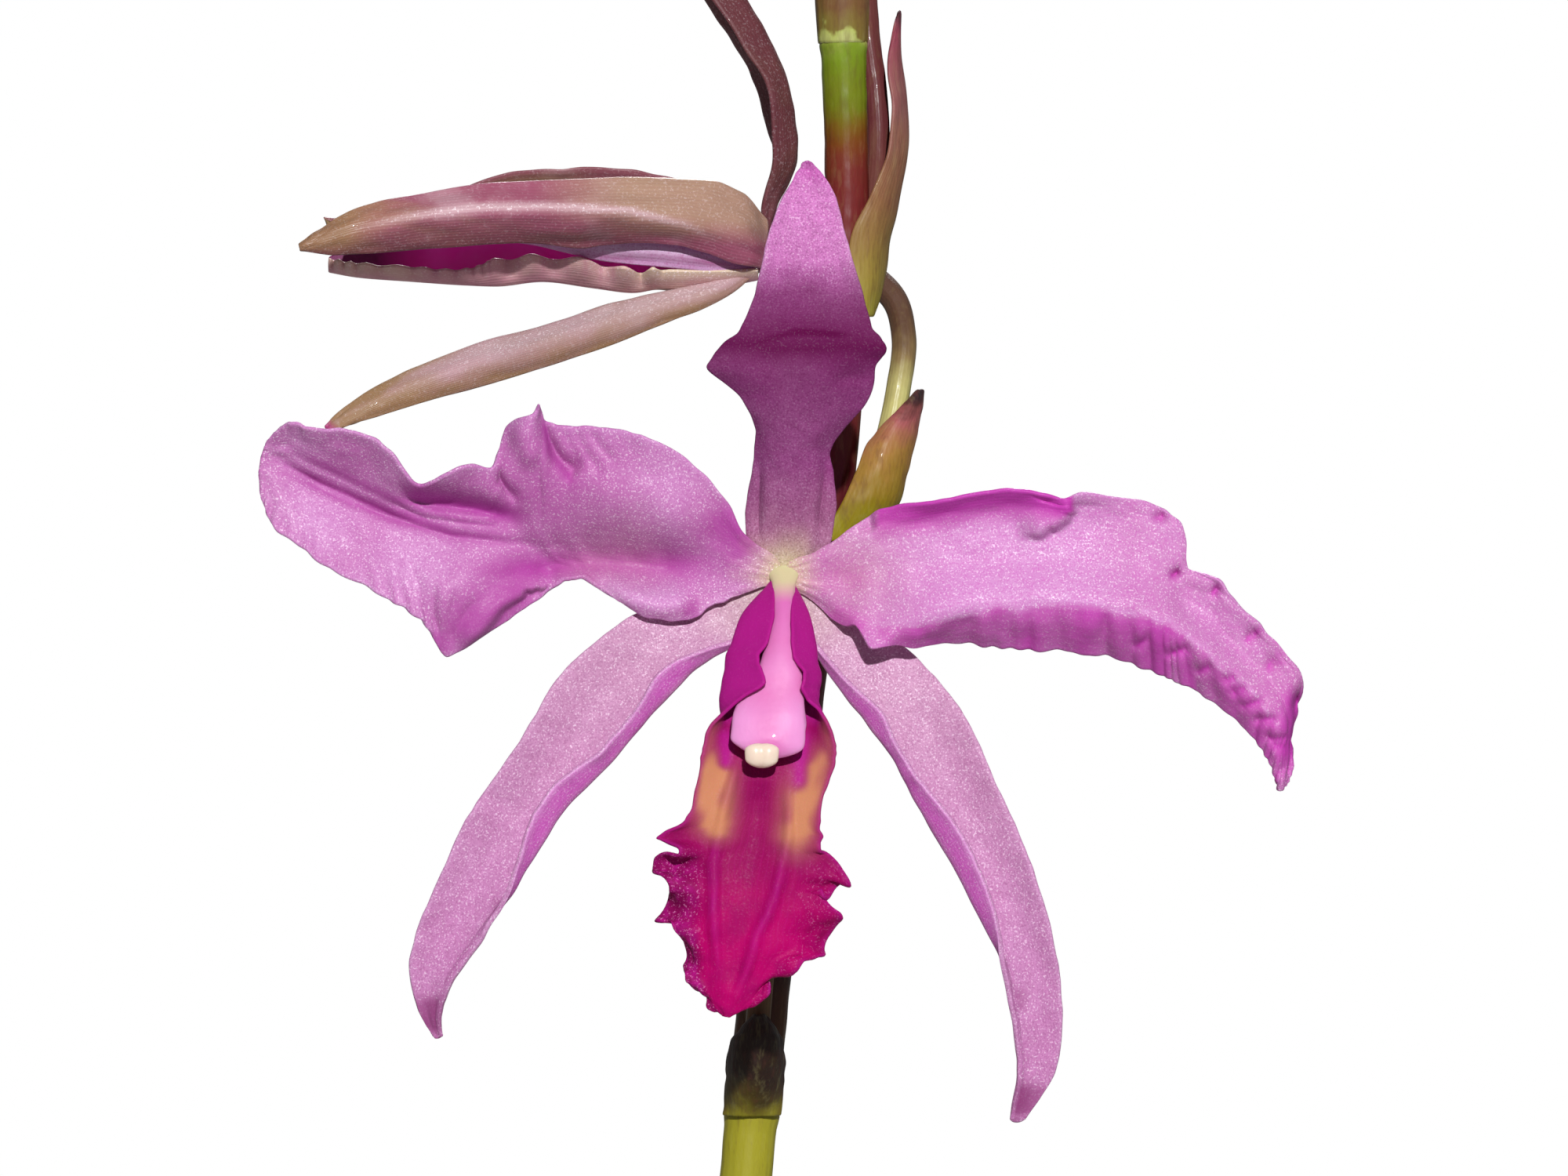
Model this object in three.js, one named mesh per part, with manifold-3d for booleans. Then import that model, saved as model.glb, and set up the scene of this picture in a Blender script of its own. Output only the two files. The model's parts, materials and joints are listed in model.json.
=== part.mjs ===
// A potted laeliocattleya orchid: clay pot, bark, rhizome with roots, pseudobulbs, leaves and one
// flower stem with an open bloom, a second bloom half open and a bud at the top.
// Units are millimetres, +Z is up, +X is to the viewer's right and +Y points away from the viewer.
// The origin is the middle of the pot's base.
import * as THREE from "three";
import { mergeVertices } from "three/addons/utils/BufferGeometryUtils.js";
import Module from "manifold-3d";

const wasm = await Module();
wasm.setup();

// Driving dimensions
const POT_HEIGHT = 125;
const POT_BASE_RADIUS = 47;
const POT_TOP_RADIUS = 63;
const RIM_HEIGHT = 24;
const RIM_STEP = 5;
const POT_WALL = 6;
const POT_FLOOR = 9;
const DRAIN_RADIUS = 6;
const DRAIN_RING = 27;
const DRAIN_HOLES = 4;
const POT_SIDES = 32;

const GAP = 0.35; // clearance between touching pieces
const BARK_TOP = 110;
const BARK_CLEARANCE = 0.6; // between the bark and the pot's wall
const BARK_CHIPS = 34;
const CHIP_SPREAD = 47; // the chips lie within this radius
const CHIP_TILT = 0.9;
const RHIZOME_RADIUS = 4.6;
const RHIZOME_LEVEL = 114;
const ROOT_RADIUS = 2.1;

const BLOOM_CENTRE = [12, -18, 520]; // where the open bloom's tepals meet
const TEPAL_THICKNESS = 0.8;
const LIP_THICKNESS = 0.7;
const BRACT_THICKNESS = 0.6;
const LEAF_THICKNESS = 1.8;
const LEAF_OFFSET = 3.6; // the leaf's foot stands this far from the middle of the bulb's top
const LEAF_HALF_WIDTHS = [2.6, 5.5, 13, 21, 25.5, 26.5, 24, 17, 4]; // from foot to tip
const LEAF_FOLDS = [0.2, 2, 4.4, 5.6, 5, 4, 3, 1.8, 0.4];
const WIDEST_BULB = 12.5; // the half width of the bulb whose leaf has those widths
const SHEATH_THICKNESS = 0.8;
const SHEATH_FROM = 0.08; // shares of the pseudobulb's length that its sheath covers
const SHEATH_TO = 0.3;

const COLOURS = {
  clay: 0xb5673f,
  bark: 0x6b4a34,
  rhizome: 0x7c7350,
  bulb: 0x7d8f4a,
  husk: 0xcdbf9d,
  leaf: 0x4f7036,
  spathe: 0x9a9a5e,
  stalk: 0x7a6a45,
  bract: 0x8f7a5c,
  pedicel: 0xa7a873,
  sepal: 0xd98bc4,
  petal: 0xcf6fb8,
  dusky: 0xb58a9b,
  lip: 0xb0106f,
  column: 0xe3a9cf,
  anther: 0xf0e2c8,
  bud: 0xa88f8a,
};

function material(colour, roughness = 0.6) {
  return new THREE.MeshStandardMaterial({ color: colour, roughness, metalness: 0 });
}

function mesh(name, geometry, colour, roughness) {
  const made = new THREE.Mesh(geometry, material(colour, roughness));
  made.name = name;
  return made;
}

// A point of the flower stem is written [right, up, back] from the open bloom's centre.
function place([right, up, back]) {
  return new THREE.Vector3(right, back, up);
}

function smooth(points) {
  return new THREE.CatmullRomCurve3(points);
}

// Solids that are joined or cut pass through manifold-3d.
function toSolid(geometry) {
  const bare = geometry.clone();
  bare.deleteAttribute("normal");
  bare.deleteAttribute("uv");
  const merged = mergeVertices(bare, 1e-3);
  return new wasm.Manifold(
    new wasm.Mesh({
      numProp: 3,
      vertProperties: merged.attributes.position.array,
      triVerts: new Uint32Array(merged.index.array),
    }),
  );
}

function toGeometry(solid) {
  const { numProp, numVert, vertProperties, triVerts } = solid.getMesh();
  const corners = new Float32Array(numVert * 3);
  for (let i = 0; i < numVert; i++) {
    corners.set(vertProperties.subarray(i * numProp, i * numProp + 3), i * 3);
  }
  const geometry = new THREE.BufferGeometry();
  geometry.setAttribute("position", new THREE.BufferAttribute(corners, 3));
  geometry.setIndex(new THREE.BufferAttribute(triVerts, 1));
  geometry.computeVertexNormals();
  return geometry;
}

function largestBody(solid) {
  const bodies = solid.decompose();
  return bodies.reduce((best, body) => (body.volume() > best.volume() ? body : best));
}

// A blade (petal, sepal, lip, bract or leaf) is a smooth skin through stations, each a row of points
// from one edge to the other. It is thickened along its own normals, with the same diagonals on
// both faces. The frill moves a point along the blade's depth and grows toward the edges.
function bladeGeometry(stations, { rows, columns, thickness, frill = 0, waves = 0 }) {
  const lines = stations[0].map((_, side) => smooth(stations.map((row) => row[side])));
  const grid = [];
  for (let i = 0; i <= rows; i++) {
    const along = i / rows;
    const section = smooth(lines.map((line) => line.getPoint(along)));
    for (let j = 0; j <= columns; j++) {
      const across = j / columns;
      const edge = Math.abs(2 * across - 1);
      const side = across < 0.5 ? 0 : Math.PI / 2;
      const fade = Math.sin(Math.PI * along);
      const point = section.getPoint(across);
      point.y += frill * fade * edge ** 3 * Math.sin(2 * Math.PI * waves * along + side);
      grid.push(point);
    }
  }
  const width = columns + 1;
  const at = (i, j) => grid[THREE.MathUtils.clamp(i, 0, rows) * width
    + THREE.MathUtils.clamp(j, 0, columns)];
  const top = [];
  const bottom = [];
  for (let i = 0; i <= rows; i++) {
    for (let j = 0; j <= columns; j++) {
      const ahead = at(i + 1, j).clone().sub(at(i - 1, j));
      const aside = at(i, j + 1).clone().sub(at(i, j - 1));
      const normal = ahead.cross(aside).normalize().multiplyScalar(thickness / 2);
      top.push(at(i, j).clone().add(normal));
      bottom.push(at(i, j).clone().sub(normal));
    }
  }
  const count = top.length;
  const faces = [];
  const quad = (a, b, c, d) => faces.push(a, b, c, a, c, d);
  for (let i = 0; i < rows; i++) {
    for (let j = 0; j < columns; j++) {
      const a = i * width + j;
      const b = a + width;
      quad(a, b, b + 1, a + 1);
      faces.push(count + a, count + b + 1, count + b);
      faces.push(count + a, count + a + 1, count + b + 1);
    }
    const left = i * width;
    const right = left + columns;
    quad(left + width, left, count + left, count + left + width);
    quad(right, right + width, count + right + width, count + right);
  }
  for (let j = 0; j < columns; j++) {
    const last = rows * width + j;
    quad(j, j + 1, count + j + 1, count + j);
    quad(last + 1, last, count + last, count + last + 1);
  }
  const geometry = new THREE.BufferGeometry();
  const corners = [...top, ...bottom].flatMap((point) => point.toArray());
  geometry.setAttribute("position", new THREE.Float32BufferAttribute(corners, 3));
  geometry.setIndex(faces);
  geometry.computeVertexNormals();
  return geometry;
}

// A stalk is a cylinder bent along a smooth line. Its widths are [half width, half depth] pairs
// spread evenly along it, and the half width lies along the facing direction.
function stalkGeometry(points, widths, sides, steps, facing = new THREE.Vector3(1, 0, 0)) {
  const spine = smooth(points);
  const girth = smooth(widths.map(([wide, deep]) => new THREE.Vector3(wide, deep, 0)));
  const geometry = new THREE.CylinderGeometry(1, 1, 1, sides, steps);
  const corners = geometry.attributes.position;
  const corner = new THREE.Vector3();
  for (let i = 0; i < corners.count; i++) {
    corner.fromBufferAttribute(corners, i);
    const along = THREE.MathUtils.clamp(corner.y + 0.5, 0, 1);
    const tangent = spine.getTangent(along);
    const outward = facing.clone().addScaledVector(tangent, -facing.dot(tangent)).normalize();
    const sideways = outward.clone().cross(tangent);
    const size = girth.getPoint(along);
    const point = spine.getPoint(along);
    point.addScaledVector(outward, corner.x * size.x);
    point.addScaledVector(sideways, corner.z * size.y);
    corners.setXYZ(i, point.x, point.y, point.z);
  }
  geometry.computeVertexNormals();
  return geometry;
}

function roundWidths(...radii) {
  return radii.map((radius) => [radius, radius]);
}

// Clay pot: a turned shell whose profile runs up the outside, over the rim and down the inside.
function potGeometry() {
  const under = POT_HEIGHT - RIM_HEIGHT;
  const rim = POT_TOP_RADIUS + RIM_STEP;
  const profile = [
    [0, 0],
    [POT_BASE_RADIUS - 2, 0],
    [POT_BASE_RADIUS, 2],
    [POT_TOP_RADIUS - 1, under],
    [rim - 1, under + 0.5],
    [rim, under + 3],
    [rim + 1, POT_HEIGHT - 2],
    [rim - 1, POT_HEIGHT],
    [rim - POT_WALL, POT_HEIGHT],
    [POT_TOP_RADIUS - POT_WALL, under - 4],
    [POT_BASE_RADIUS - POT_WALL, POT_FLOOR + 3],
    [POT_BASE_RADIUS - POT_WALL - 3, POT_FLOOR],
    [0, POT_FLOOR],
  ];
  const turned = new THREE.LatheGeometry(profile.map(([r, z]) => new THREE.Vector2(r, z)), POT_SIDES);
  turned.rotateX(Math.PI / 2);
  let pot = toSolid(turned);
  for (let hole = 0; hole < DRAIN_HOLES; hole++) {
    const angle = ((hole + 0.5) * 2 * Math.PI) / DRAIN_HOLES;
    const drill = new THREE.CylinderGeometry(DRAIN_RADIUS, DRAIN_RADIUS, 4 * POT_FLOOR, 16);
    drill.rotateX(Math.PI / 2);
    drill.translate(DRAIN_RING * Math.cos(angle), DRAIN_RING * Math.sin(angle), 0);
    pot = pot.subtract(toSolid(drill));
  }
  return toGeometry(pot);
}

// Growths along the rhizome: foot on the ground plane, apex, girth of the pseudobulb and its leaf.
const GROWTHS = [
  { foot: [-15, 5], apex: [-11.5, 6, 236], wide: 12.5, leafHeading: [-0.8, 0.6], leaf: 172, lean: 0.5 },
  { foot: [12, 14], apex: [15, 20, 226], wide: 12, leafHeading: [0.3, 0.95], leaf: 176, lean: 0.55 },
  { foot: [37, 12], apex: [48, 16, 214], wide: 11.5, leafHeading: [0.95, 0.3], leaf: 178, lean: 0.75 },
  { foot: [40, -18], apex: [52, -28, 196], wide: 10.5, leafHeading: [0.85, -0.5], leaf: 165, lean: 0.85 },
  { foot: [-41, -5], apex: [-53, -12, 205], wide: 11, leafHeading: [-0.95, -0.35], leaf: 168, lean: 0.7 },
];
const BULB_FOOT = RHIZOME_LEVEL + RHIZOME_RADIUS + GAP;

function bulbPoints({ foot: [x, y], apex }) {
  const base = new THREE.Vector3(x, y, BULB_FOOT);
  const top = new THREE.Vector3(...apex);
  const belly = base.clone().lerp(top, 0.5).add(new THREE.Vector3((x - apex[0]) * 0.12, 0, 0));
  return [base, base.clone().lerp(belly, 0.5), belly, belly.clone().lerp(top, 0.5), top];
}

function bulbWidths({ wide: w }) {
  return [[4.2, 3.8], [w * 0.72, w * 0.55], [w, w * 0.72], [w * 0.82, w * 0.6], [5.6, 4.8]];
}

function bulbGeometry(growth) {
  return stalkGeometry(bulbPoints(growth), bulbWidths(growth), 10, 8);
}

// The papery sheath is a short sleeve that follows the foot of a pseudobulb, open above and below.
function sleeveGeometry(growth) {
  const spine = smooth(bulbPoints(growth));
  const girth = smooth(bulbWidths(growth).map(([a, b]) => new THREE.Vector3(a, b, 0)));
  const cut = (from, to, clearance) => {
    const alongs = [from, (from + to) / 2, to];
    const points = alongs.map((along) => spine.getPoint(along));
    const widths = alongs.map((along) => girth.getPoint(along))
      .map(({ x, y }) => [x + clearance, y + clearance]);
    return toSolid(stalkGeometry(points, widths, 10, 2));
  };
  const shell = cut(SHEATH_FROM, SHEATH_TO, GAP + SHEATH_THICKNESS);
  return toGeometry(shell.subtract(cut(SHEATH_FROM - 0.02, SHEATH_TO + 0.02, GAP)));
}

// A leaf rises from the pseudobulb's apex, folded at its foot, widest past the middle, tip bent down.
function leafGeometry(growth) {
  const { apex, leafHeading, leaf, lean, wide } = growth;
  const heading = new THREE.Vector3(leafHeading[0], leafHeading[1], 0).normalize();
  const across = new THREE.Vector3(-heading.y, heading.x, 0);
  const up = new THREE.Vector3(0, 0, 1);
  const top = smooth(bulbPoints(growth)).getTangent(1);
  const side = heading.clone().addScaledVector(top, -heading.dot(top)).normalize();
  const foot = new THREE.Vector3(...apex).addScaledVector(side, LEAF_OFFSET).addScaledVector(top, GAP);
  const stations = LEAF_HALF_WIDTHS.map((half, i) => {
    const fold = LEAF_FOLDS[i];
    const along = i / (LEAF_HALF_WIDTHS.length - 1);
    const out = leaf * lean * along ** 1.4;
    const rise = leaf * (1.02 * along - 0.42 * lean * along ** 2.2);
    const spine = foot.clone().addScaledVector(heading, out).addScaledVector(up, rise);
    const back = heading.clone().multiplyScalar(-fold * 0.9).addScaledVector(up, fold * 0.45);
    const scale = half * (wide / WIDEST_BULB);
    return [-1, -0.5, 0, 0.5, 1].map((side) => spine.clone()
      .addScaledVector(across, side * scale)
      .addScaledVector(back, side * side));
  });
  return bladeGeometry(stations, { rows: 10, columns: 4, thickness: LEAF_THICKNESS });
}

// Rhizome with its roots: one grown piece that lies in a groove of the bark.
const RHIZOME_PATH = [[-48, -9], [-41, -5], [-15, 5], [12, 14], [37, 12], [40, -18], [41, -27]];
const ROOT_PATHS = [
  [[-30, -2, 113], [-36, -24, 117], [-30, -44, 114], [-18, -50, 104]],
  [[-8, 8, 113], [-6, -14, 117], [4, -34, 115], [16, -47, 105]],
  [[16, 14, 113], [22, -8, 117], [18, -28, 115], [26, -42, 105]],
  [[-20, 4, 113], [-30, 24, 117], [-24, 42, 115], [-10, 50, 104]],
  [[20, 14, 113], [24, 34, 117], [12, 46, 114], [0, 40, 104]],
  [[41, -25, 113], [43, -34, 122], [50, -41.5, 131.6], [57.5, -47, 122], [57, -47, 104], [53, -45, 86]],
  [[-46, -8, 113], [-52, -14, 122], [-63, -17, 130.8], [-73.5, -18, 122], [-72.5, -12, 100]],
];

function rhizomeSolid(extra) {
  const path = RHIZOME_PATH.map(([x, y]) => new THREE.Vector3(x, y, RHIZOME_LEVEL));
  const r = RHIZOME_RADIUS + extra;
  const widths = roundWidths(r * 0.5, r, r, r, r, r, r * 0.5);
  let solid = toSolid(stalkGeometry(path, widths, 8, 18, new THREE.Vector3(0, 0, 1)));
  for (const route of ROOT_PATHS) {
    const points = route.map((point) => new THREE.Vector3(...point));
    const steps = 3 * (points.length - 1);
    const t = ROOT_RADIUS + extra;
    const facing = new THREE.Vector3(0.3, 0.2, 1);
    const root = stalkGeometry(points, roundWidths(t, t, t, t * 0.6), 6, steps, facing);
    solid = solid.add(toSolid(root));
  }
  return solid;
}

// Seeded draw, so that the bark is the same at each run
function seededDraw(seed) {
  let state = seed;
  return () => {
    state = (state * 1664525 + 1013904223) % 4294967296;
    return state / 4294967296;
  };
}

// Bark: a plug that fills the pot, with loose chips sunk into its top and grooves for what it holds.
function barkGeometry() {
  const draw = seededDraw(11);
  const low = POT_FLOOR + GAP;
  const under = POT_HEIGHT - RIM_HEIGHT - 4;
  const profile = [
    [0, low],
    [POT_BASE_RADIUS - POT_WALL - 4, low],
    [POT_BASE_RADIUS - POT_WALL - BARK_CLEARANCE, low + 4],
    [POT_TOP_RADIUS - POT_WALL - BARK_CLEARANCE, under],
    [POT_TOP_RADIUS - POT_WALL + BARK_CLEARANCE, BARK_TOP - 3],
    [POT_TOP_RADIUS - POT_WALL - 6, BARK_TOP],
    [0, BARK_TOP + 1.5],
  ];
  const turned = new THREE.LatheGeometry(profile.map(([r, z]) => new THREE.Vector2(r, z)), 24);
  turned.rotateX(Math.PI / 2);
  let bark = toSolid(turned);
  for (let chip = 0; chip < BARK_CHIPS; chip++) {
    const size = [9 + 7 * draw(), 6 + 5 * draw(), 4 + 3 * draw()];
    const block = new THREE.BoxGeometry(...size);
    block.rotateX(CHIP_TILT * (draw() - 0.5));
    block.rotateY(CHIP_TILT * (draw() - 0.5));
    block.rotateZ(Math.PI * draw());
    const ring = CHIP_SPREAD * Math.sqrt(draw());
    const angle = 2 * Math.PI * draw();
    block.translate(ring * Math.cos(angle), ring * Math.sin(angle), BARK_TOP + 2.5 * draw());
    bark = bark.add(toSolid(block));
  }
  bark = bark.subtract(rhizomeSolid(GAP));
  for (const growth of GROWTHS) {
    bark = bark.subtract(toSolid(bulbGeometry({ ...growth, wide: growth.wide + 4 })));
  }
  return toGeometry(largestBody(bark));
}

// Flower stem: points are [right, up, back] from the open bloom's centre.
const STEM_BACK = 22; // the stem stands this far behind the open bloom
const STEM_LINE = [
  [-21.7, -283.6, 22.7], [-20.5, -230, 22.6], [-14, -160, STEM_BACK], [-5.2, -80, STEM_BACK],
  [-2, -48, STEM_BACK], [2, -15, STEM_BACK], [6.3, 14.6, STEM_BACK], [8.1, 43.5, STEM_BACK],
  [8, 56, STEM_BACK], [7.6, 68.4, STEM_BACK],
];
const STEM_RADII = [3.2, 4, 3.8, 3.4, 3.3, 3.25, 3.1, 2.95, 2.8, 2.95];

function stemGeometry() {
  return stalkGeometry(STEM_LINE.map(place), roundWidths(...STEM_RADII), 10, 30);
}

// A row of points on part of an oval: the section of a blade that clasps a stem. The angles are
// in degrees, 0 to the right and 90 to the back.
function clasp([right, up, back], reachRight, reachBack, from, to) {
  return [0, 0.25, 0.5, 0.75, 1].map((share) => {
    const angle = THREE.MathUtils.degToRad(from + (to - from) * share);
    return [right + reachRight * Math.cos(angle), up, back + reachBack * Math.sin(angle)];
  });
}

// Bracts, from the foot to the tip
const BRACTS = {
  bract_front: [
    clasp([-4.1, -69.5, 22], 4.1, 4.1, -155, -25),
    clasp([-3.75, -64, 21], 3.7, 7.3, -172, -8),
    clasp([-3.5, -59.8, 19.2], 3.4, 6.8, -165, -15),
    clasp([-3.2, -56.2, 16.6], 0.9, 4.4, -125, -55),
  ],
  bract_right: [
    clasp([5, 4.5, 22], 4.1, 4.1, -100, 80),
    [[7.4, 9.5, 18.1], [10.6, 9.3, 18], [13.6, 9.2, 19.8], [14.5, 9.2, 23.4], [11.4, 9.4, 26]],
    [[9.2, 13.5, 18.8], [12, 13.5, 18], [14.8, 13.5, 19.8], [15.7, 13.5, 23.6], [12.8, 13.5, 26.6]],
    [[11, 17.6, 20.2], [13.2, 17.5, 18.8], [15.8, 17.5, 20.4], [16.7, 17.5, 24.2], [14.4, 17.6, 27.2]],
    [[14.2, 20.8, 21], [15.4, 21, 20.2], [17, 21, 21.6], [17.5, 21, 24.4], [16.2, 21.2, 26.6]],
    [[17.2, 23.9, 22.7], [17.4, 24.1, 22.6], [17.7, 24.2, 23], [17.8, 24.1, 23.9], [17.6, 23.9, 24.4]],
  ],
  bract_upper: [
    clasp([7.75, 33.4, 22], 3.75, 3.75, -80, 80),
    [[8.3, 38, 18.3], [10.9, 38, 19.2], [12.4, 37.9, 22.2], [12.6, 38, 26], [10.2, 38, 28.4]],
    [[8.6, 44, 18.4], [11.2, 43.6, 19.2], [13.1, 43.2, 22.4], [13.4, 43.6, 26.2], [11.2, 44, 28.9]],
    [[11, 48.8, 19], [12.8, 49, 20], [14.6, 49.2, 23.2], [14.6, 49.2, 26.4], [12.6, 49.2, 28.8]],
    [[13.3, 54.4, 20], [14.6, 55, 21.4], [15.8, 55.6, 24], [15.3, 55.6, 26.8], [13.9, 55.6, 28.6]],
    [[13.9, 61, 20.8], [14.9, 61, 22.2], [15.7, 61, 24.6], [15.4, 61, 26.8], [14.3, 61, 28.3]],
    [[13.4, 66.5, 22], [14.4, 67, 23], [15, 67.2, 25], [14.7, 67, 26.6], [13.8, 66.5, 27.8]],
    [[14.4, 72, 24.3], [14.7, 72.8, 24.7], [14.9, 73.2, 25.3], [14.8, 72.8, 25.9], [14.7, 72, 26.4]],
  ],
  low_bract: [
    clasp([-10.9, -131, 22], 4.7, 4.7, 40, 320),
    clasp([-10.2, -122, 22], 5, 5, 60, 300),
    clasp([-9.4, -112, 22], 5, 5, 110, 250),
    clasp([-9, -103.6, 22], 5, 5, 165, 195),
  ],
};

// The closed bract above the stem's ring
const BRACT_TIP = {
  points: [[7.6, 69, 22], [7.5, 74, 22], [7.2, 84, 22], [7.4, 92, 22.4], [8, 98, 23]],
  radii: [3.2, 3.5, 3.6, 2.6, 0.6],
};

// Flower stalks, from the stem's node to the bloom
const PEDICELS = {
  pedicel_front: {
    points: [[-3.8, -64.4, 16.5], [-3.2, -55, 16], [-1.8, -40, 15.6], [-0.5, -25, 15], [0.3, -12, 13],
      [0.4, -3.6, 8.6], [0, -0.3, 5.2], [0, 0, 2.5]],
    radii: [1.6, 1.6, 1.6, 1.7, 2, 2.4, 2.6, 2.3],
    facing: [1, 0, 0],
  },
  pedicel_left: {
    points: [[10.6, 9.5, 22.6], [12.1, 13.5, 22.6], [13.7, 19, 23], [14.9, 25, 24], [15.5, 30.5, 26],
      [14.2, 35.9, 29], [10.4, 39.2, 31.2], [6.4, 40.6, 29.6], [3, 41.4, 25.4], [0.8, 41.5, 22.4],
      [-1.4, 41.5, 22]],
    radii: [1.4, 1.6, 1.6, 1.6, 1.6, 1.7, 1.9, 2.1, 2.3, 2.3, 2],
    facing: [0, 1, 0],
  },
  pedicel_top: {
    points: [[10.2, 40.5, 26.3], [11.3, 47, 26.2], [12.1, 54, 25.6], [11.9, 62, 26.3], [10.8, 70, 28],
      [10.2, 80, 29], [11, 92, 28.6]],
    radii: [1.2, 1.4, 1.5, 1.5, 1.6, 1.8, 2.2],
    facing: [1, 0, 0],
  },
};

// Tepals of the open bloom. Each station is a row of [right, up, back] points from edge to edge.
const DORSAL_SEPAL = [
  [[-1.2, 1.3, 1.7], [0, 1.4, 1.6], [1.2, 1.3, 1.7]],
  [[-4.8, 6.5, 1.2], [0.6, 6.6, -0.4], [6.4, 6.5, 1.2]],
  [[-4.7, 11.6, 0.4], [0.9, 11.6, -1.8], [6.5, 11.6, 0.4]],
  [[-3.6, 16.6, -0.8], [1, 16.6, -3.6], [5.7, 16, -0.8]],
  [[-4.4, 20.6, -4.6], [1.2, 21.4, -5.4], [9.4, 20.7, -4.4]],
  [[-10.1, 26.6, -8.6], [1.3, 27, -6.6], [12.5, 27.4, -8.6]],
  [[-6.9, 30.2, -8.4], [1.6, 31.4, -6], [12.2, 30, -8.2]],
  [[-4.2, 35, -6], [2, 36, -4], [10.3, 35, -5.6]],
  [[-2.5, 41, -3.4], [2.6, 41, -1.8], [8.9, 40.5, -3]],
  [[-0.9, 46.6, -1], [2.9, 46.6, 0.4], [7.1, 46.6, -0.6]],
  [[1.2, 51, 1.4], [2.9, 51.6, 2], [4.9, 51.4, 1.4]],
  [[2.5, 52.7, 3], [2.9, 53, 3.1], [3.4, 52.8, 3]],
];
const LEFT_PETAL = [
  [[-1.2, 0.9, 0.6], [-1.2, 0.1, 0.5], [-1.2, -0.7, 0.6]],
  [[-5.6, 7.1, -0.6], [-7.5, 2.2, 0.6], [-6.2, -2.3, -1.2]],
  [[-9.9, 12.9, -2], [-13, 3, 1], [-10.4, -4.7, -4.6]],
  [[-16.8, 17.6, -3.6], [-19, 3.6, 1.4], [-16, -5.6, -6.6]],
  [[-22.5, 18.9, -3], [-24.5, 3.8, 2], [-21.4, -3.4, -5]],
  [[-28.2, 19, -3.6], [-28.4, 4.1, 2.4], [-24.8, -0.5, -1.6]],
  [[-31.1, 21.2, -5.2], [-31, 4.3, 2.6], [-28, -0.6, -0.6]],
  [[-35.2, 18.6, -2], [-34.4, 4.7, 2.6], [-31.4, -3, -0.8]],
  [[-37, 14.2, 0.6], [-37.6, 5, 2.6], [-35.4, -5.8, -1.4]],
  [[-41.6, 13.7, -3], [-43, 5.6, 2.6], [-43.1, -10.3, -4]],
  [[-46.4, 11.2, 1.6], [-48.5, 7.2, 3], [-46.4, -5.2, -0.6]],
  [[-50.9, 16.4, -2], [-53.5, 9, 3], [-52, -1.9, -2.4]],
  [[-56.5, 18.8, -3.4], [-58.5, 11.5, 2.4], [-59.5, 2.2, 0]],
  [[-62.8, 19.5, -1], [-63.2, 14, 1.4], [-65.3, 6.2, 1.6]],
  [[-66.1, 18, 0.4], [-66.8, 15.4, 0.8], [-67.1, 12.4, 1.2]],
];
// The outermost line is the free edge of the flap that curls forward along the upper margin.
const RIGHT_PETAL = [
  [[1.2, 1.1, 0.5], [1.2, 0.8, 0.5], [1.2, 0.2, 0.5], [1.2, -0.3, 0.5], [1.2, -0.8, 0.6]],
  [[5.6, 4.2, -1.4], [6.4, 4.2, -0.6], [7, 0, 0.8], [7, -3, 0.6], [6.2, -5.4, 0.8]],
  [[11.9, 7, -4.6], [12, 8.3, -3], [12.5, 1, 1.4], [11.8, -5.5, -0.8], [10.8, -9, 0.4]],
  [[18.6, 6.2, -8], [18.8, 9.4, -5.4], [19, 1.6, 2], [18.5, -5.7, -2.2], [18.8, -8.6, 1.6]],
  [[25, 6.8, -9.6], [25, 10.6, -6.6], [25.5, 2.2, 2], [25.6, -4.2, -3.2], [25.5, -8.6, 2]],
  [[31, 7, -9.2], [31.5, 10.9, -6.6], [32, 2.5, 1.6], [32, -3.8, -3.6], [32, -9, 2]],
  [[37.4, 9.4, -5.4], [38.2, 10.4, -4], [38.5, 2.2, 1.2], [38.5, -4.2, -3.4], [38.5, -9.6, 1.4]],
  [[46.6, 9.3, -2.6], [45.6, 7.6, -1.6], [44.5, 1.2, 1], [44.3, -4.9, -3], [44.5, -10.9, 2.4]],
  [[51.3, 5.4, -3.6], [50.3, 4, -2.6], [48.6, -0.8, 1], [48.2, -6, -2.6], [48.4, -12.6, 1.6]],
  [[51.3, 1.2, -0.6], [51, -0.2, -0.2], [51, -3, 1], [50.8, -7.6, -2.2], [51.4, -14.2, 2.2]],
  [[55.8, -0.6, -1.6], [55.4, -1.8, -1], [54.8, -6, 1], [54.3, -10.4, -1.8], [55, -16.2, 1.6]],
  [[60, -5.6, -1.8], [59.7, -6.6, -1.2], [59.2, -10.4, 1], [58.8, -14.6, -1], [58.8, -19.4, 1.8]],
  [[66.5, -13.2, 0], [65.7, -14, 0.4], [64, -16.6, 1], [62.4, -18.8, 0.6], [61, -22, 2]],
  [[64.7, -21.4, 0.6], [64.2, -22, 0.9], [63.6, -22.8, 1.2], [62.8, -23.6, 1.4], [62.2, -24.4, 2.2]],
  [[63.8, -26.8, 1.4], [63.6, -27.1, 1.6], [63.3, -27.3, 1.8], [63, -27.2, 2.1], [62.8, -26.9, 2.4]],
];
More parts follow.
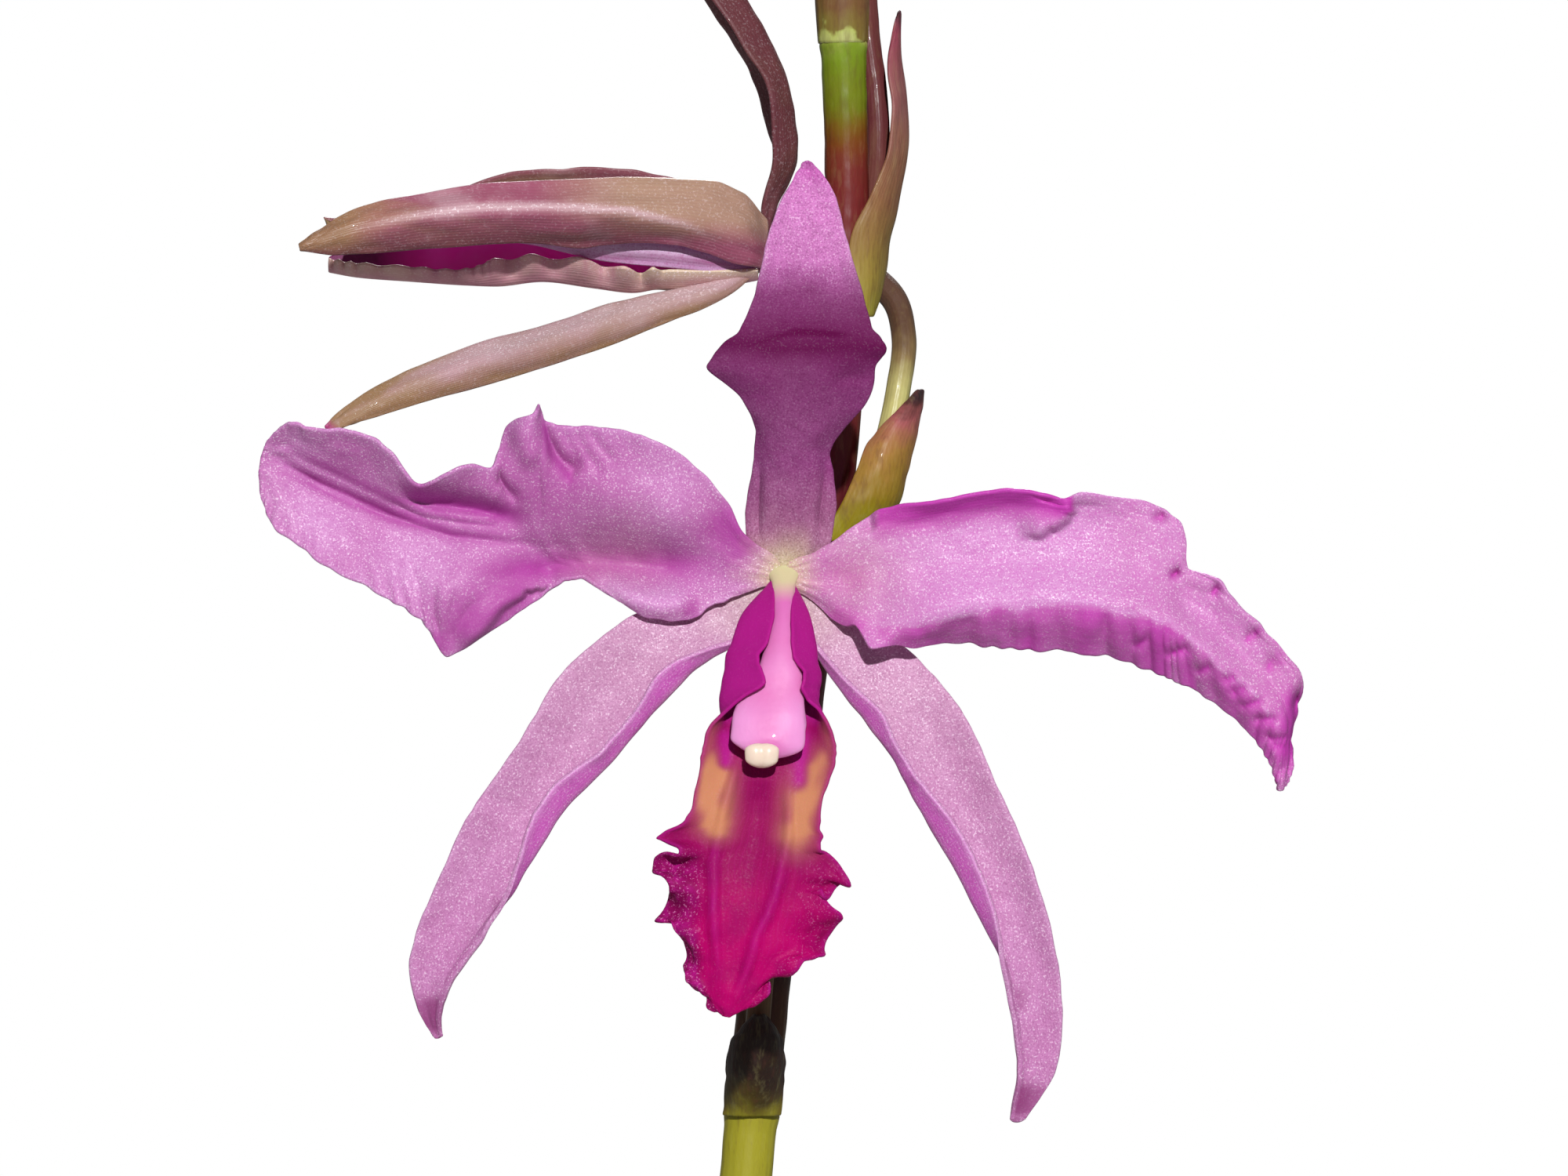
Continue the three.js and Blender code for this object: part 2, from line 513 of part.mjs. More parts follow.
const LEFT_LATERAL_SEPAL = [
  [[-1.6, -0.1, 1.7], [-1.1, -0.8, 1.7], [-0.7, -1.3, 1.7], [-0.5, -1.5, 1.7]],
  [[-10.5, -2.5, 2.4], [-8, -5.3, 2], [-5.6, -8, 0.8], [-5.9, -7.9, -0.4]],
  [[-18.9, -4.7, 1.6], [-14, -9, 1.2], [-10, -10.6, -0.4], [-11.2, -9.6, -2.6]],
  [[-24.1, -8.4, 0.4], [-19, -12.4, 1.2], [-14.5, -14.8, -1], [-16.3, -12.6, -3.4]],
  [[-29.3, -13.4, -0.4], [-23.5, -17, 1], [-18.6, -19.3, -1], [-19.4, -17.8, -3]],
  [[-32.6, -19.1, -1], [-27, -21.8, 0.8], [-22.5, -23.9, -1], [-24.1, -22.7, -3.4]],
  [[-37.4, -26.2, -1], [-31.8, -28, 0.6], [-27.5, -29, -1.2], [-29.5, -26.8, -4]],
  [[-40.8, -31.3, -1.4], [-35.5, -33, 0.4], [-31.2, -34.3, -1.4], [-32.6, -31.9, -4]],
  [[-43.6, -37.6, -1], [-39, -39, 0.4], [-34.8, -40.2, -1.4], [-34.9, -39.2, -3.2]],
  [[-46.4, -43.8, 0], [-42.3, -44.8, 1], [-39, -45.4, -0.4], [-38.2, -45.8, -1.8]],
  [[-47.9, -49.8, 1], [-45, -50.4, 1.6], [-43, -51.2, 0.8], [-42.2, -51.6, 0]],
  [[-46.9, -55, 2.4], [-45.5, -55.4, 2.6], [-44.4, -55.7, 2.2], [-43.8, -55.9, 1.8]],
  [[-44.9, -58.8, 3.4], [-44.4, -59.1, 3.5], [-43.9, -59, 3.4], [-43.6, -58.6, 3.2]],
];
const RIGHT_LATERAL_SEPAL = [
  [[1.6, -0.1, 1.7], [1.1, -0.8, 1.7], [0.7, -1.3, 1.7], [0.5, -1.5, 1.7]],
  [[9.5, -4.5, 2.4], [6.6, -6.6, 2], [3.4, -8.3, 0.8], [3.7, -8.2, -0.4]],
  [[16.4, -9.8, 3], [12, -12, 1.6], [7.4, -14.4, -0.2], [8.8, -14, -2.2]],
  [[20.2, -13.9, 1.4], [16, -16, 1.2], [10.7, -18.6, -0.8], [12.6, -17.4, -3]],
  [[23.6, -18.6, 0], [19, -21, 1], [14.2, -23.4, -1], [15, -22.6, -2.8]],
  [[26.3, -24.5, -0.6], [21.3, -25.8, 0.8], [16.2, -27.3, -1], [18.2, -27.1, -3.4]],
  [[29.4, -31.5, -1], [24.4, -32, 0.6], [18.9, -32, -1.2], [21.9, -31.4, -4]],
  [[31.9, -37.6, -1.4], [27.3, -38, 0.4], [22.2, -37.8, -1.4], [24.9, -37.2, -4]],
  [[33.8, -44, -1], [30, -44.2, 0.4], [25.3, -43.8, -1.2], [27, -43.2, -3.4]],
  [[35.1, -50, 0], [31.8, -50, 0.8], [28.4, -49.8, -0.4], [27.9, -49.9, -1.8]],
  [[35.6, -56.5, 1], [32.6, -56.8, 1.4], [30, -57, 0.8], [29.2, -57, 0]],
  [[34.8, -63, 2.2], [32.3, -63.4, 2.4], [30.5, -63.5, 2], [29.8, -63.5, 1.6]],
  [[30.9, -69.4, 3.2], [30.1, -69.8, 3.4], [29.3, -69.8, 3.4], [28.8, -69.4, 3.2]],
];
// The lip's stations run from one free edge over the side lobe and the middle to the other edge.
const LIP = [
  [[-1.3, -1.7, 0.1], [-1, -1.9, 0.4], [0, -2, 0.4], [1, -1.9, 0.4], [1.3, -1.7, 0.1]],
  [[-2.2, -5.2, -5], [-4.5, -4.6, -2.6], [0, -6, -1.4], [3.6, -4.8, -2.6], [2, -5.2, -5]],
  [[-3.2, -10, -8], [-6.8, -9.4, -4.6], [-0.3, -11, -3], [4.2, -9.8, -4.6], [2.6, -10, -8]],
  [[-5.2, -14, -9.6], [-7.6, -13.4, -6.4], [-0.6, -15, -4.4], [4.6, -14, -6.4], [4.4, -14.2, -9]],
  [[-8.8, -18, -9], [-6.6, -18.4, -7], [-1.6, -18.8, -5.6], [3.6, -18.4, -7], [5.4, -18, -9]],
  [[-10.6, -24, -9.6], [-6.8, -24, -8.4], [-2.2, -24, -7.4], [2.6, -24, -8.4], [6.5, -23.6, -9.6]],
  [[-11.9, -29.8, -10.6], [-7.4, -29.6, -9.8], [-2.8, -29.5, -9], [1.6, -29.5, -9.8], [4.8, -29.6, -10.6]],
  [[-16.2, -33.2, -9.6], [-9.6, -33, -10.4], [-3.2, -33, -10.2], [1.2, -33, -10.4], [4.7, -33, -10.8]],
  [[-13.6, -35, -11], [-9.8, -35.4, -10.6], [-3.7, -35.6, -11], [1.6, -35.4, -10.6], [5.6, -35.4, -10.2]],
  [[-16.8, -37.4, -8.6], [-10, -38, -10.6], [-4.2, -38.6, -11.8], [2, -38, -10.8], [7.9, -38.3, -8.8]],
  [[-14.7, -40.8, -10.8], [-10.2, -41.4, -11], [-4.7, -42.2, -12.2], [1, -41, -11.2], [4.8, -39.8, -10.8]],
  [[-16.2, -43.8, -8.8], [-10.5, -44.4, -11], [-5.3, -45.6, -12.4], [0.8, -44.4, -11.2], [6.8, -43.2, -9]],
  [[-13.6, -46.2, -10.2], [-10.4, -47, -11], [-5.9, -48.6, -12.4], [0, -47.4, -11.4], [5.5, -47.5, -9.6]],
  [[-13, -49.2, -9.6], [-10.2, -50, -11], [-6.4, -51.2, -12.2], [-2.2, -49.6, -11.4], [0.8, -48.4, -10.4]],
  [[-12.3, -51.6, -10], [-9.8, -52.4, -11], [-6.8, -53.4, -12], [-3.6, -52.4, -11.4], [-1.3, -51.4, -10.4]],
  [[-8.9, -54.3, -11], [-8.1, -55, -11.2], [-7.2, -55.4, -11.4], [-6, -55.3, -11.2], [-4.6, -54.7, -11]],
];
const COLUMN = {
  points: [[0, 0.1, -0.1], [0, -1.6, -2.4], [-0.1, -5.6, -4.8], [-0.3, -10, -6.8], [-0.8, -14.4, -9],
    [-1.7, -18.4, -11.4], [-2, -21.4, -12.6], [-2.1, -22.6, -12.9]],
  widths: [[1, 1], [1, 1.1], [1.1, 1.3], [1.6, 1.6], [2.9, 1.8], [4.7, 1.8], [4.2, 1.5], [2.6, 1]],
};
const ANTHER = {
  points: [[-2.5, -20.4, -15.1], [-2.6, -21.8, -15.5], [-2.7, -23, -15.4], [-2.8, -24, -14.8]],
  widths: [[0.9, 0.4], [1.9, 0.9], [1.8, 0.9], [0.8, 0.4]],
};

// Second bloom, half open and turned to the left behind the open one
const NEAR_SEPAL = [
  [[-2.2, 41.9, 20.5], [-2.2, 41.1, 20.8], [-2.2, 40.2, 21.1]],
  [[-4.6, 48.2, 17], [-4.6, 44, 15.4], [-4.6, 39.9, 17.4]],
  [[-10, 51.4, 14], [-10.5, 46, 11.5], [-9.5, 41.2, 14.5]],
  [[-18, 51.4, 11], [-18.5, 46.5, 8.5], [-17.5, 42.8, 12]],
  [[-27, 50.8, 8.5], [-27.5, 46.4, 6], [-26.5, 42.5, 9.5]],
  [[-36, 50.2, 6], [-36.5, 46.2, 3.5], [-36, 42.6, 6.5]],
  [[-46, 49, 4], [-46.5, 45.6, 1.5], [-46, 41.8, 4]],
  [[-54, 47, 2.5], [-54.5, 44.4, 0.5], [-54.5, 41, 2]],
  [[-59, 44.6, 1.5], [-59.4, 42.8, 0.3], [-59, 41, 1]],
  [[-61.6, 42.4, 0.8], [-61.8, 41.9, 0.4], [-61.6, 41.4, 0.6]],
];
const LOWER_SEPAL = [
  [[-2.2, 41.3, 23.6], [-2.2, 40.7, 23.1], [-2.2, 40, 22.4]],
  [[-8.6, 38, 25.6], [-8.6, 36.6, 24.2], [-8.6, 35.3, 24.6]],
  [[-14.6, 36.8, 26.4], [-14.6, 34.8, 24.4], [-14.6, 32.8, 25]],
  [[-22.6, 35, 26.8], [-22.6, 32.3, 24.4], [-22.6, 29.6, 25.4]],
  [[-30.6, 32.4, 26.5], [-30.6, 29.7, 24], [-30.6, 27, 25.2]],
  [[-38.6, 30.3, 26], [-38.6, 27.5, 23.5], [-38.6, 24.6, 24.6]],
  [[-46.6, 27.3, 25], [-46.6, 24.9, 22.8], [-46, 22.6, 23.6]],
  [[-53, 24.2, 23.5], [-52.8, 22.4, 21.8], [-52, 20.7, 22.3]],
  [[-57.6, 20.8, 21.5], [-57, 20.1, 20.8], [-55.9, 19.5, 21]],
  [[-59.2, 19.1, 20.3], [-58.8, 18.7, 20], [-58.4, 18.4, 20.1]],
];
const UPPER_SEPAL = [
  [[-2.2, 42.9, 21.4], [-2.2, 42.8, 22.2], [-2.2, 42.6, 23.1]],
  [[-2.8, 47.5, 19.4], [-1.4, 47.5, 21], [-2.6, 47.5, 25]],
  [[-1.4, 53, 17], [1.3, 53, 20.5], [-0.6, 53, 26]],
  [[-1.5, 58, 16], [1.3, 58.2, 20], [-2.4, 58.5, 26.5]],
  [[-2.2, 63, 15.5], [0.2, 64, 19.5], [-3.6, 63.4, 26.5]],
  [[-4.8, 67.4, 15.5], [-2, 69, 19.5], [-6, 68, 26]],
  [[-8.1, 72.5, 16], [-4.9, 74, 19.5], [-9.6, 73.4, 25.4]],
  [[-12.5, 79, 17], [-9.4, 80.4, 20], [-13.6, 79.4, 25]],
  [[-16.5, 86, 18.5], [-14.5, 87, 20.5], [-17.4, 86, 23.8]],
  [[-19.6, 90.6, 20.2], [-19.4, 91.4, 20.8], [-20.2, 90.8, 21.6]],
];
const NEAR_PETAL = [
  [[-3.3, 43, 21.6], [-3.3, 42.3, 21], [-3.3, 41.7, 20.4]],
  [[-8, 48, 20], [-8, 44, 17.8], [-7.5, 40.8, 17.8]],
  [[-16, 52, 18.5], [-16, 46, 14.8], [-14.5, 40, 15.4]],
  [[-25, 52.7, 17], [-25, 46, 12.8], [-23.5, 40, 14.4]],
  [[-34, 52.3, 15.5], [-34, 46, 11.4], [-34, 40.7, 13.4]],
  [[-42, 49.4, 13.5], [-43, 45.2, 10.4], [-43, 41.4, 12.2]],
  [[-50, 46.8, 12], [-51, 44, 10], [-50, 41.8, 11.2]],
  [[-56, 43.8, 11], [-56.4, 43, 10.6], [-56, 42.4, 11]],
];
const FAR_PETAL = [
  [[-3.3, 42.8, 22.9], [-3.3, 41.9, 23.2], [-3.3, 41.1, 23.5]],
  [[-9, 47.6, 27.4], [-9, 44.5, 28.2], [-9, 41, 27.6]],
  [[-18, 50.5, 30.5], [-18, 46, 33], [-18, 40, 31.4]],
  [[-28, 50.8, 32], [-28, 46, 35.5], [-28, 39, 33]],
  [[-38, 50.4, 32], [-38, 46, 36], [-38, 40, 33]],
  [[-48, 49.5, 31], [-48, 46, 34], [-48, 41.5, 32]],
  [[-55.5, 47.8, 29.5], [-56, 46, 31], [-55.5, 43.8, 30]],
  [[-59, 46.2, 28.8], [-59.2, 45.8, 29], [-59, 45.2, 29]],
];
const LEFT_LIP = [
  [[-3.3, 40.3, 20.9], [-3.3, 40.1, 21.8], [-3.3, 40.3, 22.7]],
  [[-9, 40, 19.8], [-9, 38.4, 21.4], [-9, 40.6, 23.8]],
  [[-16, 39, 18.4], [-16, 37.6, 20.6], [-16, 41.7, 25]],
  [[-24, 38.9, 17.4], [-24, 37.8, 20], [-24, 43.5, 26.6]],
  [[-32, 39, 16.6], [-32, 38.1, 19.5], [-32, 45, 27]],
  [[-40, 38.9, 15.8], [-40, 38, 18.4], [-40, 45, 26.5]],
  [[-48, 39.2, 15], [-48, 38.7, 17.6], [-48, 44.5, 25]],
  [[-55.6, 39.9, 15], [-56, 39.5, 17.4], [-55.6, 43.5, 23]],
  [[-59, 40.9, 16.4], [-59.4, 40.7, 17.6], [-59, 42, 20]],
];
const LEFT_COLUMN = {
  points: [[-3.4, 41.5, 22], [-8, 42, 22], [-16, 42.4, 21.4], [-24, 42, 20.6], [-27, 41.6, 20.2]],
  widths: [[0.9, 0.9], [1.1, 1.2], [1.3, 1.8], [1.4, 2.4], [0.8, 1.2]],
};
const TOP_BUD = {
  points: [[11.2, 93, 28.5], [11.6, 99, 28], [12.6, 110, 27], [13.8, 121, 25.6], [14.8, 129, 24.6]],
  widths: [[2.6, 2.6], [5.4, 5], [7, 6.4], [5, 4.6], [0.8, 0.8]],
};

function stations(rows) {
  return rows.map((row) => row.map(place));
}

function addBlade(group, name, rows, colour, options) {
  group.add(mesh(name, bladeGeometry(stations(rows), options), colour));
}

function openBloom() {
  const bloom = new THREE.Group();
  const sepal = { rows: 18, columns: 6, thickness: TEPAL_THICKNESS };
  const petal = { rows: 24, columns: 7, thickness: TEPAL_THICKNESS, frill: 1, waves: 4 };
  const lip = { rows: 24, columns: 8, thickness: LIP_THICKNESS };
  addBlade(bloom, "dorsal_sepal", DORSAL_SEPAL, COLOURS.sepal, sepal);
  addBlade(bloom, "petal_left", LEFT_PETAL, COLOURS.petal, petal);
  addBlade(bloom, "petal_right", RIGHT_PETAL, COLOURS.petal, petal);
  addBlade(bloom, "lateral_sepal_left", LEFT_LATERAL_SEPAL, COLOURS.sepal, sepal);
  addBlade(bloom, "lateral_sepal_right", RIGHT_LATERAL_SEPAL, COLOURS.sepal, sepal);
  addBlade(bloom, "lip", LIP, COLOURS.lip, lip);
  const column = stalkGeometry(COLUMN.points.map(place), COLUMN.widths, 10, 12);
  bloom.add(mesh("column", column, COLOURS.column));
  const anther = stalkGeometry(ANTHER.points.map(place), ANTHER.widths, 10, 6);
  bloom.add(mesh("anther_cap", anther, COLOURS.anther));
  return bloom;
}

function secondBloom() {
  const bloom = new THREE.Group();
  const tepal = { rows: 12, columns: 4, thickness: TEPAL_THICKNESS };
  addBlade(bloom, "left_bloom_near_sepal", NEAR_SEPAL, COLOURS.dusky, tepal);
  addBlade(bloom, "left_bloom_lower_sepal", LOWER_SEPAL, COLOURS.dusky, tepal);
  addBlade(bloom, "left_bloom_upper_sepal", UPPER_SEPAL, COLOURS.dusky, tepal);
  addBlade(bloom, "left_bloom_near_petal", NEAR_PETAL, COLOURS.petal, tepal);
  addBlade(bloom, "left_bloom_far_petal", FAR_PETAL, COLOURS.petal, tepal);
  addBlade(bloom, "left_bloom_lip", LEFT_LIP, COLOURS.lip, { ...tepal, thickness: LIP_THICKNESS });
  const facing = new THREE.Vector3(0, 0, 1);
  const column = stalkGeometry(LEFT_COLUMN.points.map(place), LEFT_COLUMN.widths, 8, 6, facing);
  bloom.add(mesh("left_bloom_column", column, COLOURS.column));
  return bloom;
}

function flowerStem() {
  const stem = new THREE.Group();
  stem.add(mesh("peduncle", stemGeometry(), COLOURS.stalk));
  for (const [name, rows] of Object.entries(BRACTS)) {
    addBlade(stem, name, rows, COLOURS.bract, { rows: 8, columns: 5, thickness: BRACT_THICKNESS });
  }
  for (const [name, { points, radii, facing }] of Object.entries(PEDICELS)) {
    const steps = 2 * (points.length - 1);
    const direction = new THREE.Vector3(...facing);
    const geometry = stalkGeometry(points.map(place), roundWidths(...radii), 8, steps, direction);
    stem.add(mesh(name, geometry, COLOURS.pedicel));
  }
  const tip = stalkGeometry(BRACT_TIP.points.map(place), roundWidths(...BRACT_TIP.radii), 10, 8);
  stem.add(mesh("bract_tip", tip, COLOURS.bract));
  stem.add(mesh("top_bud", stalkGeometry(TOP_BUD.points.map(place), TOP_BUD.widths, 10, 10), COLOURS.bud));
  return stem;
}

// Spathe: the flattened sheath that the flower stem rises from, in the fold of the leaf. It is
// keeled on one side and open on the other. Each row is its height, then the reach of its section
// sideways for the edges, the flat sides and the keel, then half its depth.
const SPATHE_FOOT = 239.4;
const SPATHE_ROWS = [
  [0, 3, -1, -4.8, 4.2],
  [20, 6, 0, -9, 4.9],
  [46, 8.5, 0, -12, 5.2],
  [72, 7, -1, -11, 5.2],
  [84, 0, -4, -9.6, 5],
  [93, -5.4, -7, -8.8, 3],
  [102, -7.6, -7.9, -8.2, 0.8],
];

function spatheGeometry() {
  const [headingRight, headingBack] = GROWTHS[0].leafHeading;
  const heading = new THREE.Vector3(headingRight, headingBack, 0).normalize();
  const across = new THREE.Vector3(-heading.y, heading.x, 0).negate();
  const stem = smooth(STEM_LINE.map(place));
  const origin = new THREE.Vector3(...BLOOM_CENTRE);
  const rows = SPATHE_ROWS.map(([rise, edge, flat, keel, depth]) => {
    const height = SPATHE_FOOT + rise;
    const below = STEM_LINE.findIndex(([, up]) => up + origin.z > height) - 1;
    const share = (height - origin.z - STEM_LINE[below][1]) / (STEM_LINE[below + 1][1] - STEM_LINE[below][1]);
    const axis = stem.getPoint((below + share) / (STEM_LINE.length - 1)).add(origin);
    const section = [[edge, -1], [flat, -1], [keel, 0], [flat, 1], [edge, 1]];
    return section.map(([side, face]) => axis.clone().setZ(height)
      .addScaledVector(across, side)
      .addScaledVector(heading, face * depth));
  });
  return bladeGeometry(rows, { rows: 12, columns: 8, thickness: SHEATH_THICKNESS });
}

const plant = new THREE.Group();
plant.add(mesh("pot", potGeometry(), COLOURS.clay, 0.85));
plant.add(mesh("bark", barkGeometry(), COLOURS.bark, 0.95));
plant.add(mesh("rhizome_and_roots", toGeometry(rhizomeSolid(0)), COLOURS.rhizome, 0.8));
GROWTHS.forEach((growth, i) => {
  plant.add(mesh(`pseudobulb_${i + 1}`, bulbGeometry(growth), COLOURS.bulb));
  plant.add(mesh(`bulb_sheath_${i + 1}`, sleeveGeometry(growth), COLOURS.husk, 0.9));
  plant.add(mesh(`leaf_${i + 1}`, leafGeometry(growth), COLOURS.leaf));
});

const inflorescence = new THREE.Group();
inflorescence.position.set(...BLOOM_CENTRE);
inflorescence.add(flowerStem(), openBloom(), secondBloom());
plant.add(inflorescence, mesh("spathe", spatheGeometry(), COLOURS.spathe));

export default plant;
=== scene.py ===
# %% [markdown]
# # A potted laeliocattleya orchid
# The plant stands in a clay pot filled with bark. One flower stem carries an open bloom, a second
# bloom that is half open and turned to the left, and a bud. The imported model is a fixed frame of
# plain solids. Each cell below makes one finer piece in the place of a solid and gives it a finish.

# %% The frame
import json
import math
import bpy
import numpy as np
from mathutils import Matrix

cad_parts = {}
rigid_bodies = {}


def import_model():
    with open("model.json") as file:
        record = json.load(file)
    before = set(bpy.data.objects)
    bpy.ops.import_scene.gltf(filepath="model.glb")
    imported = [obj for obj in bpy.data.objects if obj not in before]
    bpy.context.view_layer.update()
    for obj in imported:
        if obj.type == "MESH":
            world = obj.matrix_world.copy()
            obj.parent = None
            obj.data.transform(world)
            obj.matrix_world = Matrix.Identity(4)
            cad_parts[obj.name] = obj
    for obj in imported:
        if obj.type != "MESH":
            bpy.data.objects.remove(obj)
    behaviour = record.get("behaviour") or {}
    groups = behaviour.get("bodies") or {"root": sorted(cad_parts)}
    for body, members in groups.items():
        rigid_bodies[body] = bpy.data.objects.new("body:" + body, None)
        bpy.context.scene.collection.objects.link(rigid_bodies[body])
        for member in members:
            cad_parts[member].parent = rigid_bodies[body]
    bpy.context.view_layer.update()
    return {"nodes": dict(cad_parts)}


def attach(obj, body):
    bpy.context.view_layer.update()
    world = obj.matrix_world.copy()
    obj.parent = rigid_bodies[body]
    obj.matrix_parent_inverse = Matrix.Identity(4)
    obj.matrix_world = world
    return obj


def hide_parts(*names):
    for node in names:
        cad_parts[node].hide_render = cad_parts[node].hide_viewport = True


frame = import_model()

MM = 0.001
BLOOM_CENTRE = np.array([12.0, -18.0, 520.0])  # where the open bloom's tepals meet, in millimetres
print("CAD nodes:", len(frame["nodes"]))

# %% [markdown]
# The camera looks level at the open bloom from two metres away. A long lens keeps the view nearly
# without perspective, so the bloom, the stem behind it and the second bloom keep their true sizes.

# %% Camera
CAMERA_DISTANCE = 2.0
FRAME_WIDTH = 0.2
FRAME_CENTRE_UP = -1.5  # the middle of the picture lies this far above the bloom's centre, in mm
SENSOR_WIDTH = 36.0
camera_data = bpy.data.cameras.new("orchid_camera")
camera_data.sensor_width = SENSOR_WIDTH
camera_data.lens = SENSOR_WIDTH * CAMERA_DISTANCE / FRAME_WIDTH
camera_data.clip_end = 50
camera = bpy.data.objects.new("orchid_camera", camera_data)
bpy.context.scene.collection.objects.link(camera)
camera.location = (BLOOM_CENTRE[0] * MM, BLOOM_CENTRE[1] * MM - CAMERA_DISTANCE,
                   (BLOOM_CENTRE[2] + FRAME_CENTRE_UP) * MM)
camera.rotation_euler = (math.pi / 2, 0, 0)
bpy.context.scene.camera = camera
print("lens", camera_data.lens)

# %% [markdown]
# One strong light from the front and above models the petals: faces turned down go dark, and the
# lip throws its shadow on the stem. A weaker light from behind serves the other views.

# %% Light
def add_sun(name, energy, angle, elevation, heading):
    lamp = bpy.data.lights.new(name, "SUN")
    lamp.energy = energy
    lamp.angle = math.radians(angle)
    sun = bpy.data.objects.new(name, lamp)
    bpy.context.scene.collection.objects.link(sun)
    sun.rotation_euler = (math.radians(90 - elevation), 0, math.radians(heading))


add_sun("key_light", energy=3.6, angle=2, elevation=23, heading=6)
add_sun("back_light", energy=1.6, angle=10, elevation=38, heading=172)
bpy.context.scene.view_settings.view_transform = "Standard"

world = bpy.data.worlds.new("studio")
bpy.context.scene.world = world
world.use_nodes = True
sky = world.node_tree
sky.nodes["Background"].inputs["Color"].default_value = (1, 1, 1, 1)
sky_rays = sky.nodes.new("ShaderNodeLightPath")
sky_range = sky.nodes.new("ShaderNodeMapRange")
FILL = 0.15  # the white surround lights the plant this weakly, and the camera sees it white
sky_range.inputs["To Min"].default_value = FILL
sky_range.inputs["To Max"].default_value = 1.0
sky.links.new(sky_rays.outputs["Is Camera Ray"], sky_range.inputs["Value"])
sky.links.new(sky_range.outputs["Result"], sky.nodes["Background"].inputs["Strength"])

# %% [markdown]
# The floor is a pale disc that fades into the white surround at its rim.

# %% Floor
FLOOR_RADIUS = 2.6
FADE_FROM, FADE_TO = 0.25, 1.95  # metres from the middle
bpy.ops.mesh.primitive_circle_add(vertices=96, radius=FLOOR_RADIUS, fill_type="NGON")
floor = bpy.context.object
floor.name = "floor"
floor_look = bpy.data.materials.new("pale_floor")
floor_look.use_nodes = True
floor_tree = floor_look.node_tree
matt = floor_tree.nodes["Principled BSDF"]
matt.inputs["Base Color"].default_value = (0.52, 0.52, 0.52, 1)
matt.inputs["Roughness"].default_value = 0.9
place_on_floor = floor_tree.nodes.new("ShaderNodeTexCoord")
reach = floor_tree.nodes.new("ShaderNodeVectorMath")
reach.operation = "LENGTH"
fade = floor_tree.nodes.new("ShaderNodeMapRange")
fade.inputs["From Min"].default_value = FADE_FROM
fade.inputs["From Max"].default_value = FADE_TO
white = floor_tree.nodes.new("ShaderNodeEmission")
floor_rays = floor_tree.nodes.new("ShaderNodeLightPath")
white_range = floor_tree.nodes.new("ShaderNodeMapRange")
white_range.inputs["To Min"].default_value = FILL
white_range.inputs["To Max"].default_value = 1.0
blend = floor_tree.nodes.new("ShaderNodeMixShader")
link = floor_tree.links.new
link(place_on_floor.outputs["Object"], reach.inputs[0])
link(reach.outputs["Value"], fade.inputs["Value"])
link(floor_rays.outputs["Is Camera Ray"], white_range.inputs["Value"])
link(white_range.outputs["Result"], white.inputs["Strength"])
link(fade.outputs["Result"], blend.inputs["Fac"])
link(matt.outputs["BSDF"], blend.inputs[1])
link(white.outputs["Emission"], blend.inputs[2])
link(blend.outputs["Shader"], floor_tree.nodes["Material Output"].inputs["Surface"])
floor.data.materials.append(floor_look)

# %% [markdown]
# Petals, sepals, leaves and bracts are all blades: thin skins with a few rows of known points from
# one edge to the other. They could be pulled out of a plane by hand, but a smooth line through each
# column of points, and then across each row, gives every blade its measured outline. Points are
# written in millimetres from the open bloom's centre: how far right, how far up, how far back.


# %% Smooth lines
RIGHT, BACK, UP = 0, 1, 2  # places of the three measures in a spot, as Blender orders them
FLAT = [RIGHT, UP]
SWAPPED = [0, 2, 1]  # from right, up, back to right, back, up, and the other way round


def points(text):
    """Turns "right up back, right up back" into an array; an array passes as it is."""
    if not isinstance(text, str):
        return np.array(text, float)
    return np.array([[float(number) for number in spot.split()] for spot in text.split(",")])


def rows(text):
    return [points(line) for line in text.strip().splitlines()]


def at(path):
    return points(path)[:, SWAPPED]


def unit(vectors):
    return vectors / np.maximum(np.linalg.norm(vectors, axis=-1, keepdims=True), 1e-9)


def follow(path, shares):
    """Spots at the given shares of the smooth line through path[..., number, xyz]."""
    last = path.shape[-2] - 1
    where = np.clip(np.asarray(shares, float), 0, 1) * last
    cell = np.minimum(where.astype(int), last - 1)
    step = (where - cell)[:, None]
    before = 2 * path[..., :1, :] - path[..., 1:2, :]
    after = 2 * path[..., -1:, :] - path[..., -2:-1, :]
    longer = np.concatenate([before, path, after], axis=-2)
    a, b, c, d = (longer[..., cell + k, :] for k in range(4))

    def gap(one, two):
        return np.maximum(((two - one) ** 2).sum(-1, keepdims=True), 1e-4) ** 0.25

    first, middle, third = gap(a, b), gap(b, c), gap(c, d)
    leave = ((b - a) / first - (c - a) / (first + middle) + (c - b) / middle) * middle
    arrive = ((c - b) / middle - (d - b) / (middle + third) + (d - c) / third) * middle
    return (b + leave * step + (3 * (c - b) - 2 * leave - arrive) * step ** 2
            + (2 * (b - c) + leave + arrive) * step ** 3)


def skin(table, along, across):
    """A grid of spots [along, across, xyz] on the skin through rows of points."""
    table = np.array([at(row) for row in table])
    sides = follow(table.swapaxes(0, 1), along)
    return follow(sides.swapaxes(0, 1), across)


# %% [markdown]
# Real petals are never quite smooth. Small helpers add wandering ruffles, crumpled cloth-like
# relief, and single creases along a drawn line, as a modeller would with a thumb. The last number
# that wander and rumple take is the seed of their noise.


# %% Relief helpers
def rise(value, start, span):
    """Climbs from 0 at start to 1 a span further."""
    return np.clip((value - start) / span, 0, 1)


def fall(value, end, span):
    """Sinks from 1 to 0 over the span before end."""
    return np.clip((end - value) / span, 0, 1)


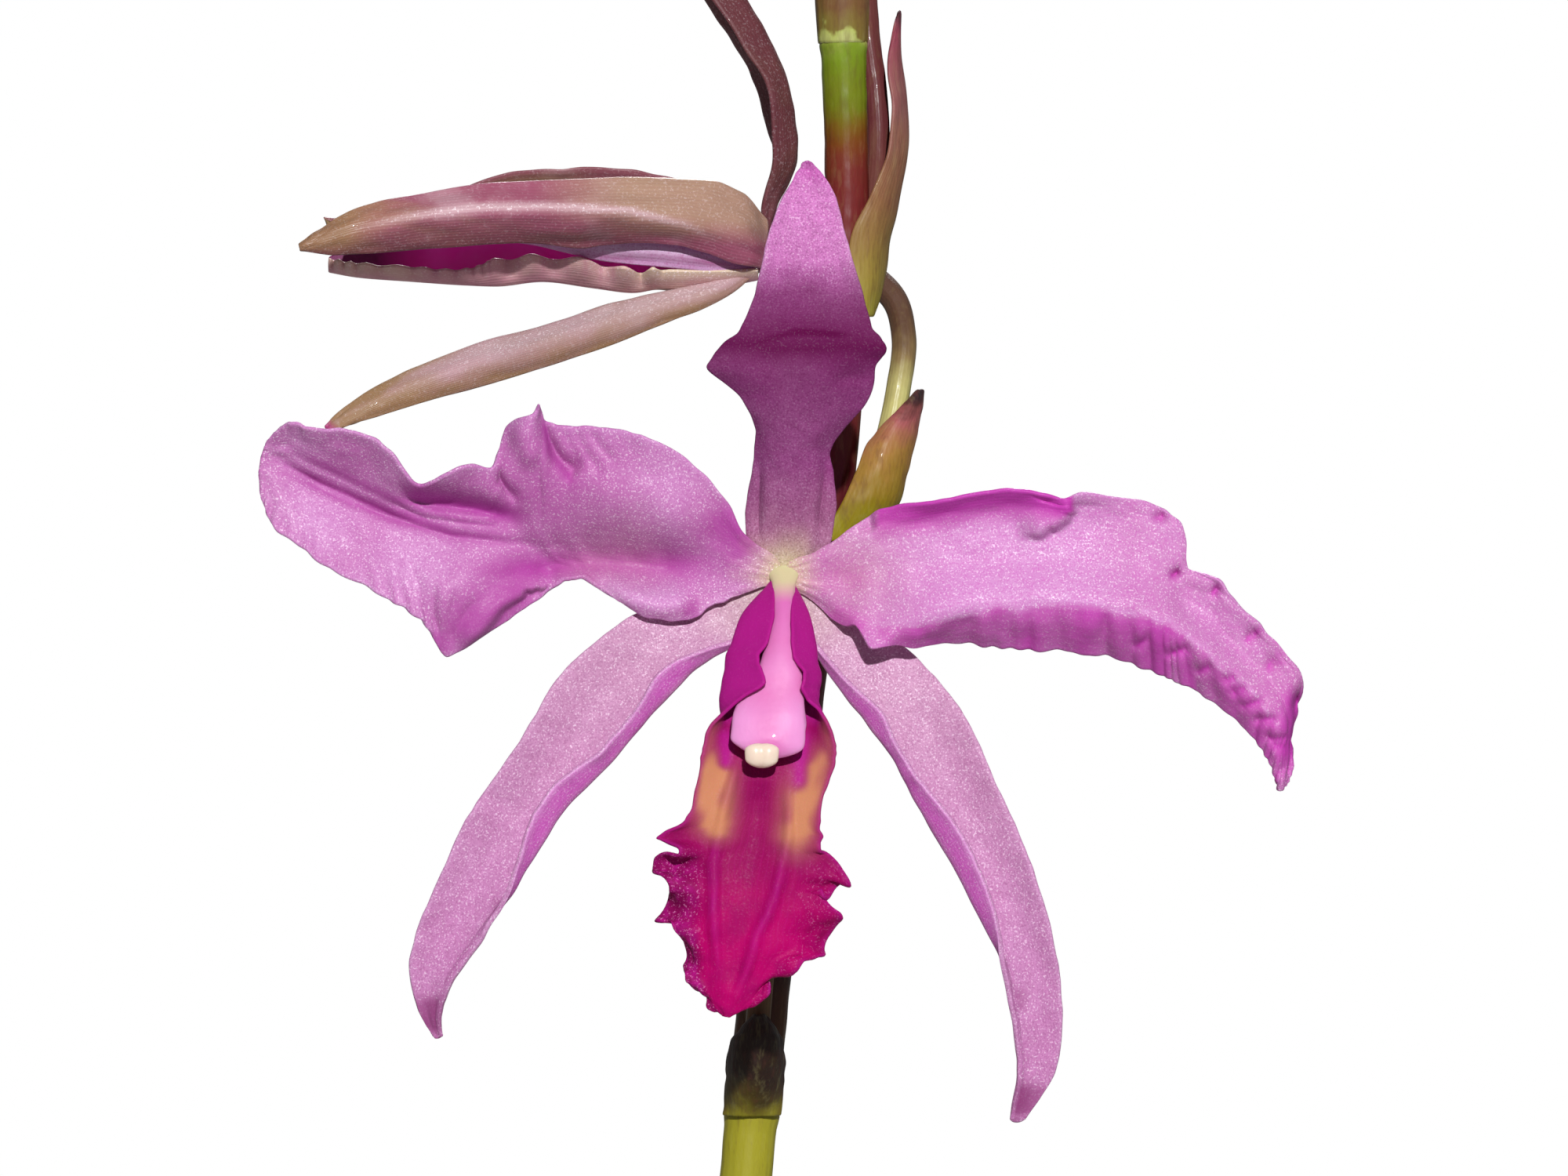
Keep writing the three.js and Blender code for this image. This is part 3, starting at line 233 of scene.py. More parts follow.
def bell(away, width):
    return np.exp(-(away / width) ** 2)


def wave(turns):
    return np.sin(2 * np.pi * turns)


def hump(share):
    return np.sin(np.pi * share)


def wander(where, cells, seed):
    """Smooth noise between -1 and 1 along a line."""
    draw = np.random.default_rng(seed).uniform(-1, 1, cells + 2)
    spot = np.clip(where, 0, 1) * cells
    cell = np.minimum(spot.astype(int), cells - 1)
    ease = spot - cell
    ease = ease * ease * (3 - 2 * ease)
    return draw[cell] * (1 - ease) + draw[cell + 1] * ease


def rumple(along, across, long_cells, wide_cells, seed):
    """Smooth noise between -1 and 1 over a grid of shares."""
    draw = np.random.default_rng(seed).uniform(-1, 1, (long_cells + 2, wide_cells + 2))
    spot_a, spot_b = np.broadcast_arrays(along * long_cells, across * wide_cells)
    cell_a = np.clip(spot_a.astype(int), 0, long_cells - 1)
    cell_b = np.clip(spot_b.astype(int), 0, wide_cells - 1)
    ease_a, ease_b = spot_a - cell_a, spot_b - cell_b
    ease_a = ease_a * ease_a * (3 - 2 * ease_a)
    ease_b = ease_b * ease_b * (3 - 2 * ease_b)
    near = draw[cell_a, cell_b] * (1 - ease_b) + draw[cell_a, cell_b + 1] * ease_b
    far = draw[cell_a + 1, cell_b] * (1 - ease_b) + draw[cell_a + 1, cell_b + 1] * ease_b
    return near * (1 - ease_a) + far * ease_a


def near_line(spots, line):
    """How far each spot is from a drawn line of [right, up] points, and where along the line."""
    flat = spots[..., FLAT]
    line = points(line)
    best = np.full(flat.shape[:-1], 1e9)
    share = np.zeros(flat.shape[:-1])
    for k in range(len(line) - 1):
        run = line[k + 1] - line[k]
        part = np.clip(((flat - line[k]) @ run) / (run @ run), 0, 1)
        away = np.linalg.norm(flat - line[k] - part[..., None] * run, axis=-1)
        closer = away < best
        best = np.where(closer, away, best)
        share = np.where(closer, (k + part) / (len(line) - 1), share)
    return best, share


def ends(share, taper):
    """Thins a line toward its two ends."""
    return np.clip(np.minimum(share, 1 - share) / taper, 0, 1) if taper else 1


def stroke(spots, line, width, taper=0.25):
    """A soft mark from 0 to 1 round a drawn line."""
    away, share = near_line(spots, line)
    return ends(share, taper) * bell(away, width)


def crease(spots, line, depth, width, taper=0.25):
    """Pushes spots back by depth along a drawn line, or forward where depth is negative."""
    spots[..., BACK] += depth * stroke(spots, line, width, taper)


def cliff(spots, line, depth, reach, taper=0.25):
    """Brings the left side of a drawn line forward, sharply at the line and fading away from it."""
    away, share = near_line(spots, line)
    line = points(line)
    cell = np.minimum((share * (len(line) - 1)).astype(int), len(line) - 2)
    run = line[cell + 1] - line[cell]
    offset = spots[..., FLAT] - line[cell]
    side = run[..., 0] * offset[..., 1] - run[..., 1] * offset[..., 0]
    spots[..., BACK] -= depth * ends(share, taper) * bell(away, reach) * (side > 0)


def dab(spots, spot, width):
    """A soft round mark from 0 to 1."""
    return bell(np.linalg.norm(spots[..., FLAT] - np.array(spot, float), axis=-1), width)


def facing(spots):
    """The skin's own direction at each spot."""
    return unit(np.cross(np.gradient(spots, axis=1), np.gradient(spots, axis=0)))


def puff(spots, amount):
    """Moves spots along the skin's own direction."""
    spots += facing(spots) * np.asarray(amount)[..., None]


# %% [markdown]
# A blade starts as a grid, whose corners are moved onto the skin. Solidify gives it its thickness,
# and one level of subdivision rounds its rim. The grid's own UV map runs across and along the blade,
# so that veins can follow it, and an attribute carries marks for the colours.


# %% Making a blade
RIM_FADE = 2.5  # how quickly the pull of a measured rim fades inward
FRILL_WAVES = 4  # slow waves along each edge, from foot to tip
RAGGED_SEEDS = (11, 12)


def fit_rims(spots, b, rims, main):
    """Moves a blade's two edges onto measured outlines, and its inside along with them."""
    def spread(path):
        run = np.concatenate([[0], np.cumsum(np.abs(np.diff(path, axis=0)) @ np.array(main))])
        return run / run[-1]

    for side, outline in zip((0, -1), rims):
        if outline is None:
            continue
        edge = spots[:, side][:, FLAT]
        where = spread(edge)
        aim = np.stack([np.interp(where, spread(outline), outline[:, k]) for k in (0, 1)], -1)
        pull = ((1 - b) if side == 0 else b) ** RIM_FADE
        spots[..., FLAT] += (aim - edge)[:, None] * pull[..., None]


def open_mesh():
    """Edit mode, with the whole mesh selected."""
    bpy.ops.object.mode_set(mode="EDIT")
    bpy.ops.mesh.select_all(action="SELECT")


def close_mesh():
    bpy.ops.object.mode_set(mode="OBJECT")


def close_outward():
    """Turns every face outward and leaves edit mode."""
    bpy.ops.mesh.select_all(action="SELECT")
    bpy.ops.mesh.normals_make_consistent(inside=False)
    close_mesh()


def select_only(piece):
    bpy.ops.object.select_all(action="DESELECT")
    piece.select_set(True)
    bpy.context.view_layer.objects.active = piece


def thicken(piece, thickness, outside=0):
    """Gives the skin its thickness; outside is the number of the finish that its back takes."""
    wall = piece.modifiers.new("wall", "SOLIDIFY")
    wall.thickness = thickness * MM
    wall.offset = 0
    wall.material_offset = outside
    bpy.ops.object.modifier_apply(modifier="wall")


def soften(piece):
    soft = piece.modifiers.new("soft", "SUBSURF")
    soft.levels = soft.render_levels = 1
    bpy.ops.object.modifier_apply(modifier="soft")


def settle(piece, slot, *nodes):
    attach(piece, "root")
    if nodes:
        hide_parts(*nodes)
    corners = [corner for v in piece.bound_box for corner in v]
    print(f"{piece.name}: {len(piece.data.polygons)} faces, from z {min(corners[2::3]):.3f}"
          f" to {max(corners[2::3]):.3f} m")


def grid_piece(name, spots, masks=None):
    """A grid primitive whose corners are moved to spots[along, across] in millimetres."""
    long_cells, wide_cells = spots.shape[0] - 1, spots.shape[1] - 1
    bpy.ops.mesh.primitive_grid_add(x_subdivisions=wide_cells, y_subdivisions=long_cells, size=2)
    piece = bpy.context.object
    piece.name = name
    flat = np.zeros(len(piece.data.vertices) * 3)
    piece.data.vertices.foreach_get("co", flat)
    flat = flat.reshape(-1, 3)
    column = np.rint((flat[:, 0] + 1) / 2 * wide_cells).astype(int)
    row = np.rint((flat[:, 1] + 1) / 2 * long_cells).astype(int)
    piece.data.vertices.foreach_set("co", (spots[row, column] * MM).ravel())
    if masks is not None:
        marks = piece.data.attributes.new("marks", "FLOAT_COLOR", "POINT")
        shown = np.ones((len(flat), 4))
        shown[:, :3] = np.clip(masks[row, column], 0, 1)
        marks.data.foreach_set("color", shown.ravel())
    piece.data.update()
    return piece


def blade(name, place, table, cells, thickness, frill=0, relief=None, marks=None, inside=None,
          outside=None, origin=BLOOM_CENTRE, rims=(None, None), main=(1, 0.25), ragged=0.0):
    """A thin skin through a table of rows; place holds a slot name, which is not used, and the solids that it
    replaces.
    """
    along, across = np.linspace(0, 1, cells[0] + 1), np.linspace(0, 1, cells[1] + 1)
    spots = skin(table, along, across)
    a, b = along[:, None], across[None, :]
    fit_rims(spots, b, rims, main)
    edge = np.abs(2 * b - 1)
    quarter_turn = np.where(b < 0.5, 0, np.pi / 2)
    spots[..., BACK] += frill * hump(a) * edge ** 3 * np.sin(2 * np.pi * FRILL_WAVES * a + quarter_turn)
    if relief:
        relief(spots, a, b)
    if ragged:
        outward = unit(np.gradient(spots, axis=1) * np.sign(b - 0.5)[..., None])
        torn = np.where(b < 0.5, *(wander(a, cells[0] * 2 // 3, seed) for seed in RAGGED_SEEDS))
        spots += outward * (ragged * torn * edge ** 10)[..., None]
    masks = marks(spots, a, b) if marks else None
    piece = grid_piece(name, spots + origin, masks)
    if facing(spots)[..., BACK].mean() > 0:
        open_mesh()
        bpy.ops.mesh.flip_normals()
        close_mesh()
    piece.data.materials.append(inside)
    if outside:
        piece.data.materials.append(outside)
    thicken(piece, thickness, 1 if outside else 0)
    soften(piece)
    bpy.ops.object.shade_smooth()
    settle(piece, *place)


# %% [markdown]
# Stems, bulbs, the column and the bud are tubes bent along a smooth line. A grid is rolled round
# the line, its seam is merged and its two ends are closed.


# %% Making a stalk
MERGE_DISTANCE = 1e-7  # metres


def ring_round(line, girth, turn, side):
    """Offsets [along, turn, xyz] of oval sections from a line, the first of them toward side."""
    tangent = unit(np.gradient(line, axis=0))
    side = np.array(side, float)
    outward = unit(side - tangent * (tangent @ side)[:, None])
    sideways = np.cross(outward, tangent)
    angle = 2 * np.pi * turn[None, :, None]
    return (np.cos(angle) * outward[:, None] * girth[:, :1, None]
            + np.sin(angle) * sideways[:, None] * girth[:, 1:, None])


def close_seam(with_ends):
    open_mesh()
    bpy.ops.mesh.remove_doubles(threshold=MERGE_DISTANCE)
    if with_ends:
        bpy.ops.mesh.select_all(action="SELECT")
        bpy.ops.mesh.fill_holes(sides=0)
    close_outward()


def evenly(radii):
    """Round sections: the same half width on both axes."""
    return [[radius, radius] for radius in radii]


def stalk(name, place, spine, widths, cells, look, side=(1, 0, 0), relief=None, marks=None,
          origin=(0, 0, 0), soft=False, round_ends=(0.0, 0.0)):
    """A tube along a line; widths are its half widths toward side and across it."""
    along, turn = np.linspace(0, 1, cells[0] + 1), np.linspace(0, 1, cells[1] + 1)
    a, b = along[:, None], turn[None, :]
    line = follow(spine, along)
    girth = follow(points(widths), along)
    for end, reach in ((along, round_ends[0]), (1 - along, round_ends[1])):
        if reach:
            inside = np.clip(end / reach, 0.02, 1)
            girth = girth * np.sqrt(1 - (1 - inside) ** 2)[:, None]
    swell = np.ones((cells[0] + 1, cells[1] + 1))
    if relief:
        swell = 1 + relief(a, b)
        swell[:, -1] = swell[:, 0]
    spots = line[:, None] + ring_round(line, girth, turn, side) * swell[..., None]
    masks = marks(spots, a, b) if marks else None
    piece = grid_piece(name, spots + np.array(origin, float), masks)
    close_seam(with_ends=True)
    piece.data.materials.append(look)
    if soft:
        soften(piece)
    bpy.ops.object.shade_smooth()
    if place:
        settle(piece, *place)
    return piece


# %% [markdown]
# Finishes are built from nodes. A small helper class keeps each one short: it adds a node, links
# its inputs, and gives back the socket that the next node reads. Its paint is the colour so far, and
# each coat goes over it by a share.


# %% Finish helper
class Finish:
    def __init__(self, name, rough, shine, inner=(0, (1, 0.2, 0.1), 0.05), coat=0):
        """The inner light is its share, its reach in red, green and blue, and its scale in metres."""
        self.material = bpy.data.materials.new(name)
        self.material.use_nodes = True
        self.tree = self.material.node_tree
        self.shader = self.tree.nodes["Principled BSDF"]
        for key, value in zip(("Roughness", "Specular IOR Level", "Coat Weight", "Subsurface Weight",
                               "Subsurface Radius", "Subsurface Scale"), (rough, shine, coat, *inner)):
            self.shader.inputs[key].default_value = value
        where = self.tree.nodes.new("ShaderNodeTexCoord")
        self.object, self.uv = where.outputs["Object"], where.outputs["UV"]

    def node(self, kind, inputs=(), **settings):
        made = self.tree.nodes.new("ShaderNode" + kind)
        for key, value in settings.items():
            setattr(made, key, value)
        for key, value in dict(inputs).items():
            if isinstance(value, bpy.types.NodeSocket):
                self.tree.links.new(value, made.inputs[key])
            else:
                made.inputs[key].default_value = value
        return made

    def noise(self, scale, detail=3, stretch=None, roughness=0.5):
        spot = self.object
        if stretch:
            spot = self.node("Mapping", {"Vector": spot, "Scale": stretch}).outputs[0]
        return self.node("TexNoise", {"Vector": spot, "Scale": scale, "Detail": detail,
                                      "Roughness": roughness}).outputs["Fac"]

    def waves(self, scale, distortion, detail):
        return self.node("TexWave", {"Vector": self.object, "Scale": scale, "Distortion": distortion,
                                     "Detail": detail}, bands_direction="Z").outputs["Fac"]

    def math(self, operation, a, b=0.0):
        return self.node("Math", {0: a, 1: b}, operation=operation).outputs[0]

    def add(self, a, b):
        return self.math("ADD", a, b)

    def minus(self, a, b):
        return self.math("SUBTRACT", a, b)

    def times(self, a, b):
        return self.math("MULTIPLY", a, b)

    def part(self, vector, axis):
        return self.node("SeparateXYZ", {0: vector}).outputs[axis]

    def height(self):
        """Height in metres above the open bloom's centre."""
        return self.minus(self.part(self.object, UP), float(BLOOM_CENTRE[UP] * MM))

    def lines(self, count, drift=None):
        """Even lines along a blade or stalk: 0 on a line, 0.5 half way to the next."""
        lane = self.times(self.part(self.uv, 0), float(count))
        return self.math("PINGPONG", self.add(lane, drift) if drift else lane, 0.5)

    def ramp(self, value, stops):
        made = self.node("ValToRGB", {0: value})
        band = made.color_ramp.elements
        while len(band) < len(stops):
            band.new(0.5)
        for element, (place, shade) in zip(band, stops):
            element.position = place
            element.color = (*shade, 1)
        self.paint = made.outputs[0]

    def step(self, value, low, high, out_low=0.0, out_high=1.0):
        return self.node("MapRange", {"Value": value, "From Min": low, "From Max": high,
                                      "To Min": out_low, "To Max": out_high},
                         interpolation_type="SMOOTHSTEP").outputs[0]

    def start(self, share, one, two):
        """Mixes the first two shades of the paint."""
        self.paint = (*one, 1)
        self.over(share, two)

    def over(self, share, shade):
        self.paint = self.node("Mix", {0: share, 6: self.paint, 7: (*shade, 1)}, data_type="RGBA",
                               blend_type="MIX").outputs[2]

    def marks(self):
        seen = self.node("Attribute", attribute_name="marks")
        return self.node("SeparateColor", {0: seen.outputs["Color"]}).outputs[0:3]

    def bump(self, height, strength, distance):
        made = self.node("Bump", {"Height": height, "Strength": strength, "Distance": distance})
        self.tree.links.new(made.outputs[0], self.shader.inputs["Normal"])

    def rough(self, socket):
        self.tree.links.new(socket, self.shader.inputs["Roughness"])

    def done(self):
        """Puts the paint on and gives back the finished material."""
        self.tree.links.new(self.paint, self.shader.inputs["Base Color"])
        return self.material


# %% [markdown]
# Petals and sepals share one kind of finish: a base pink, a deeper mauve where the mark attribute's
# red is high, a pale lilac for its green and a cream for its blue, darker veins that run along the
# blade, and near-white specks. The specks are painted glints that stand for the sparkle of the
# petal's round cells. In many places the deep and pale marks are painted shade and painted highlight.


# %% Tepal finishes
def tepal_finish(name, base, deep, pale, cream, veins=26, vein_share=0.08, sparkle=0.5,
                 roughness=0.42, specular=0.14):
    look = Finish(name, roughness, specular, (0.08, (1.0, 0.35, 0.7), 0.001))
    deep_mark, pale_mark, cream_mark = look.marks()
    cloud = look.noise(110, 3)
    look.start(look.step(cloud, 0.35, 0.7, 0, 0.25), base, pale)
    look.over(pale_mark, pale)
    look.over(deep_mark, deep)
    look.over(cream_mark, cream)
    ridge = look.lines(veins, look.times(look.noise(60, 2), 1.6))
    look.over(look.step(ridge, 0.0, 0.16, vein_share, 0.0), deep)
    grain = look.noise(4300, 1.5, roughness=0.6)
    clump = look.noise(620, 3, roughness=0.7)
    look.over(look.step(grain, 0.34, 0.48, 0.35, 0.0), deep)
    look.over(look.step(clump, 0.38, 0.62, 0.0, 0.14), deep)
    # painted glint: near-white specks that stand for the sparkle highlights of the petal's cells, fewer where
    # the deep mark is high
    painted_glint = look.times(look.step(grain, 0.58, 0.68, 0.0, sparkle), look.step(deep_mark, 0.0, 0.9, 1.0, 0.1))
    look.over(painted_glint, (0.95, 0.78, 0.92))
    look.rough(look.step(grain, 0.35, 0.7, roughness + 0.1, roughness - 0.14))
    look.bump(look.add(look.times(grain, 0.6), look.times(ridge, 0.4)), 0.4, 0.00015)
    return look.done()


petal_look = tepal_finish("petal_pink", (0.50, 0.18, 0.42), (0.38, 0.045, 0.30),
                          (0.60, 0.29, 0.56), (0.60, 0.52, 0.27))
bright_petal_look = tepal_finish("bright_petal_pink", (0.53, 0.19, 0.44), (0.50, 0.042, 0.39),
                                 (0.60, 0.28, 0.56), (0.60, 0.50, 0.28))
sepal_look = tepal_finish("sepal_pink", (0.60, 0.15, 0.49), (0.10, 0.0035, 0.052),
                          (0.66, 0.34, 0.60), (0.60, 0.52, 0.30), vein_share=0.05, sparkle=0.36,
                          roughness=0.6, specular=0.02)
lateral_look = tepal_finish("lateral_sepal_pink", (0.52, 0.19, 0.43), (0.26, 0.05, 0.18),
                            (0.58, 0.29, 0.52), (0.60, 0.50, 0.42), vein_share=0.06)
tepal_back = tepal_finish("tepal_back", (0.60, 0.12, 0.50), (0.42, 0.05, 0.32),
                          (0.68, 0.36, 0.64), (0.56, 0.44, 0.30), vein_share=0.15, sparkle=0.3)

# %% [markdown]
# ## The open bloom
# The two petals are the widest pieces. The left one is crumpled along both edges, with a lobe that
# bulges forward near its base, a horn on each edge and a rolled tip with darker streaks along its
# creases. The streaks, the recess under the notch, the horns' shaded sides and the valley above the
# lobe are painted darker as painted shade, and the lobe is painted pale as painted light.

# %% Left petal
LEFT_PETAL = rows("""
    -0.2 1.9 0.9, -0.4 0.9 0.6, -0.5 0.1 0.5, -0.4 -0.6 0.6, -0.4 -1.2 0.6
    -5.6 7.1 -0.6, -6.6 4.6 0.3, -7.5 2.2 0.6, -6.8 -0.6 0.8, -6.2 -2.3 0.8
    -9.9 12.9 -2, -11.6 8.6 -0.6, -13 3 1, -11.6 -2 0.6, -10.4 -4.7 0.8
    -16.8 17.6 -3.6, -18 11 -1.4, -19 3.6 1.4, -17.2 -2 0.2, -16 -5.6 0.6
    -22.5 18.9 -3, -23.6 12 -1.2, -24.5 3.8 2, -22.6 -0.6 0.4, -21.4 -3.4 0.6
    -28.2 19 -2.6, -28.4 12 -1.4, -28.4 4.1 2.4, -26.2 1.2 1.4, -24.8 -0.5 0.6
    -31.1 21.2 -5.2, -31.2 13 -1.8, -31 4.3 2.6, -29.2 1.4 2.4, -28 -0.6 0.8
    -35.2 18.6 -2, -35.2 12 -1.4, -34.4 4.7 2.6, -32.8 0.4 2, -31.4 -3 3.6
    -37 14.2 -2.4, -37.4 9.8 -1, -37.6 5 2.2, -36.6 -0.6 1.2, -35.4 -5.8 3.6
    -41.6 13.7 -4.6, -42.2 9.8 -0.6, -43 5.6 2.2, -43.2 -2.6 0.2, -43.1 -10.3 3.4
    -46.4 11.2 -3, -47.4 9.2 0.6, -48.5 7.2 3, -47.6 0.6 1.4, -46.4 -5.2 0.6
    -50.9 16.4 -4.4, -52.2 12.6 0, -53.5 9 3, -53 3.4 1, -52 -1.9 -1.4
    -56.5 18.8 -4.2, -57.6 15.2 -0.4, -58.5 11.5 2.6, -59.2 6.8 1, -59.5 2.2 -0.8
    -62.8 19.5 -2.4, -63 16.8 0, -63.2 14 1.6, -64.4 10 1, -65.3 6.2 0.6
    -66.1 18 0.4, -66.4 16.8 0.6, -66.8 15.4 0.8, -67 13.8 1, -67.1 12.4 1.2
""")
LEFT_PETAL_TOP = points("""
    -0.2 1.9, -3.4 4.2, -5.2 5.4, -6.4 8.1, -7.6 10, -10 13, -12.4 15, -14.8 16.6, -18.4 18.1, -20.8 18.8,
    -24 19.1, -28 19.3, -29.4 19.5, -30.6 20, -31.05 22.2, -31.7 20.9, -34 20.2, -35.2 19.3, -36 17.5,
    -36.4 16, -36.7 14.4, -37.3 13.7, -38.8 14.3, -41.2 14, -43.6 12.8, -44.8 12, -46 11.5, -47.2 11.8,
    -48.4 13.7, -49.6 15.5, -52 17.7, -54.4 18.6, -58 18.8, -59.2 18.7, -61.6 19.5, -62.8 19.7, -64.2 19.1,
    -65.4 18, -66.1 17
""")
LEFT_PETAL_LOW = points("""
    -0.4 -1.2, -2.4 -1.3, -5.6 -2.4, -8 -3.4, -9.8 -4.1, -10.4 -5, -12 -5.6, -14.8 -5.7, -17.6 -5.1,
    -19.6 -4.1, -22 -2.6, -24.4 -1, -25.6 -0.2, -28 -0.4, -30.4 -2.3, -32.8 -3.8, -36.4 -6.5, -38.8 -7.8,
    -41.2 -9.5, -43.2 -10.4, -44.2 -9.2, -44.9 -7.6, -46 -5.9, -48.4 -4.1, -50.8 -2.8, -53.2 -1.3, -55.6 0,
    -58 0.9, -60.4 2.7, -62.8 4.4, -64.8 5.6, -66 7.7, -66.7 10.1, -67.1 12.4
""")


def left_petal_relief(spots, a, b):
    crease(spots, "-40 -2, -31 0.8, -24 1.5, -15 1.2, -7 1.4", 3.2, 3.2)
    crease(spots, "-23 -2, -16 -3.6, -11 -3.2", -1.7, 1.9)
    crease(spots, "-28 10, -18 9, -9 6", -2.0, 4.5)
    for line, depth, width in (
            ("-66 15.6, -60 12.2, -52 8.6, -42 5, -28 3.8", 1.0, 0.7),
            ("-65.4 13.8, -58 10, -50 7, -38 3.6", 0.6, 0.4),
            ("-62 15.4, -54 11.4, -46 7.6, -33 5.8", 0.7, 0.45),
            ("-60 14.6, -52 10.4, -44 7.8, -34 7", -0.5, 0.5),
            ("-50 10.4, -46 9.6, -40 9, -32 7", 2.6, 1.5),
            ("-33.6 20, -33 16.6, -31.8 14", -0.9, 1.2),
            ("-28.6 19.2, -27 16.4, -25.4 13.6", 0.8, 0.35),
            ("-27 19.2, -25 15.6, -22.8 12.4", 0.8, 0.35),
            ("-25.2 19, -23.4 16.6, -21.4 14.4", 0.7, 0.35),
            ("-36.9 13.6, -35.4 11, -33.6 9.6", 1.8, 0.6),
            ("-41.8 -1.6, -42.6 -5, -43 -9.6", 0.8, 0.5),
            ("-39.4 -2.6, -41 -5.4, -42.2 -8.6", 0.7, 0.45),
            ("-44.4 -0.6, -44.6 -4.2, -44 -8", 0.7, 0.45)):
        crease(spots, line, depth, width)
    crease(spots, "-31.1 22, -30.2 17.6, -28.6 15, -26.2 13", 2.2, 1.0, 0.05)
    cliff(spots, "-41.4 -9.2, -38.4 -7, -36 -4.2, -33 -2, -29.6 -1.2", 1.8, 2.2, 0.15)
    upper = fall(b, 0.2, 0.2)
    lower = rise(b, 0.74, 0.26)
    pleat = np.abs(hump(30 * a + 1.6 * wander(a, 14, 3))) - 0.6
    puff(spots, 0.95 * lower ** 1.4 * pleat * rise(a, 0.62, 0.08))
    puff(spots, 0.55 * upper ** 1.2 * (np.abs(hump(46 * a + wander(a, 12, 5))) - 0.6)
         * rise(a, 0.82, 0.06))
    puff(spots, 0.16 * rumple(a, b, 34, 12, 8))


# The deep mark is partly pigment and partly painted shade, in folds and on faces turned from the lamp; the
# pale mark is partly pale pigment and partly painted highlight.
DEEP, PALE, THIRD = 0, 1, 2  # the three marks: deep shade, pale shade, cream or another third one


def add_mark(masks, kind, amount):
    masks[..., kind] = np.maximum(masks[..., kind], amount)


def three_marks(spots, deep=0, pale=0, third=0):
    masks = np.zeros(spots.shape)
    masks[..., DEEP], masks[..., PALE], masks[..., THIRD] = deep, pale, third
    return masks


def tepal_marks(spots, a, b, deep, cream_reach, edge_pale):
    edge = np.abs(2 * b - 1)
    masks = np.zeros(spots.shape)
    masks[..., PALE] = edge_pale * edge ** 9 * hump(np.clip(a, 0.02, 0.98)) ** 0.3
    for line, width, share in deep:
        add_mark(masks, DEEP, share * stroke(spots, line, width))
    masks[..., THIRD] = dab(spots, [0, 0.3], cream_reach)
    masks += 0.08 * rumple(a, b, 16, 6, 21)[..., None] * (masks > 0.02)
    return masks


def left_petal_marks(spots, a, b):
    # The first nine deep strokes, along the tip's creases, under the notch, on the horns and in the valley
    # above the lobe, are painted shade.
    masks = tepal_marks(spots, a, b, [
        ("-66 16, -60 12.6, -52 9, -42 5.4, -26 3.8", 0.9, 0.85),
        ("-65.6 14, -58 10.2, -50 7, -38 3.8", 0.5, 0.75),
        ("-65 17.4, -58 14, -50 10.2, -40 6.8, -30 5", 0.7, 0.7),
        ("-50 10.8, -46 10.2, -38 8.6, -29 6.8", 1.8, 1.0),
        ("-37 13.4, -34 10.6, -29 9", 1.0, 0.6),
        ("-31.2 21.8, -30 15.6, -25 9.4", 0.9, 0.9),
        ("-44 1, -36 0.4, -28 1.6, -20 1.8, -12 1.6, -6 2.6", 2.2, 0.9),
        ("-44 -10.4, -40 -6, -35.6 -2.8, -29 -0.4", 4.2, 0.75),
        ("-43.4 -10.6, -44.6 -6.4", 2.4, 0.7),
        ("-13.4 -4.4, -10.6 -4.2", 1.3, 0.6),
        ("-10 9.8, -6 5, -3.4 2.2", 3.6, 0.9),
    ], cream_reach=3.6, edge_pale=0.9)
    for kind, spot, width, share in (
            (DEEP, [-29, 13], 12, 0.38), (DEEP, [-38, 9], 7, 0.36), (DEEP, [-56, 14.5], 4, 0.3),
            (PALE, [-47, 2], 7.5, 0.75), (PALE, [-59, 7], 6, 0.8), (PALE, [-15, 12], 5, 0.5),
            (PALE, [-61, 16], 4, 0.5)):
        add_mark(masks, kind, share * dab(spots, spot, width))
    masks[..., DEEP] *= 1 - 0.5 * dab(spots, [-15, 10], 6)
    # painted light: a pale stroke on the bulging lobe, which faces the lamp
    add_mark(masks, PALE, 0.95 * stroke(spots, "-23 -1.6, -18 -3.2, -14 -3", 1.7, 0))
    add_mark(masks, THIRD, 0.12 * stroke(spots, "-30 0, -14 5", 5, 0.3))
    return masks


blade("petal_left_skin", ("petal", "petal_left"), LEFT_PETAL, (132, 40), 0.55, frill=0.4,
      relief=left_petal_relief, marks=left_petal_marks, inside=petal_look, outside=tepal_back,
      ragged=0.16, rims=(LEFT_PETAL_TOP, LEFT_PETAL_LOW))
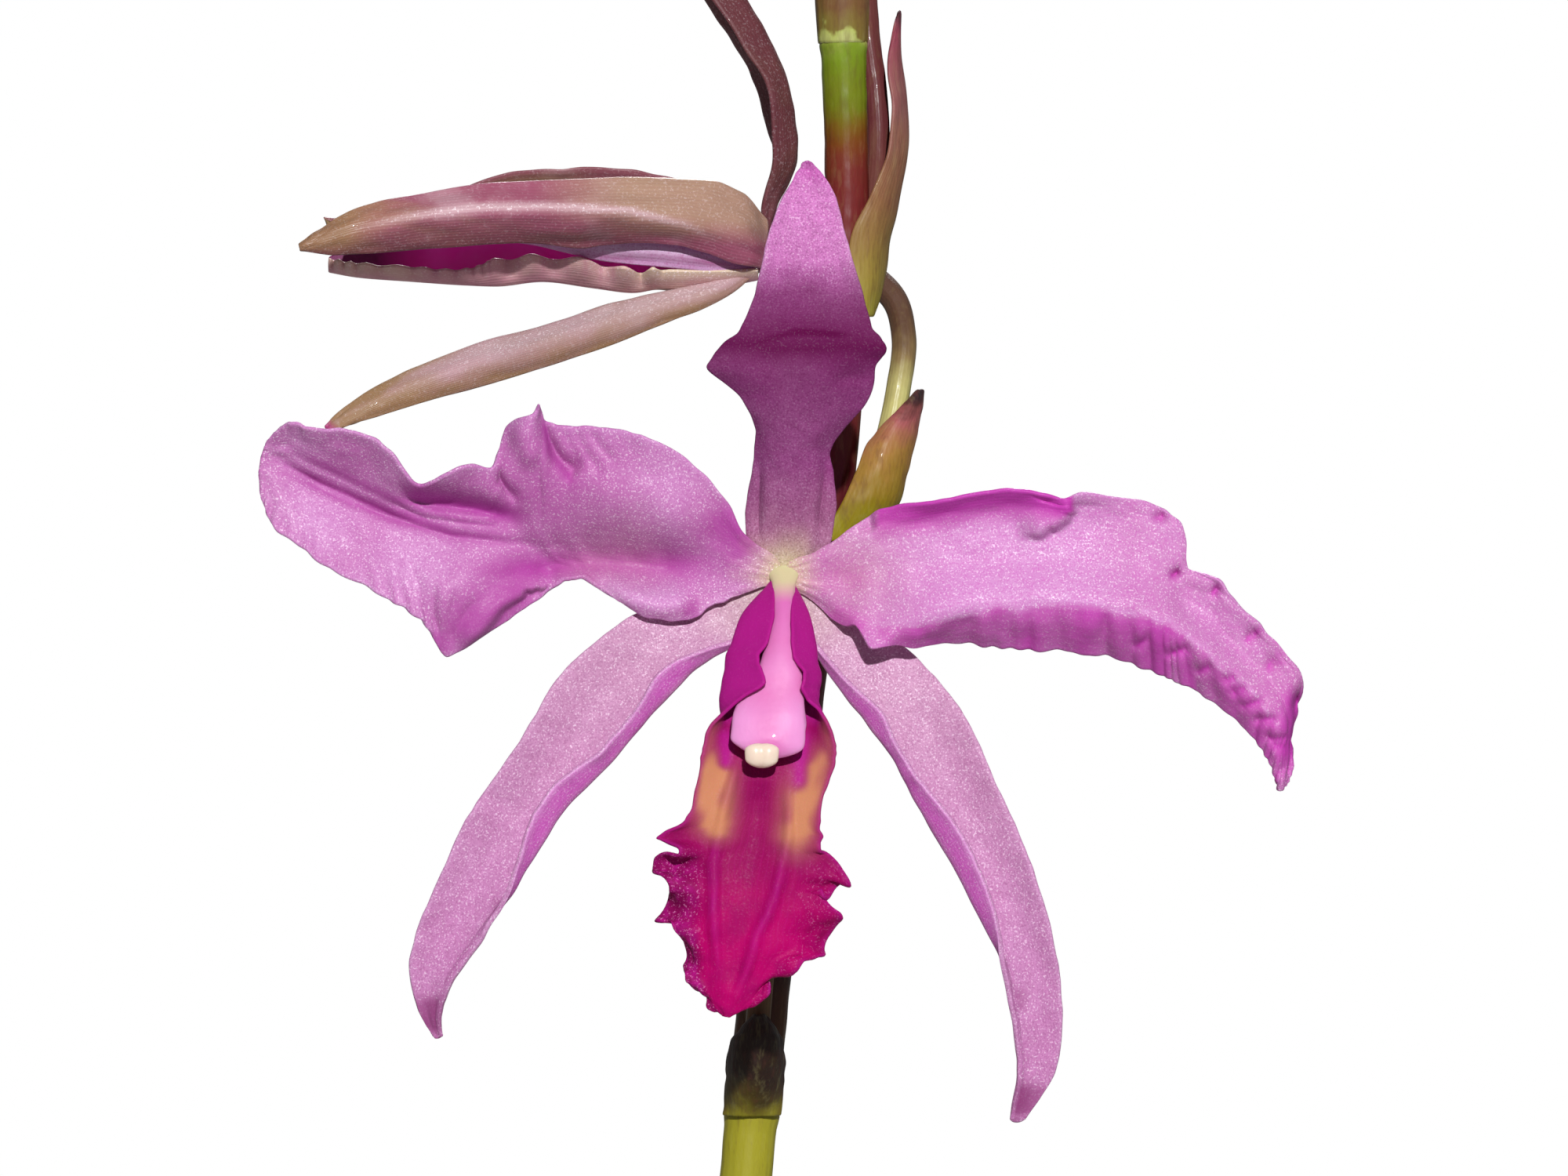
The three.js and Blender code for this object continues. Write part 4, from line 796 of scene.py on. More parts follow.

# %% [markdown]
# The right petal is folded twice: a flap along its upper edge curls forward, and below a ridge
# its lower band turns back and down, so that it looks darker. Its outer edge is finely crumpled.
# The flap, the band and the creases are also painted a deeper magenta, partly as painted shade,
# and a thin painted highlight runs along the ridge.

# %% Right petal
RIGHT_PETAL = rows("""
    0.2 1.9 0.9, 0.4 0.9 0.6, 0.5 0.2 0.5, 0.4 -0.6 0.5, 0.4 -1.2 0.6
    6.2 4.4 -0.4, 6.6 3 -0.6, 7 0 0, 6.6 -3 0, 6.2 -5.5 1
    11.9 8.6 -2, 12.2 6 -1.6, 12.5 1 -1.3, 11.6 -6.6 -2.2, 10.7 -9.2 -3.6
    18.6 9.4 -4.4, 18.8 7 -1.8, 19 1.6 -1.9, 18.5 -5.7 -3.8, 18.4 -8.7 0.2
    25 10.6 -5, 25.2 8 -2, 25.5 2.2 -2, 25.6 -4.2 -4, 25.5 -8.8 0.6
    31.4 11 -5, 31.6 8.4 -2, 32 2.5 -2, 32 -3.8 -4, 32 -9.3 0.8
    37.4 10.6 -3.2, 38 8.2 -1.5, 38.5 2.2 -1.9, 38.5 -4.2 -4, 38.5 -9.8 1
    45.2 9.8 -0.6, 45 7 -0.9, 44.5 1.2 -1.5, 44.3 -4.9 -3.8, 44.5 -11 1.2
    50.6 6.6 -0.6, 50 4 -0.7, 48.6 -0.8 -1.2, 48.2 -6 -3.4, 48.4 -12.8 1.4
    51.4 1.4 -0.2, 51.2 0 -0.2, 51 -3 0, 50.8 -7.6 -3, 51.4 -14.2 1.6
    55.8 -0.6 -1, 55.5 -2 -0.8, 54.8 -6 0, 54.3 -10.4 -2.6, 55 -16.2 1.6
    60.6 -6 -0.8, 60.2 -7 -0.6, 59.2 -10.4 0.2, 58.8 -14.6 -1.8, 58.8 -19.4 1.6
    66.5 -13.2 1.4, 65.7 -14 0.4, 64 -16.4 -0.2, 62.4 -18.6 -1.2, 61 -22 1.6
    64.7 -21.4 2.8, 64.4 -21.8 1.4, 63.9 -22.6 -0.2, 63 -23.4 0.2, 62.2 -24.6 1.6
    63.8 -26.8 1.8, 63.6 -27.1 1.4, 63.3 -27.3 1.2, 63 -27.2 1.6, 62.9 -26.9 2.2
""")
RIGHT_PETAL_TOP = points("""
    0.2 1.9, 3.5 2.8, 5 3.6, 6.2 4.4, 7.9 5.6, 9.4 6.8, 11.1 7.8, 11.9 8.6, 14.6 9.1, 17.8 9.4, 20.3 9.7,
    24 10.5, 26.4 11, 28.7 11.1, 31.4 11, 33.8 10.4, 35.8 9.9, 37.5 10.6, 39.6 10.6, 42.4 10.2, 45.2 9.8,
    48 8.9, 49.4 8.1, 50.8 6.6, 51.3 4.5, 51.4 1, 52.2 0.8, 53.6 0.5, 55 -0.1, 55.8 -0.6, 56.4 -1.7,
    57.8 -3.5, 59.2 -4.7, 60.6 -6, 62 -7.7, 63.4 -8.9, 63.9 -9.7, 64.5 -10.7, 65.5 -11.6, 66.5 -13.1,
    66.2 -15, 65.5 -16.4, 65.4 -17.6, 64.8 -18.7, 64.7 -20.2, 64.3 -21, 64.9 -22.5, 64.8 -25, 64.2 -26.5,
    63.4 -27.3
""")
RIGHT_PETAL_LOW = points("""
    0.4 -1.2, 3.2 -2.8, 4.5 -3.8, 6.2 -5.5, 6.9 -6.1, 8.3 -6.4, 8.9 -6.1, 9.5 -6.9, 10.2 -8, 10.8 -9.4,
    11.4 -9.4, 12.9 -9, 14.8 -8.8, 16.3 -9.1, 18.3 -8.7, 24.2 -8.7, 27 -9, 32.6 -9.4, 38.2 -9.8, 41 -10.2,
    43.8 -10.9, 46.6 -12, 49.4 -13.2, 52.2 -14.4, 55 -16.1, 57.8 -18.3, 59.2 -19.6, 60.6 -21.3, 62 -24,
    62.7 -25.7, 63.4 -27.3
""")
# Creases that the fold leaves across the lower band, from its ridge down. The first nine are deep.
DEEP_CREASES = 9
BAND_CREASES = rows("""
    46.6 -7.3, 44.4 -9.3
    52.1 -8.9, 48.3 -10
    54.9 -11, 52.3 -12.4
    57.8 -12.7, 55.7 -13.3
    59.2 -14, 56.8 -15
    61.6 -15.7, 57.8 -16.7
    63.3 -18.1, 59.5 -18.3
    64.5 -20.7, 61.1 -20.5
    64.5 -22, 62 -21.4
    41.4 -4.4, 40.2 -8
    37.6 -4, 37 -7.6
    33 -3.9, 32.6 -7.4
    28 -4.2, 27.6 -7.6
    22.4 -4.8, 21.6 -7.8
    17 -6, 18.6 -8.2
""")
RIM_CREASES = rows("""
    50.9 0.9, 48.8 -0.3
    55.7 -0.7, 54.5 -2.8
    61 -6.4, 58.6 -8.6
    64 -9.7, 61.2 -12.3
    48.7 8.4, 47.3 6.7
    66.2 -14, 64.6 -17.6
""")


def right_petal_relief(spots, a, b):
    cliff(spots, "30.4 4.6, 33.4 5.6, 35.8 7, 37 8.6, 36.6 10.4", 2.6, 3.2, 0.2)
    cliff(spots, "11.5 5.4, 11.6 9.4", -1.8, 1.6, 0.1)
    for number, line in enumerate(BAND_CREASES):
        crease(spots, line, 1.2 if number < DEEP_CREASES else 0.5, 0.45)
    for line in RIM_CREASES:
        crease(spots, line, 2, 0.5, 0.4)
    crease(spots, "65.6 -14.4, 64.8 -19, 63.7 -26", 1.7, 0.7, 0.1)
    folds = np.abs(hump(24 * a + 2.2 * wander(a, 11, 36))) - 0.6
    deep_folds = np.interp(a, [0.14, 0.22, 0.5, 0.66], [0, 1, 0.8, 0.35])
    puff(spots, deep_folds * rise(b, 0.74, 0.08) * folds)
    tip = rise(a, 0.86, 0.06)
    puff(spots, 0.3 * tip * fall(b, 0.4, 0.4) * wave(70 * a))
    puff(spots, 0.14 * rumple(a, b, 34, 12, 33))


def right_petal_marks(spots, a, b):
    # Deep strokes along the band's creases, the rim's creases and the folded tip: painted shade in the folds.
    masks = tepal_marks(spots, a, b, [(line, 0.5, 1.0) for line in BAND_CREASES[:DEEP_CREASES]]
                        + [(line, 0.55, 0.9) for line in RIM_CREASES] + [
        ("65.6 -13.4, 64.6 -18, 63.6 -27", 1.9, 1.0),
        ("3 1.6, 7.6 0.4, 12 -1.2", 2.4, 0.5), ("5 -4, 8 -5.4, 10.6 -8.6", 1.6, 0.7),
    ], cream_reach=3.8, edge_pale=0.7)
    height, right = spots[..., UP], spots[..., RIGHT]
    top = np.interp(right, [11, 12, 18, 26, 31, 36, 37.6], [8, 8.6, 9.4, 11, 11, 9.6, 9])
    flap = rise(height - top, -4.4, 3) * rise(right, 11.5, 0.4)
    flap *= rise(36.9 - right, np.clip(8.4 - height, 0, 9) * 1.25, 0.5) * (height > 3)
    border = 0.745 + 0.02 * wander(a, 36, 35)
    band = rise(b, border, 0.025) * rise(a, 0.13, 0.05)
    middle = 0.8 * rise(a, 0, 0.25) * fall(a, 0.9, 0.15)
    middle = middle * (1 - 0.65 * rise(right, 37, 7))
    add_mark(masks, PALE, middle * (1 - np.maximum(flap, band)))
    # painted highlight: a thin pale line along the ridge above the band
    add_mark(masks, PALE, bell(b - border + 0.012, 0.012) * (a > 0.2))
    # The flap and the band, which face down from the lamp, get the deeper magenta: partly their own colour,
    # partly painted shade.
    add_mark(masks, DEEP, np.maximum(0.95 * flap, band * (0.58 + 0.3 * rumple(a, b, 40, 3, 34))))
    add_mark(masks, THIRD, 0.22 * dab(spots, [9, 0.6], 6))
    return masks


blade("petal_right_skin", ("petal", "petal_right"), RIGHT_PETAL, (132, 42), 0.55, frill=0.3,
      relief=right_petal_relief, marks=right_petal_marks, inside=bright_petal_look, outside=tepal_back,
      ragged=0.16, rims=(RIGHT_PETAL_TOP, RIGHT_PETAL_LOW))

# %% [markdown]
# The dorsal sepal stands up behind. It leans forward to a fold at mid height and back above it,
# so its lower half lies in shade and its upper half is bright. The shade is also painted: a dark
# mauve mark over the fold and the lower half, and a paler mark on the top as painted light.

# %% Dorsal sepal
DORSAL_SEPAL = rows("""
    -1.8 0.9 1.5, -0.9 0.5 1.3, 0 0.4 1.2, 0.9 0.5 1.3, 1.8 0.9 1.5
    -4.8 6.5 1.2, -2.4 6.6 0.2, 0.6 6.6 -0.4, 3.6 6.6 0.2, 6.4 6.5 1.2
    -4.7 11.6 0.4, -2.2 11.6 -1.2, 0.9 11.6 -1.8, 3.8 11.6 -1.2, 6.5 11.6 0.4
    -3.6 16.6 -0.8, -1.6 16.6 -2.8, 1 16.6 -3.6, 3.4 16.4 -2.8, 5.7 16 -0.8
    -4.4 20.6 -3.6, -2 21.2 -5, 1.2 21.4 -5.4, 5 21.2 -5, 9.4 20.7 -3.4
    -10.1 26.6 -6.6, -5 26.8 -7.4, 1.3 27 -7.2, 7 27.2 -7.4, 12.5 27.4 -6.6
    -6.9 30.2 -7.6, -3.2 30.8 -7.2, 1.6 31.4 -6.4, 7 31 -7.2, 12.2 30 -7.4
    -4.2 35 -5.4, -1.4 35.6 -4.6, 2 36 -4, 6 35.6 -4.4, 10.3 35 -5
    -2.5 41 -2.8, -0.2 41 -2, 2.6 41 -1.8, 5.8 40.8 -1.9, 8.9 40.5 -2.4
    -0.9 46.6 -0.2, 0.8 46.6 0.3, 2.9 46.6 0.4, 5 46.6 0.4, 7.1 46.6 0
    1.2 51 1.4, 2 51.4 1.8, 2.9 51.6 2, 3.9 51.5 1.8, 4.9 51.4 1.4
    2.6 52.8 3, 2.8 52.9 3.1, 2.9 53 3.1, 3 52.9 3.1, 3.2 52.8 3
""")
DORSAL_LEFT = points("""
    -1.8 0.9, -3.6 2.6, -4.7 4.3, -5 6.8, -4.7 10.3, -3.7 14.9, -3.5 18.5, -4.4 21, -5.6 23.1, -7.7 24.7,
    -9.5 25.9, -10.1 26.5, -9.3 27.7, -7.7 29.8, -5.8 30.9, -4.9 33, -3.7 35.9, -2.9 39.8, -1.7 44.8,
    -0.3 48.3, 1.9 51.9, 2.6 52.8
""")
DORSAL_RIGHT = points("""
    1.8 0.9, 4.2 2.4, 6.1 4.3, 6.7 9.6, 6.3 13.5, 5.7 15.6, 6.5 17.4, 7.9 19.2, 10 21.3, 11.1 23.1,
    11.6 25.2, 11.6 26.7, 12.9 28.3, 13.2 29, 12.2 30.6, 11.3 31.3, 10.9 33, 10 36.2, 8.6 40.9, 7.2 46.2,
    6.7 48.3, 5.4 50.8, 3.6 52.6, 3.2 52.8
""")


def dorsal_relief(spots, a, b):
    crease(spots, "11.6 25.6, 8.4 25.4, 6 24.6", 0.5, 0.6)
    crease(spots, "-2.8 15.4, -3.1 9.5, -3.2 4.5", 0.9, 0.5)
    crease(spots, "5.4 15.6, 4.9 11.5, 4.5 7, 4.8 4.6", 0.9, 0.5)
    crease(spots, "0 45, -1.5 38", 0.4, 0.5)
    crease(spots, "6.4 42, 8 36.6", 0.4, 0.5)
    puff(spots, 0.14 * rumple(a, b, 26, 8, 41))


def dorsal_marks(spots, a, b):
    # The fold line and the creases are painted darker as painted shade; the stroke at the tip is its own
    # magenta.
    masks = tepal_marks(spots, a, b, [
        ("2.9 53, 2.9 51.6", 1.0, 0.3),
        ("-9 27, -4 29.6, 2 31, 8 30.6, 13 28.8", 1.5, 1.0),
        ("0 45, -1.6 37", 0.7, 0.22), ("6.6 42, 8.2 36", 0.7, 0.22),
        ("-2.8 16, -3.1 4.6", 0.6, 0.45), ("5.4 16, 4.8 4.6", 0.6, 0.45),
    ], cream_reach=4.6, edge_pale=0.8)
    # Painted shade by height, strongest at the fold and over the lower half that faces down; the pale mark on
    # the top is painted light.
    height = spots[..., UP] + 0.9 * rumple(a, b, 20, 5, 43)
    shade = np.interp(height, [-1, 3, 8, 16, 22, 26.6, 29.5, 36, 38.5, 41, 48],
                      [0.2, 0.45, 0.58, 0.66, 0.7, 0.8, 0.98, 0.74, 0.45, 0.12, 0.02])
    add_mark(masks, DEEP, shade)
    add_mark(masks, PALE, 0.3 * rise(height, 38, 6))
    masks[..., PALE] *= rise(height, 33, 8) * fall(height, 52, 2)
    add_mark(masks, THIRD, 0.2 * fall(height, 14, 12))
    return masks


blade("dorsal_sepal_skin", ("sepal", "dorsal_sepal"), DORSAL_SEPAL, (100, 28), 0.6, relief=dorsal_relief,
      marks=dorsal_marks, inside=sepal_look, outside=tepal_back, ragged=0.08,
      rims=(DORSAL_LEFT, DORSAL_RIGHT), main=(0.3, 1))

# %% [markdown]
# The lateral sepals hang down and out like two sabres. Their inner edges curl forward in a narrow
# flap that comes and goes, and their bases are cream.

# %% Lateral sepals
LEFT_LATERAL = rows("""
    -1.4 1.2 1.3, -0.6 0.2 1.2, 0 -0.9 1.2, 0.4 -1.6 1.3
    -10.5 -2.5 2.4, -8 -5.3 2, -5.6 -8 0.8, -5.9 -7.9 -0.4
    -18.9 -4.7 1.6, -14 -9 1.2, -10 -10.6 -0.4, -11.2 -9.6 -2.6
    -24.1 -8.4 0.4, -19 -12.4 1.2, -14.5 -14.8 -1, -16.3 -12.6 -3.4
    -29.3 -13.4 -0.4, -23.5 -17 1, -18.6 -19.3 -1, -19.4 -17.8 -3
    -32.6 -19.1 -1, -27 -21.8 0.8, -22.5 -23.9 -1, -24.1 -22.7 -3.4
    -37.4 -26.2 -1, -31.8 -28 0.6, -27.5 -29 -1.2, -29.5 -26.8 -4
    -40.8 -31.3 -1.4, -35.5 -33 0.4, -31.2 -34.3 -1.4, -32.6 -31.9 -4
    -43.6 -37.6 -1, -39 -39 0.4, -34.8 -40.2 -1.4, -34.9 -39.2 -3.2
    -46.4 -43.8 0, -42.3 -44.8 1, -39 -45.4 -0.4, -38.2 -45.8 -1.8
    -47.9 -49.8 1, -45 -50.4 1.6, -43 -51.2 0.8, -42.2 -51.6 0
    -46.9 -55 2.4, -45.5 -55.4 2.6, -44.4 -55.7 2.2, -43.8 -55.9 1.8
    -44.9 -58.8 3.4, -44.4 -59.1 3.5, -43.9 -59 3.4, -43.6 -58.6 3.2
""")
RIGHT_LATERAL = rows("""
    1.4 1.2 1.3, 0.6 0.2 1.2, 0 -0.9 1.2, -0.4 -1.6 1.3
    9.5 -4.5 2.4, 6.6 -6.6 2, 3.4 -8.3 0.8, 3.7 -8.2 -0.4
    16.4 -9.8 3, 12 -12 1.6, 7.4 -14.4 -0.2, 8.8 -14 -2.2
    20.2 -13.9 1.4, 16 -16 1.2, 10.7 -18.6 -0.8, 12.6 -17.4 -3
    23.6 -18.6 0, 19 -21 1, 14.2 -23.4 -1, 15 -22.6 -2.8
    26.3 -24.5 -0.6, 21.3 -25.8 0.8, 16.2 -27.3 -1, 18.2 -27.1 -3.4
    29.4 -31.5 -1, 24.4 -32 0.6, 18.9 -32 -1.2, 21.9 -31.4 -4
    31.9 -37.6 -1.4, 27.3 -38 0.4, 22.2 -37.8 -1.4, 24.9 -37.2 -4
    33.8 -44 -1, 30 -44.2 0.4, 25.3 -43.8 -1.2, 27 -43.2 -3.4
    35.1 -50 0, 31.8 -50 0.8, 28.4 -49.8 -0.4, 27.9 -49.9 -1.8
    35.6 -56.5 1, 32.6 -56.8 1.4, 30 -57 0.8, 29.2 -57 0
    34.8 -63 2.2, 32.3 -63.4 2.4, 30.5 -63.5 2, 29.8 -63.5 1.6
    30.9 -69.4 3.2, 30.1 -69.8 3.4, 29.3 -69.8 3.4, 28.8 -69.4 3.2
""")


def lateral_relief(seed):
    def relief(spots, a, b):
        puff(spots, 0.12 * rumple(a, b, 30, 6, seed))
        edge = np.abs(2 * b - 1) ** 3
        puff(spots, 0.22 * edge * wander(a, 34, seed + 1) * hump(a))
    return relief


def lateral_marks(tip, freckle):
    def marks(spots, a, b):
        masks = tepal_marks(spots, a, b, [(tip, 3.4, 0.95), (freckle, 1.0, 0.4)],
                            cream_reach=11.5, edge_pale=0.85)
        curl = rise(b, 0.7, 0.1)
        add_mark(masks, PALE, 0.45 * (1 - curl) * np.clip(1 - a, 0, 1) ** 0.5)
        masks[..., DEEP] *= 1 - 0.5 * curl
        masks[..., THIRD] *= 0.85 * (1 - 0.8 * curl)
        add_mark(masks, THIRD, 0.25 * (1 - curl) * bell(a, 0.45))
        return masks
    return marks


for side, table, seed, tip, freckle in (
        ("left", LEFT_LATERAL, 51, "-44.4 -59, -44.6 -53", "-36 -41, -36.4 -43"),
        ("right", RIGHT_LATERAL, 55, "29.8 -69.6, 30.6 -64", "29.8 -52, 30.2 -56")):
    blade(f"lateral_sepal_{side}_skin", ("sepal", f"lateral_sepal_{side}"), table, (100, 22), 0.66,
          relief=lateral_relief(seed), marks=lateral_marks(tip, freckle), inside=lateral_look,
          outside=tepal_back, ragged=0.08)

# %% [markdown]
# The lip is one piece: two side lobes wrap the column like a tube, then it opens to a ruffled
# tongue. Orange-salmon patches flank the throat and two raised keels run down the middle.

# %% Lip
LIP = rows("""
    -1.3 -0.2 -0.4, -1.7 -1 0.4, 0 -2 1, 1.3 -1.4 0.4, 0.7 -0.9 -0.4
    -1.2 -5.1 -6.5, -5.3 -5.1 -3.2, 0 -6 -1.4, 3.1 -5 -3.2, 0.95 -5 -6.5
    -2.7 -9.5 -9.1, -6.9 -9.6 -5.2, -0.3 -11 -3, 4 -9.8 -5.2, 1 -9.4 -9
    -3 -11.5 -10.2, -7.4 -11.8 -6, -0.4 -13 -3.8, 4.3 -12 -6, 2 -11.6 -10
    -2.4 -13.5 -11.4, -7.8 -14 -6.8, -0.6 -15 -4.4, 4.4 -14 -6.8, 2.3 -13.6 -10.8
    -5.2 -15.4 -11, -8 -16.2 -7.4, -1 -17 -5.6, 4.2 -16.2 -7.2, 3.4 -15.8 -10.4
    -8.6 -18 -9.8, -7.4 -18.4 -7.2, -1.6 -19 -7, 3.9 -18.4 -7.2, 5.3 -18.2 -9.8
    -9.9 -21.2 -9.8, -6.8 -21.4 -8, -2 -21.6 -8.2, 3.2 -21.4 -8, 6.5 -21 -9.8
    -10.6 -24 -10, -6.8 -24 -8.6, -2.2 -24 -8.8, 2.6 -24 -8.6, 6.6 -23.6 -10
    -11.6 -27.6 -10.2, -7.2 -27.4 -9.4, -2.6 -27.2 -9.2, 2 -27.4 -9.4, 5.3 -27.4 -10.2
    -12.5 -30.8 -10.8, -7.8 -30.6 -10, -2.9 -30.4 -9.4, 1.5 -30.4 -10, 4.7 -30.4 -10.8
    -16.1 -33.3 -9.4, -9.6 -33 -10.4, -3.2 -33 -10.2, 1.2 -33 -10.4, 4.9 -33 -10.8
    -13.5 -35.1 -11.6, -9.8 -35.2 -10.6, -3.7 -35.4 -10.8, 1.6 -35.2 -10.6, 4.9 -35.2 -10.6
    -16.8 -37.1 -8.2, -10 -37.6 -10.6, -4.1 -37.6 -11.4, 2 -37.6 -10.8, 8 -38.7 -8.2
    -14.6 -40.3 -11.6, -10.2 -40.6 -11, -4.6 -40.8 -12, 1.4 -40.4 -11.2, 4.6 -39.6 -11.8
    -16.1 -44 -8.2, -10.5 -44 -11, -5 -44.4 -12.3, 1 -43.6 -11.2, 7 -43.2 -8.8
    -13.6 -45.9 -10.8, -10.4 -46.6 -11, -5.5 -47 -12.4, 0.6 -46.4 -11.4, 5.7 -47.2 -10
    -13 -49 -9.2, -10.2 -49.4 -11, -6 -50 -12.3, -1.2 -48.6 -11.4, 1.4 -48.4 -10.8
    -12.2 -51.4 -10.4, -9.8 -52 -11, -6.6 -52.8 -12.1, -3 -51.8 -11.4, -0.8 -50.2 -10.2
    -10 -53.6 -10.4, -9 -54 -11.1, -7 -54.6 -11.8, -4.6 -54 -11.4, -2.4 -53.2 -10.8
    -7.8 -55.8 -11, -7.6 -55.8 -11.2, -7.3 -55.9 -11.4, -7 -55.8 -11.2, -6.8 -55.7 -11
""")
LIP_LEFT = points("""
    -1.3 -0.2, -1.1 -1.1, -1.1 -3.3, -1.2 -4.9, -1.5 -6.8, -2.2 -8.8, -3.2 -9.9, -3.1 -10.9, -2.5 -12.5,
    -2.3 -13.4, -2.7 -14, -4.6 -15, -6.5 -16.3, -8 -17.6, -9.5 -19, -10 -20.4, -10.6 -22.9, -10.9 -25.2,
    -11.4 -27.7, -11.9 -29.7, -12.8 -31.3, -13.8 -31.9, -15.2 -32.3, -16.4 -33.3, -14.9 -33.9, -13.7 -34.6,
    -13.4 -35.1, -14.1 -35.5, -15.5 -35.8, -16.6 -36.4, -17 -37.2, -16.3 -38.2, -15.2 -38.9, -14.5 -40,
    -14.8 -41.4, -15.5 -42.5, -16.4 -43.7, -16 -44.5, -14.6 -44.8, -13.7 -45.6, -13.3 -47, -13.1 -48.7,
    -12.8 -50.5, -11.7 -52.2, -9.9 -53.6, -8.5 -54.9, -7.8 -55.8
""")
LIP_RIGHT = points("""
    0.7 -0.9, 0.9 -2, 0.9 -4.6, 0.9 -7.7, 1.1 -10.3, 1.7 -11.2, 2.5 -12.1, 2.4 -13.2, 2.2 -14.2, 3 -15.7,
    4.3 -16.7, 5.4 -18.3, 6.4 -20.4, 6.7 -21.8, 6.5 -24.1, 5.8 -26, 5 -27.7, 4.7 -29.4, 4.6 -32.2, 5 -33,
    4.6 -33.9, 4.7 -35, 5.8 -35.8, 7.2 -36.9, 8.1 -38.6, 7.8 -39.6, 6.6 -39.6, 5.2 -39.2, 4.4 -39.5,
    5 -40.6, 5.9 -41.7, 6.8 -42.1, 7.1 -43.1, 6.6 -44.5, 6.1 -45.3, 5.9 -46.7, 5.5 -48, 4.4 -48.3,
    2.7 -48.1, 1 -48.6, -0.1 -49.5, -1.2 -50.8, -1.8 -52.6, -2.7 -53.7, -3.4 -54.6, -5.7 -55.3, -6.8 -55.7
""")
LEFT_KEEL = "-5.4 -22, -7.2 -28, -9 -36.4, -8.9 -44, -8.2 -51"
RIGHT_KEEL = "0.6 -24, 0.6 -33, -0.6 -38.8, -1.9 -42.6, -3.4 -45.4, -4.6 -49.6, -6.3 -54"


def lip_relief(spots, a, b):
    crease(spots, LEFT_KEEL, -0.75, 0.5, 0.15)
    crease(spots, RIGHT_KEEL, -0.75, 0.5, 0.15)
    crease(spots, "-3 -26, -3.8 -34, -5 -44, -6.6 -53", 0.7, 2.4, 0.1)
    edge = np.abs(2 * b - 1)
    tongue = rise(a, 0.56, 0.08)
    ruffle = wave(11 * a + np.where(b < 0.5, 0, 0.35) + 0.3 * wander(a, 9, 61))
    puff(spots, 1.8 * tongue * rise(edge, 0.42, 0.58) ** 1.4 * ruffle * hump(np.clip(a, 0, 0.99)) ** 0.3)
    puff(spots, 0.8 * tongue * rise(edge, 0.5, 0.5) ** 1.6 * wander(a, 44, 62))
    puff(spots, 0.28 * tongue * rise(edge, 0.35, 0.5) * rumple(a, b, 60, 26, 63))
    puff(spots, 0.07 * rumple(a, b, 40, 14, 65))


def lip_marks(spots, a, b):
    height = spots[..., UP]
    edge = np.abs(2 * b - 1)
    orange = np.maximum(stroke(spots, "-9.6 -20, -9.2 -24, -8.9 -28, -9.2 -32, -10.2 -34.6", 2.8, 0.3),
                        stroke(spots, "5.6 -20, 4.4 -24, 2.4 -28, 1.6 -33, 2.4 -37.6", 2.7, 0.3))
    margin = 0.45 * rise(edge, 0.55, 0.3) * fall(height, -16.5, 2) * rise(height, -33, 4)
    orange = np.maximum(orange * (1 + 0.3 * rumple(a, b, 24, 10, 64)), margin)
    side = rise(edge, 0.42, 0.3) * fall(height, -34, 3)
    lobe = rise(height, -19.5, 2)
    beside = np.maximum(stroke(spots, "-7.6 -19, -7.4 -25", 1.1, 0.2),
                        stroke(spots, "2.4 -19, 1.8 -28", 1.3, 0.2))
    rim = rise(edge, 0.9, 0.1)
    # painted highlight: a pale line along each keel's crest
    keels = 0.5 * np.maximum(stroke(spots, LEFT_KEEL, 0.32, 0.3), stroke(spots, RIGHT_KEEL, 0.32, 0.3))
    return three_marks(spots, deep=side * np.where(b < 0.5, 1, 0.3),
                       pale=np.maximum(np.maximum(lobe, beside), np.maximum(0.7 * rim, keels)),
                       third=np.clip(orange, 0, 1) * (1 - 0.9 * beside) * (1 - 0.4 * rim))


def lip_finish(name):
    look = Finish(name, 0.5, 0.04, (0.05, (1.0, 0.1, 0.5), 0.001))
    side_mark, pale_lobe_and_painted_keel_shine, orange_mark = look.marks()
    look.start(look.step(look.height(), -0.046, -0.034), (0.42, 0.001, 0.115), (0.27, 0.003, 0.085))
    ridge = look.lines(30, look.times(look.noise(150, 3), 3.0))
    look.over(look.step(ridge, 0.0, 0.2, 0.16, 0.0), (0.44, 0.012, 0.20))
    look.over(look.step(look.noise(240, 4), 0.4, 0.7, 0, 0.4), (0.20, 0.002, 0.08))
    # pale lobes and rims, and the painted highlight on the keels' crests
    look.over(pale_lobe_and_painted_keel_shine, (0.39, 0.011, 0.215))
    look.over(look.step(side_mark, 0.0, 1.0, 0.0, 0.9), (0.21, 0.003, 0.08))
    ruffled = look.step(look.noise(420, 3, roughness=0.65), 0.4, 0.65)
    glow = look.times(look.step(side_mark, 0.2, 1.0, 0.0, 0.7), ruffled)
    look.over(glow, (0.44, 0.01, 0.23))
    look.over(look.step(orange_mark, 0.0, 0.5, 0, 0.6), (0.36, 0.08, 0.10))
    look.over(look.step(orange_mark, 0.35, 0.95), (0.53, 0.21, 0.11))
    grain = look.noise(3600, 2, roughness=0.6)
    # painted glints: lighter magenta specks on the side lobes and ruffles that stand for their glitter
    speck = look.times(look.step(grain, 0.57, 0.68), look.step(side_mark, 0.0, 0.7, 0.05, 0.6))
    look.over(speck, (0.72, 0.22, 0.50))
    look.rough(look.step(grain, 0.3, 0.7, 0.58, 0.36))
    look.bump(look.add(look.times(grain, 0.7), look.times(ridge, 0.15)), 0.25, 0.0002)
    return look.done()


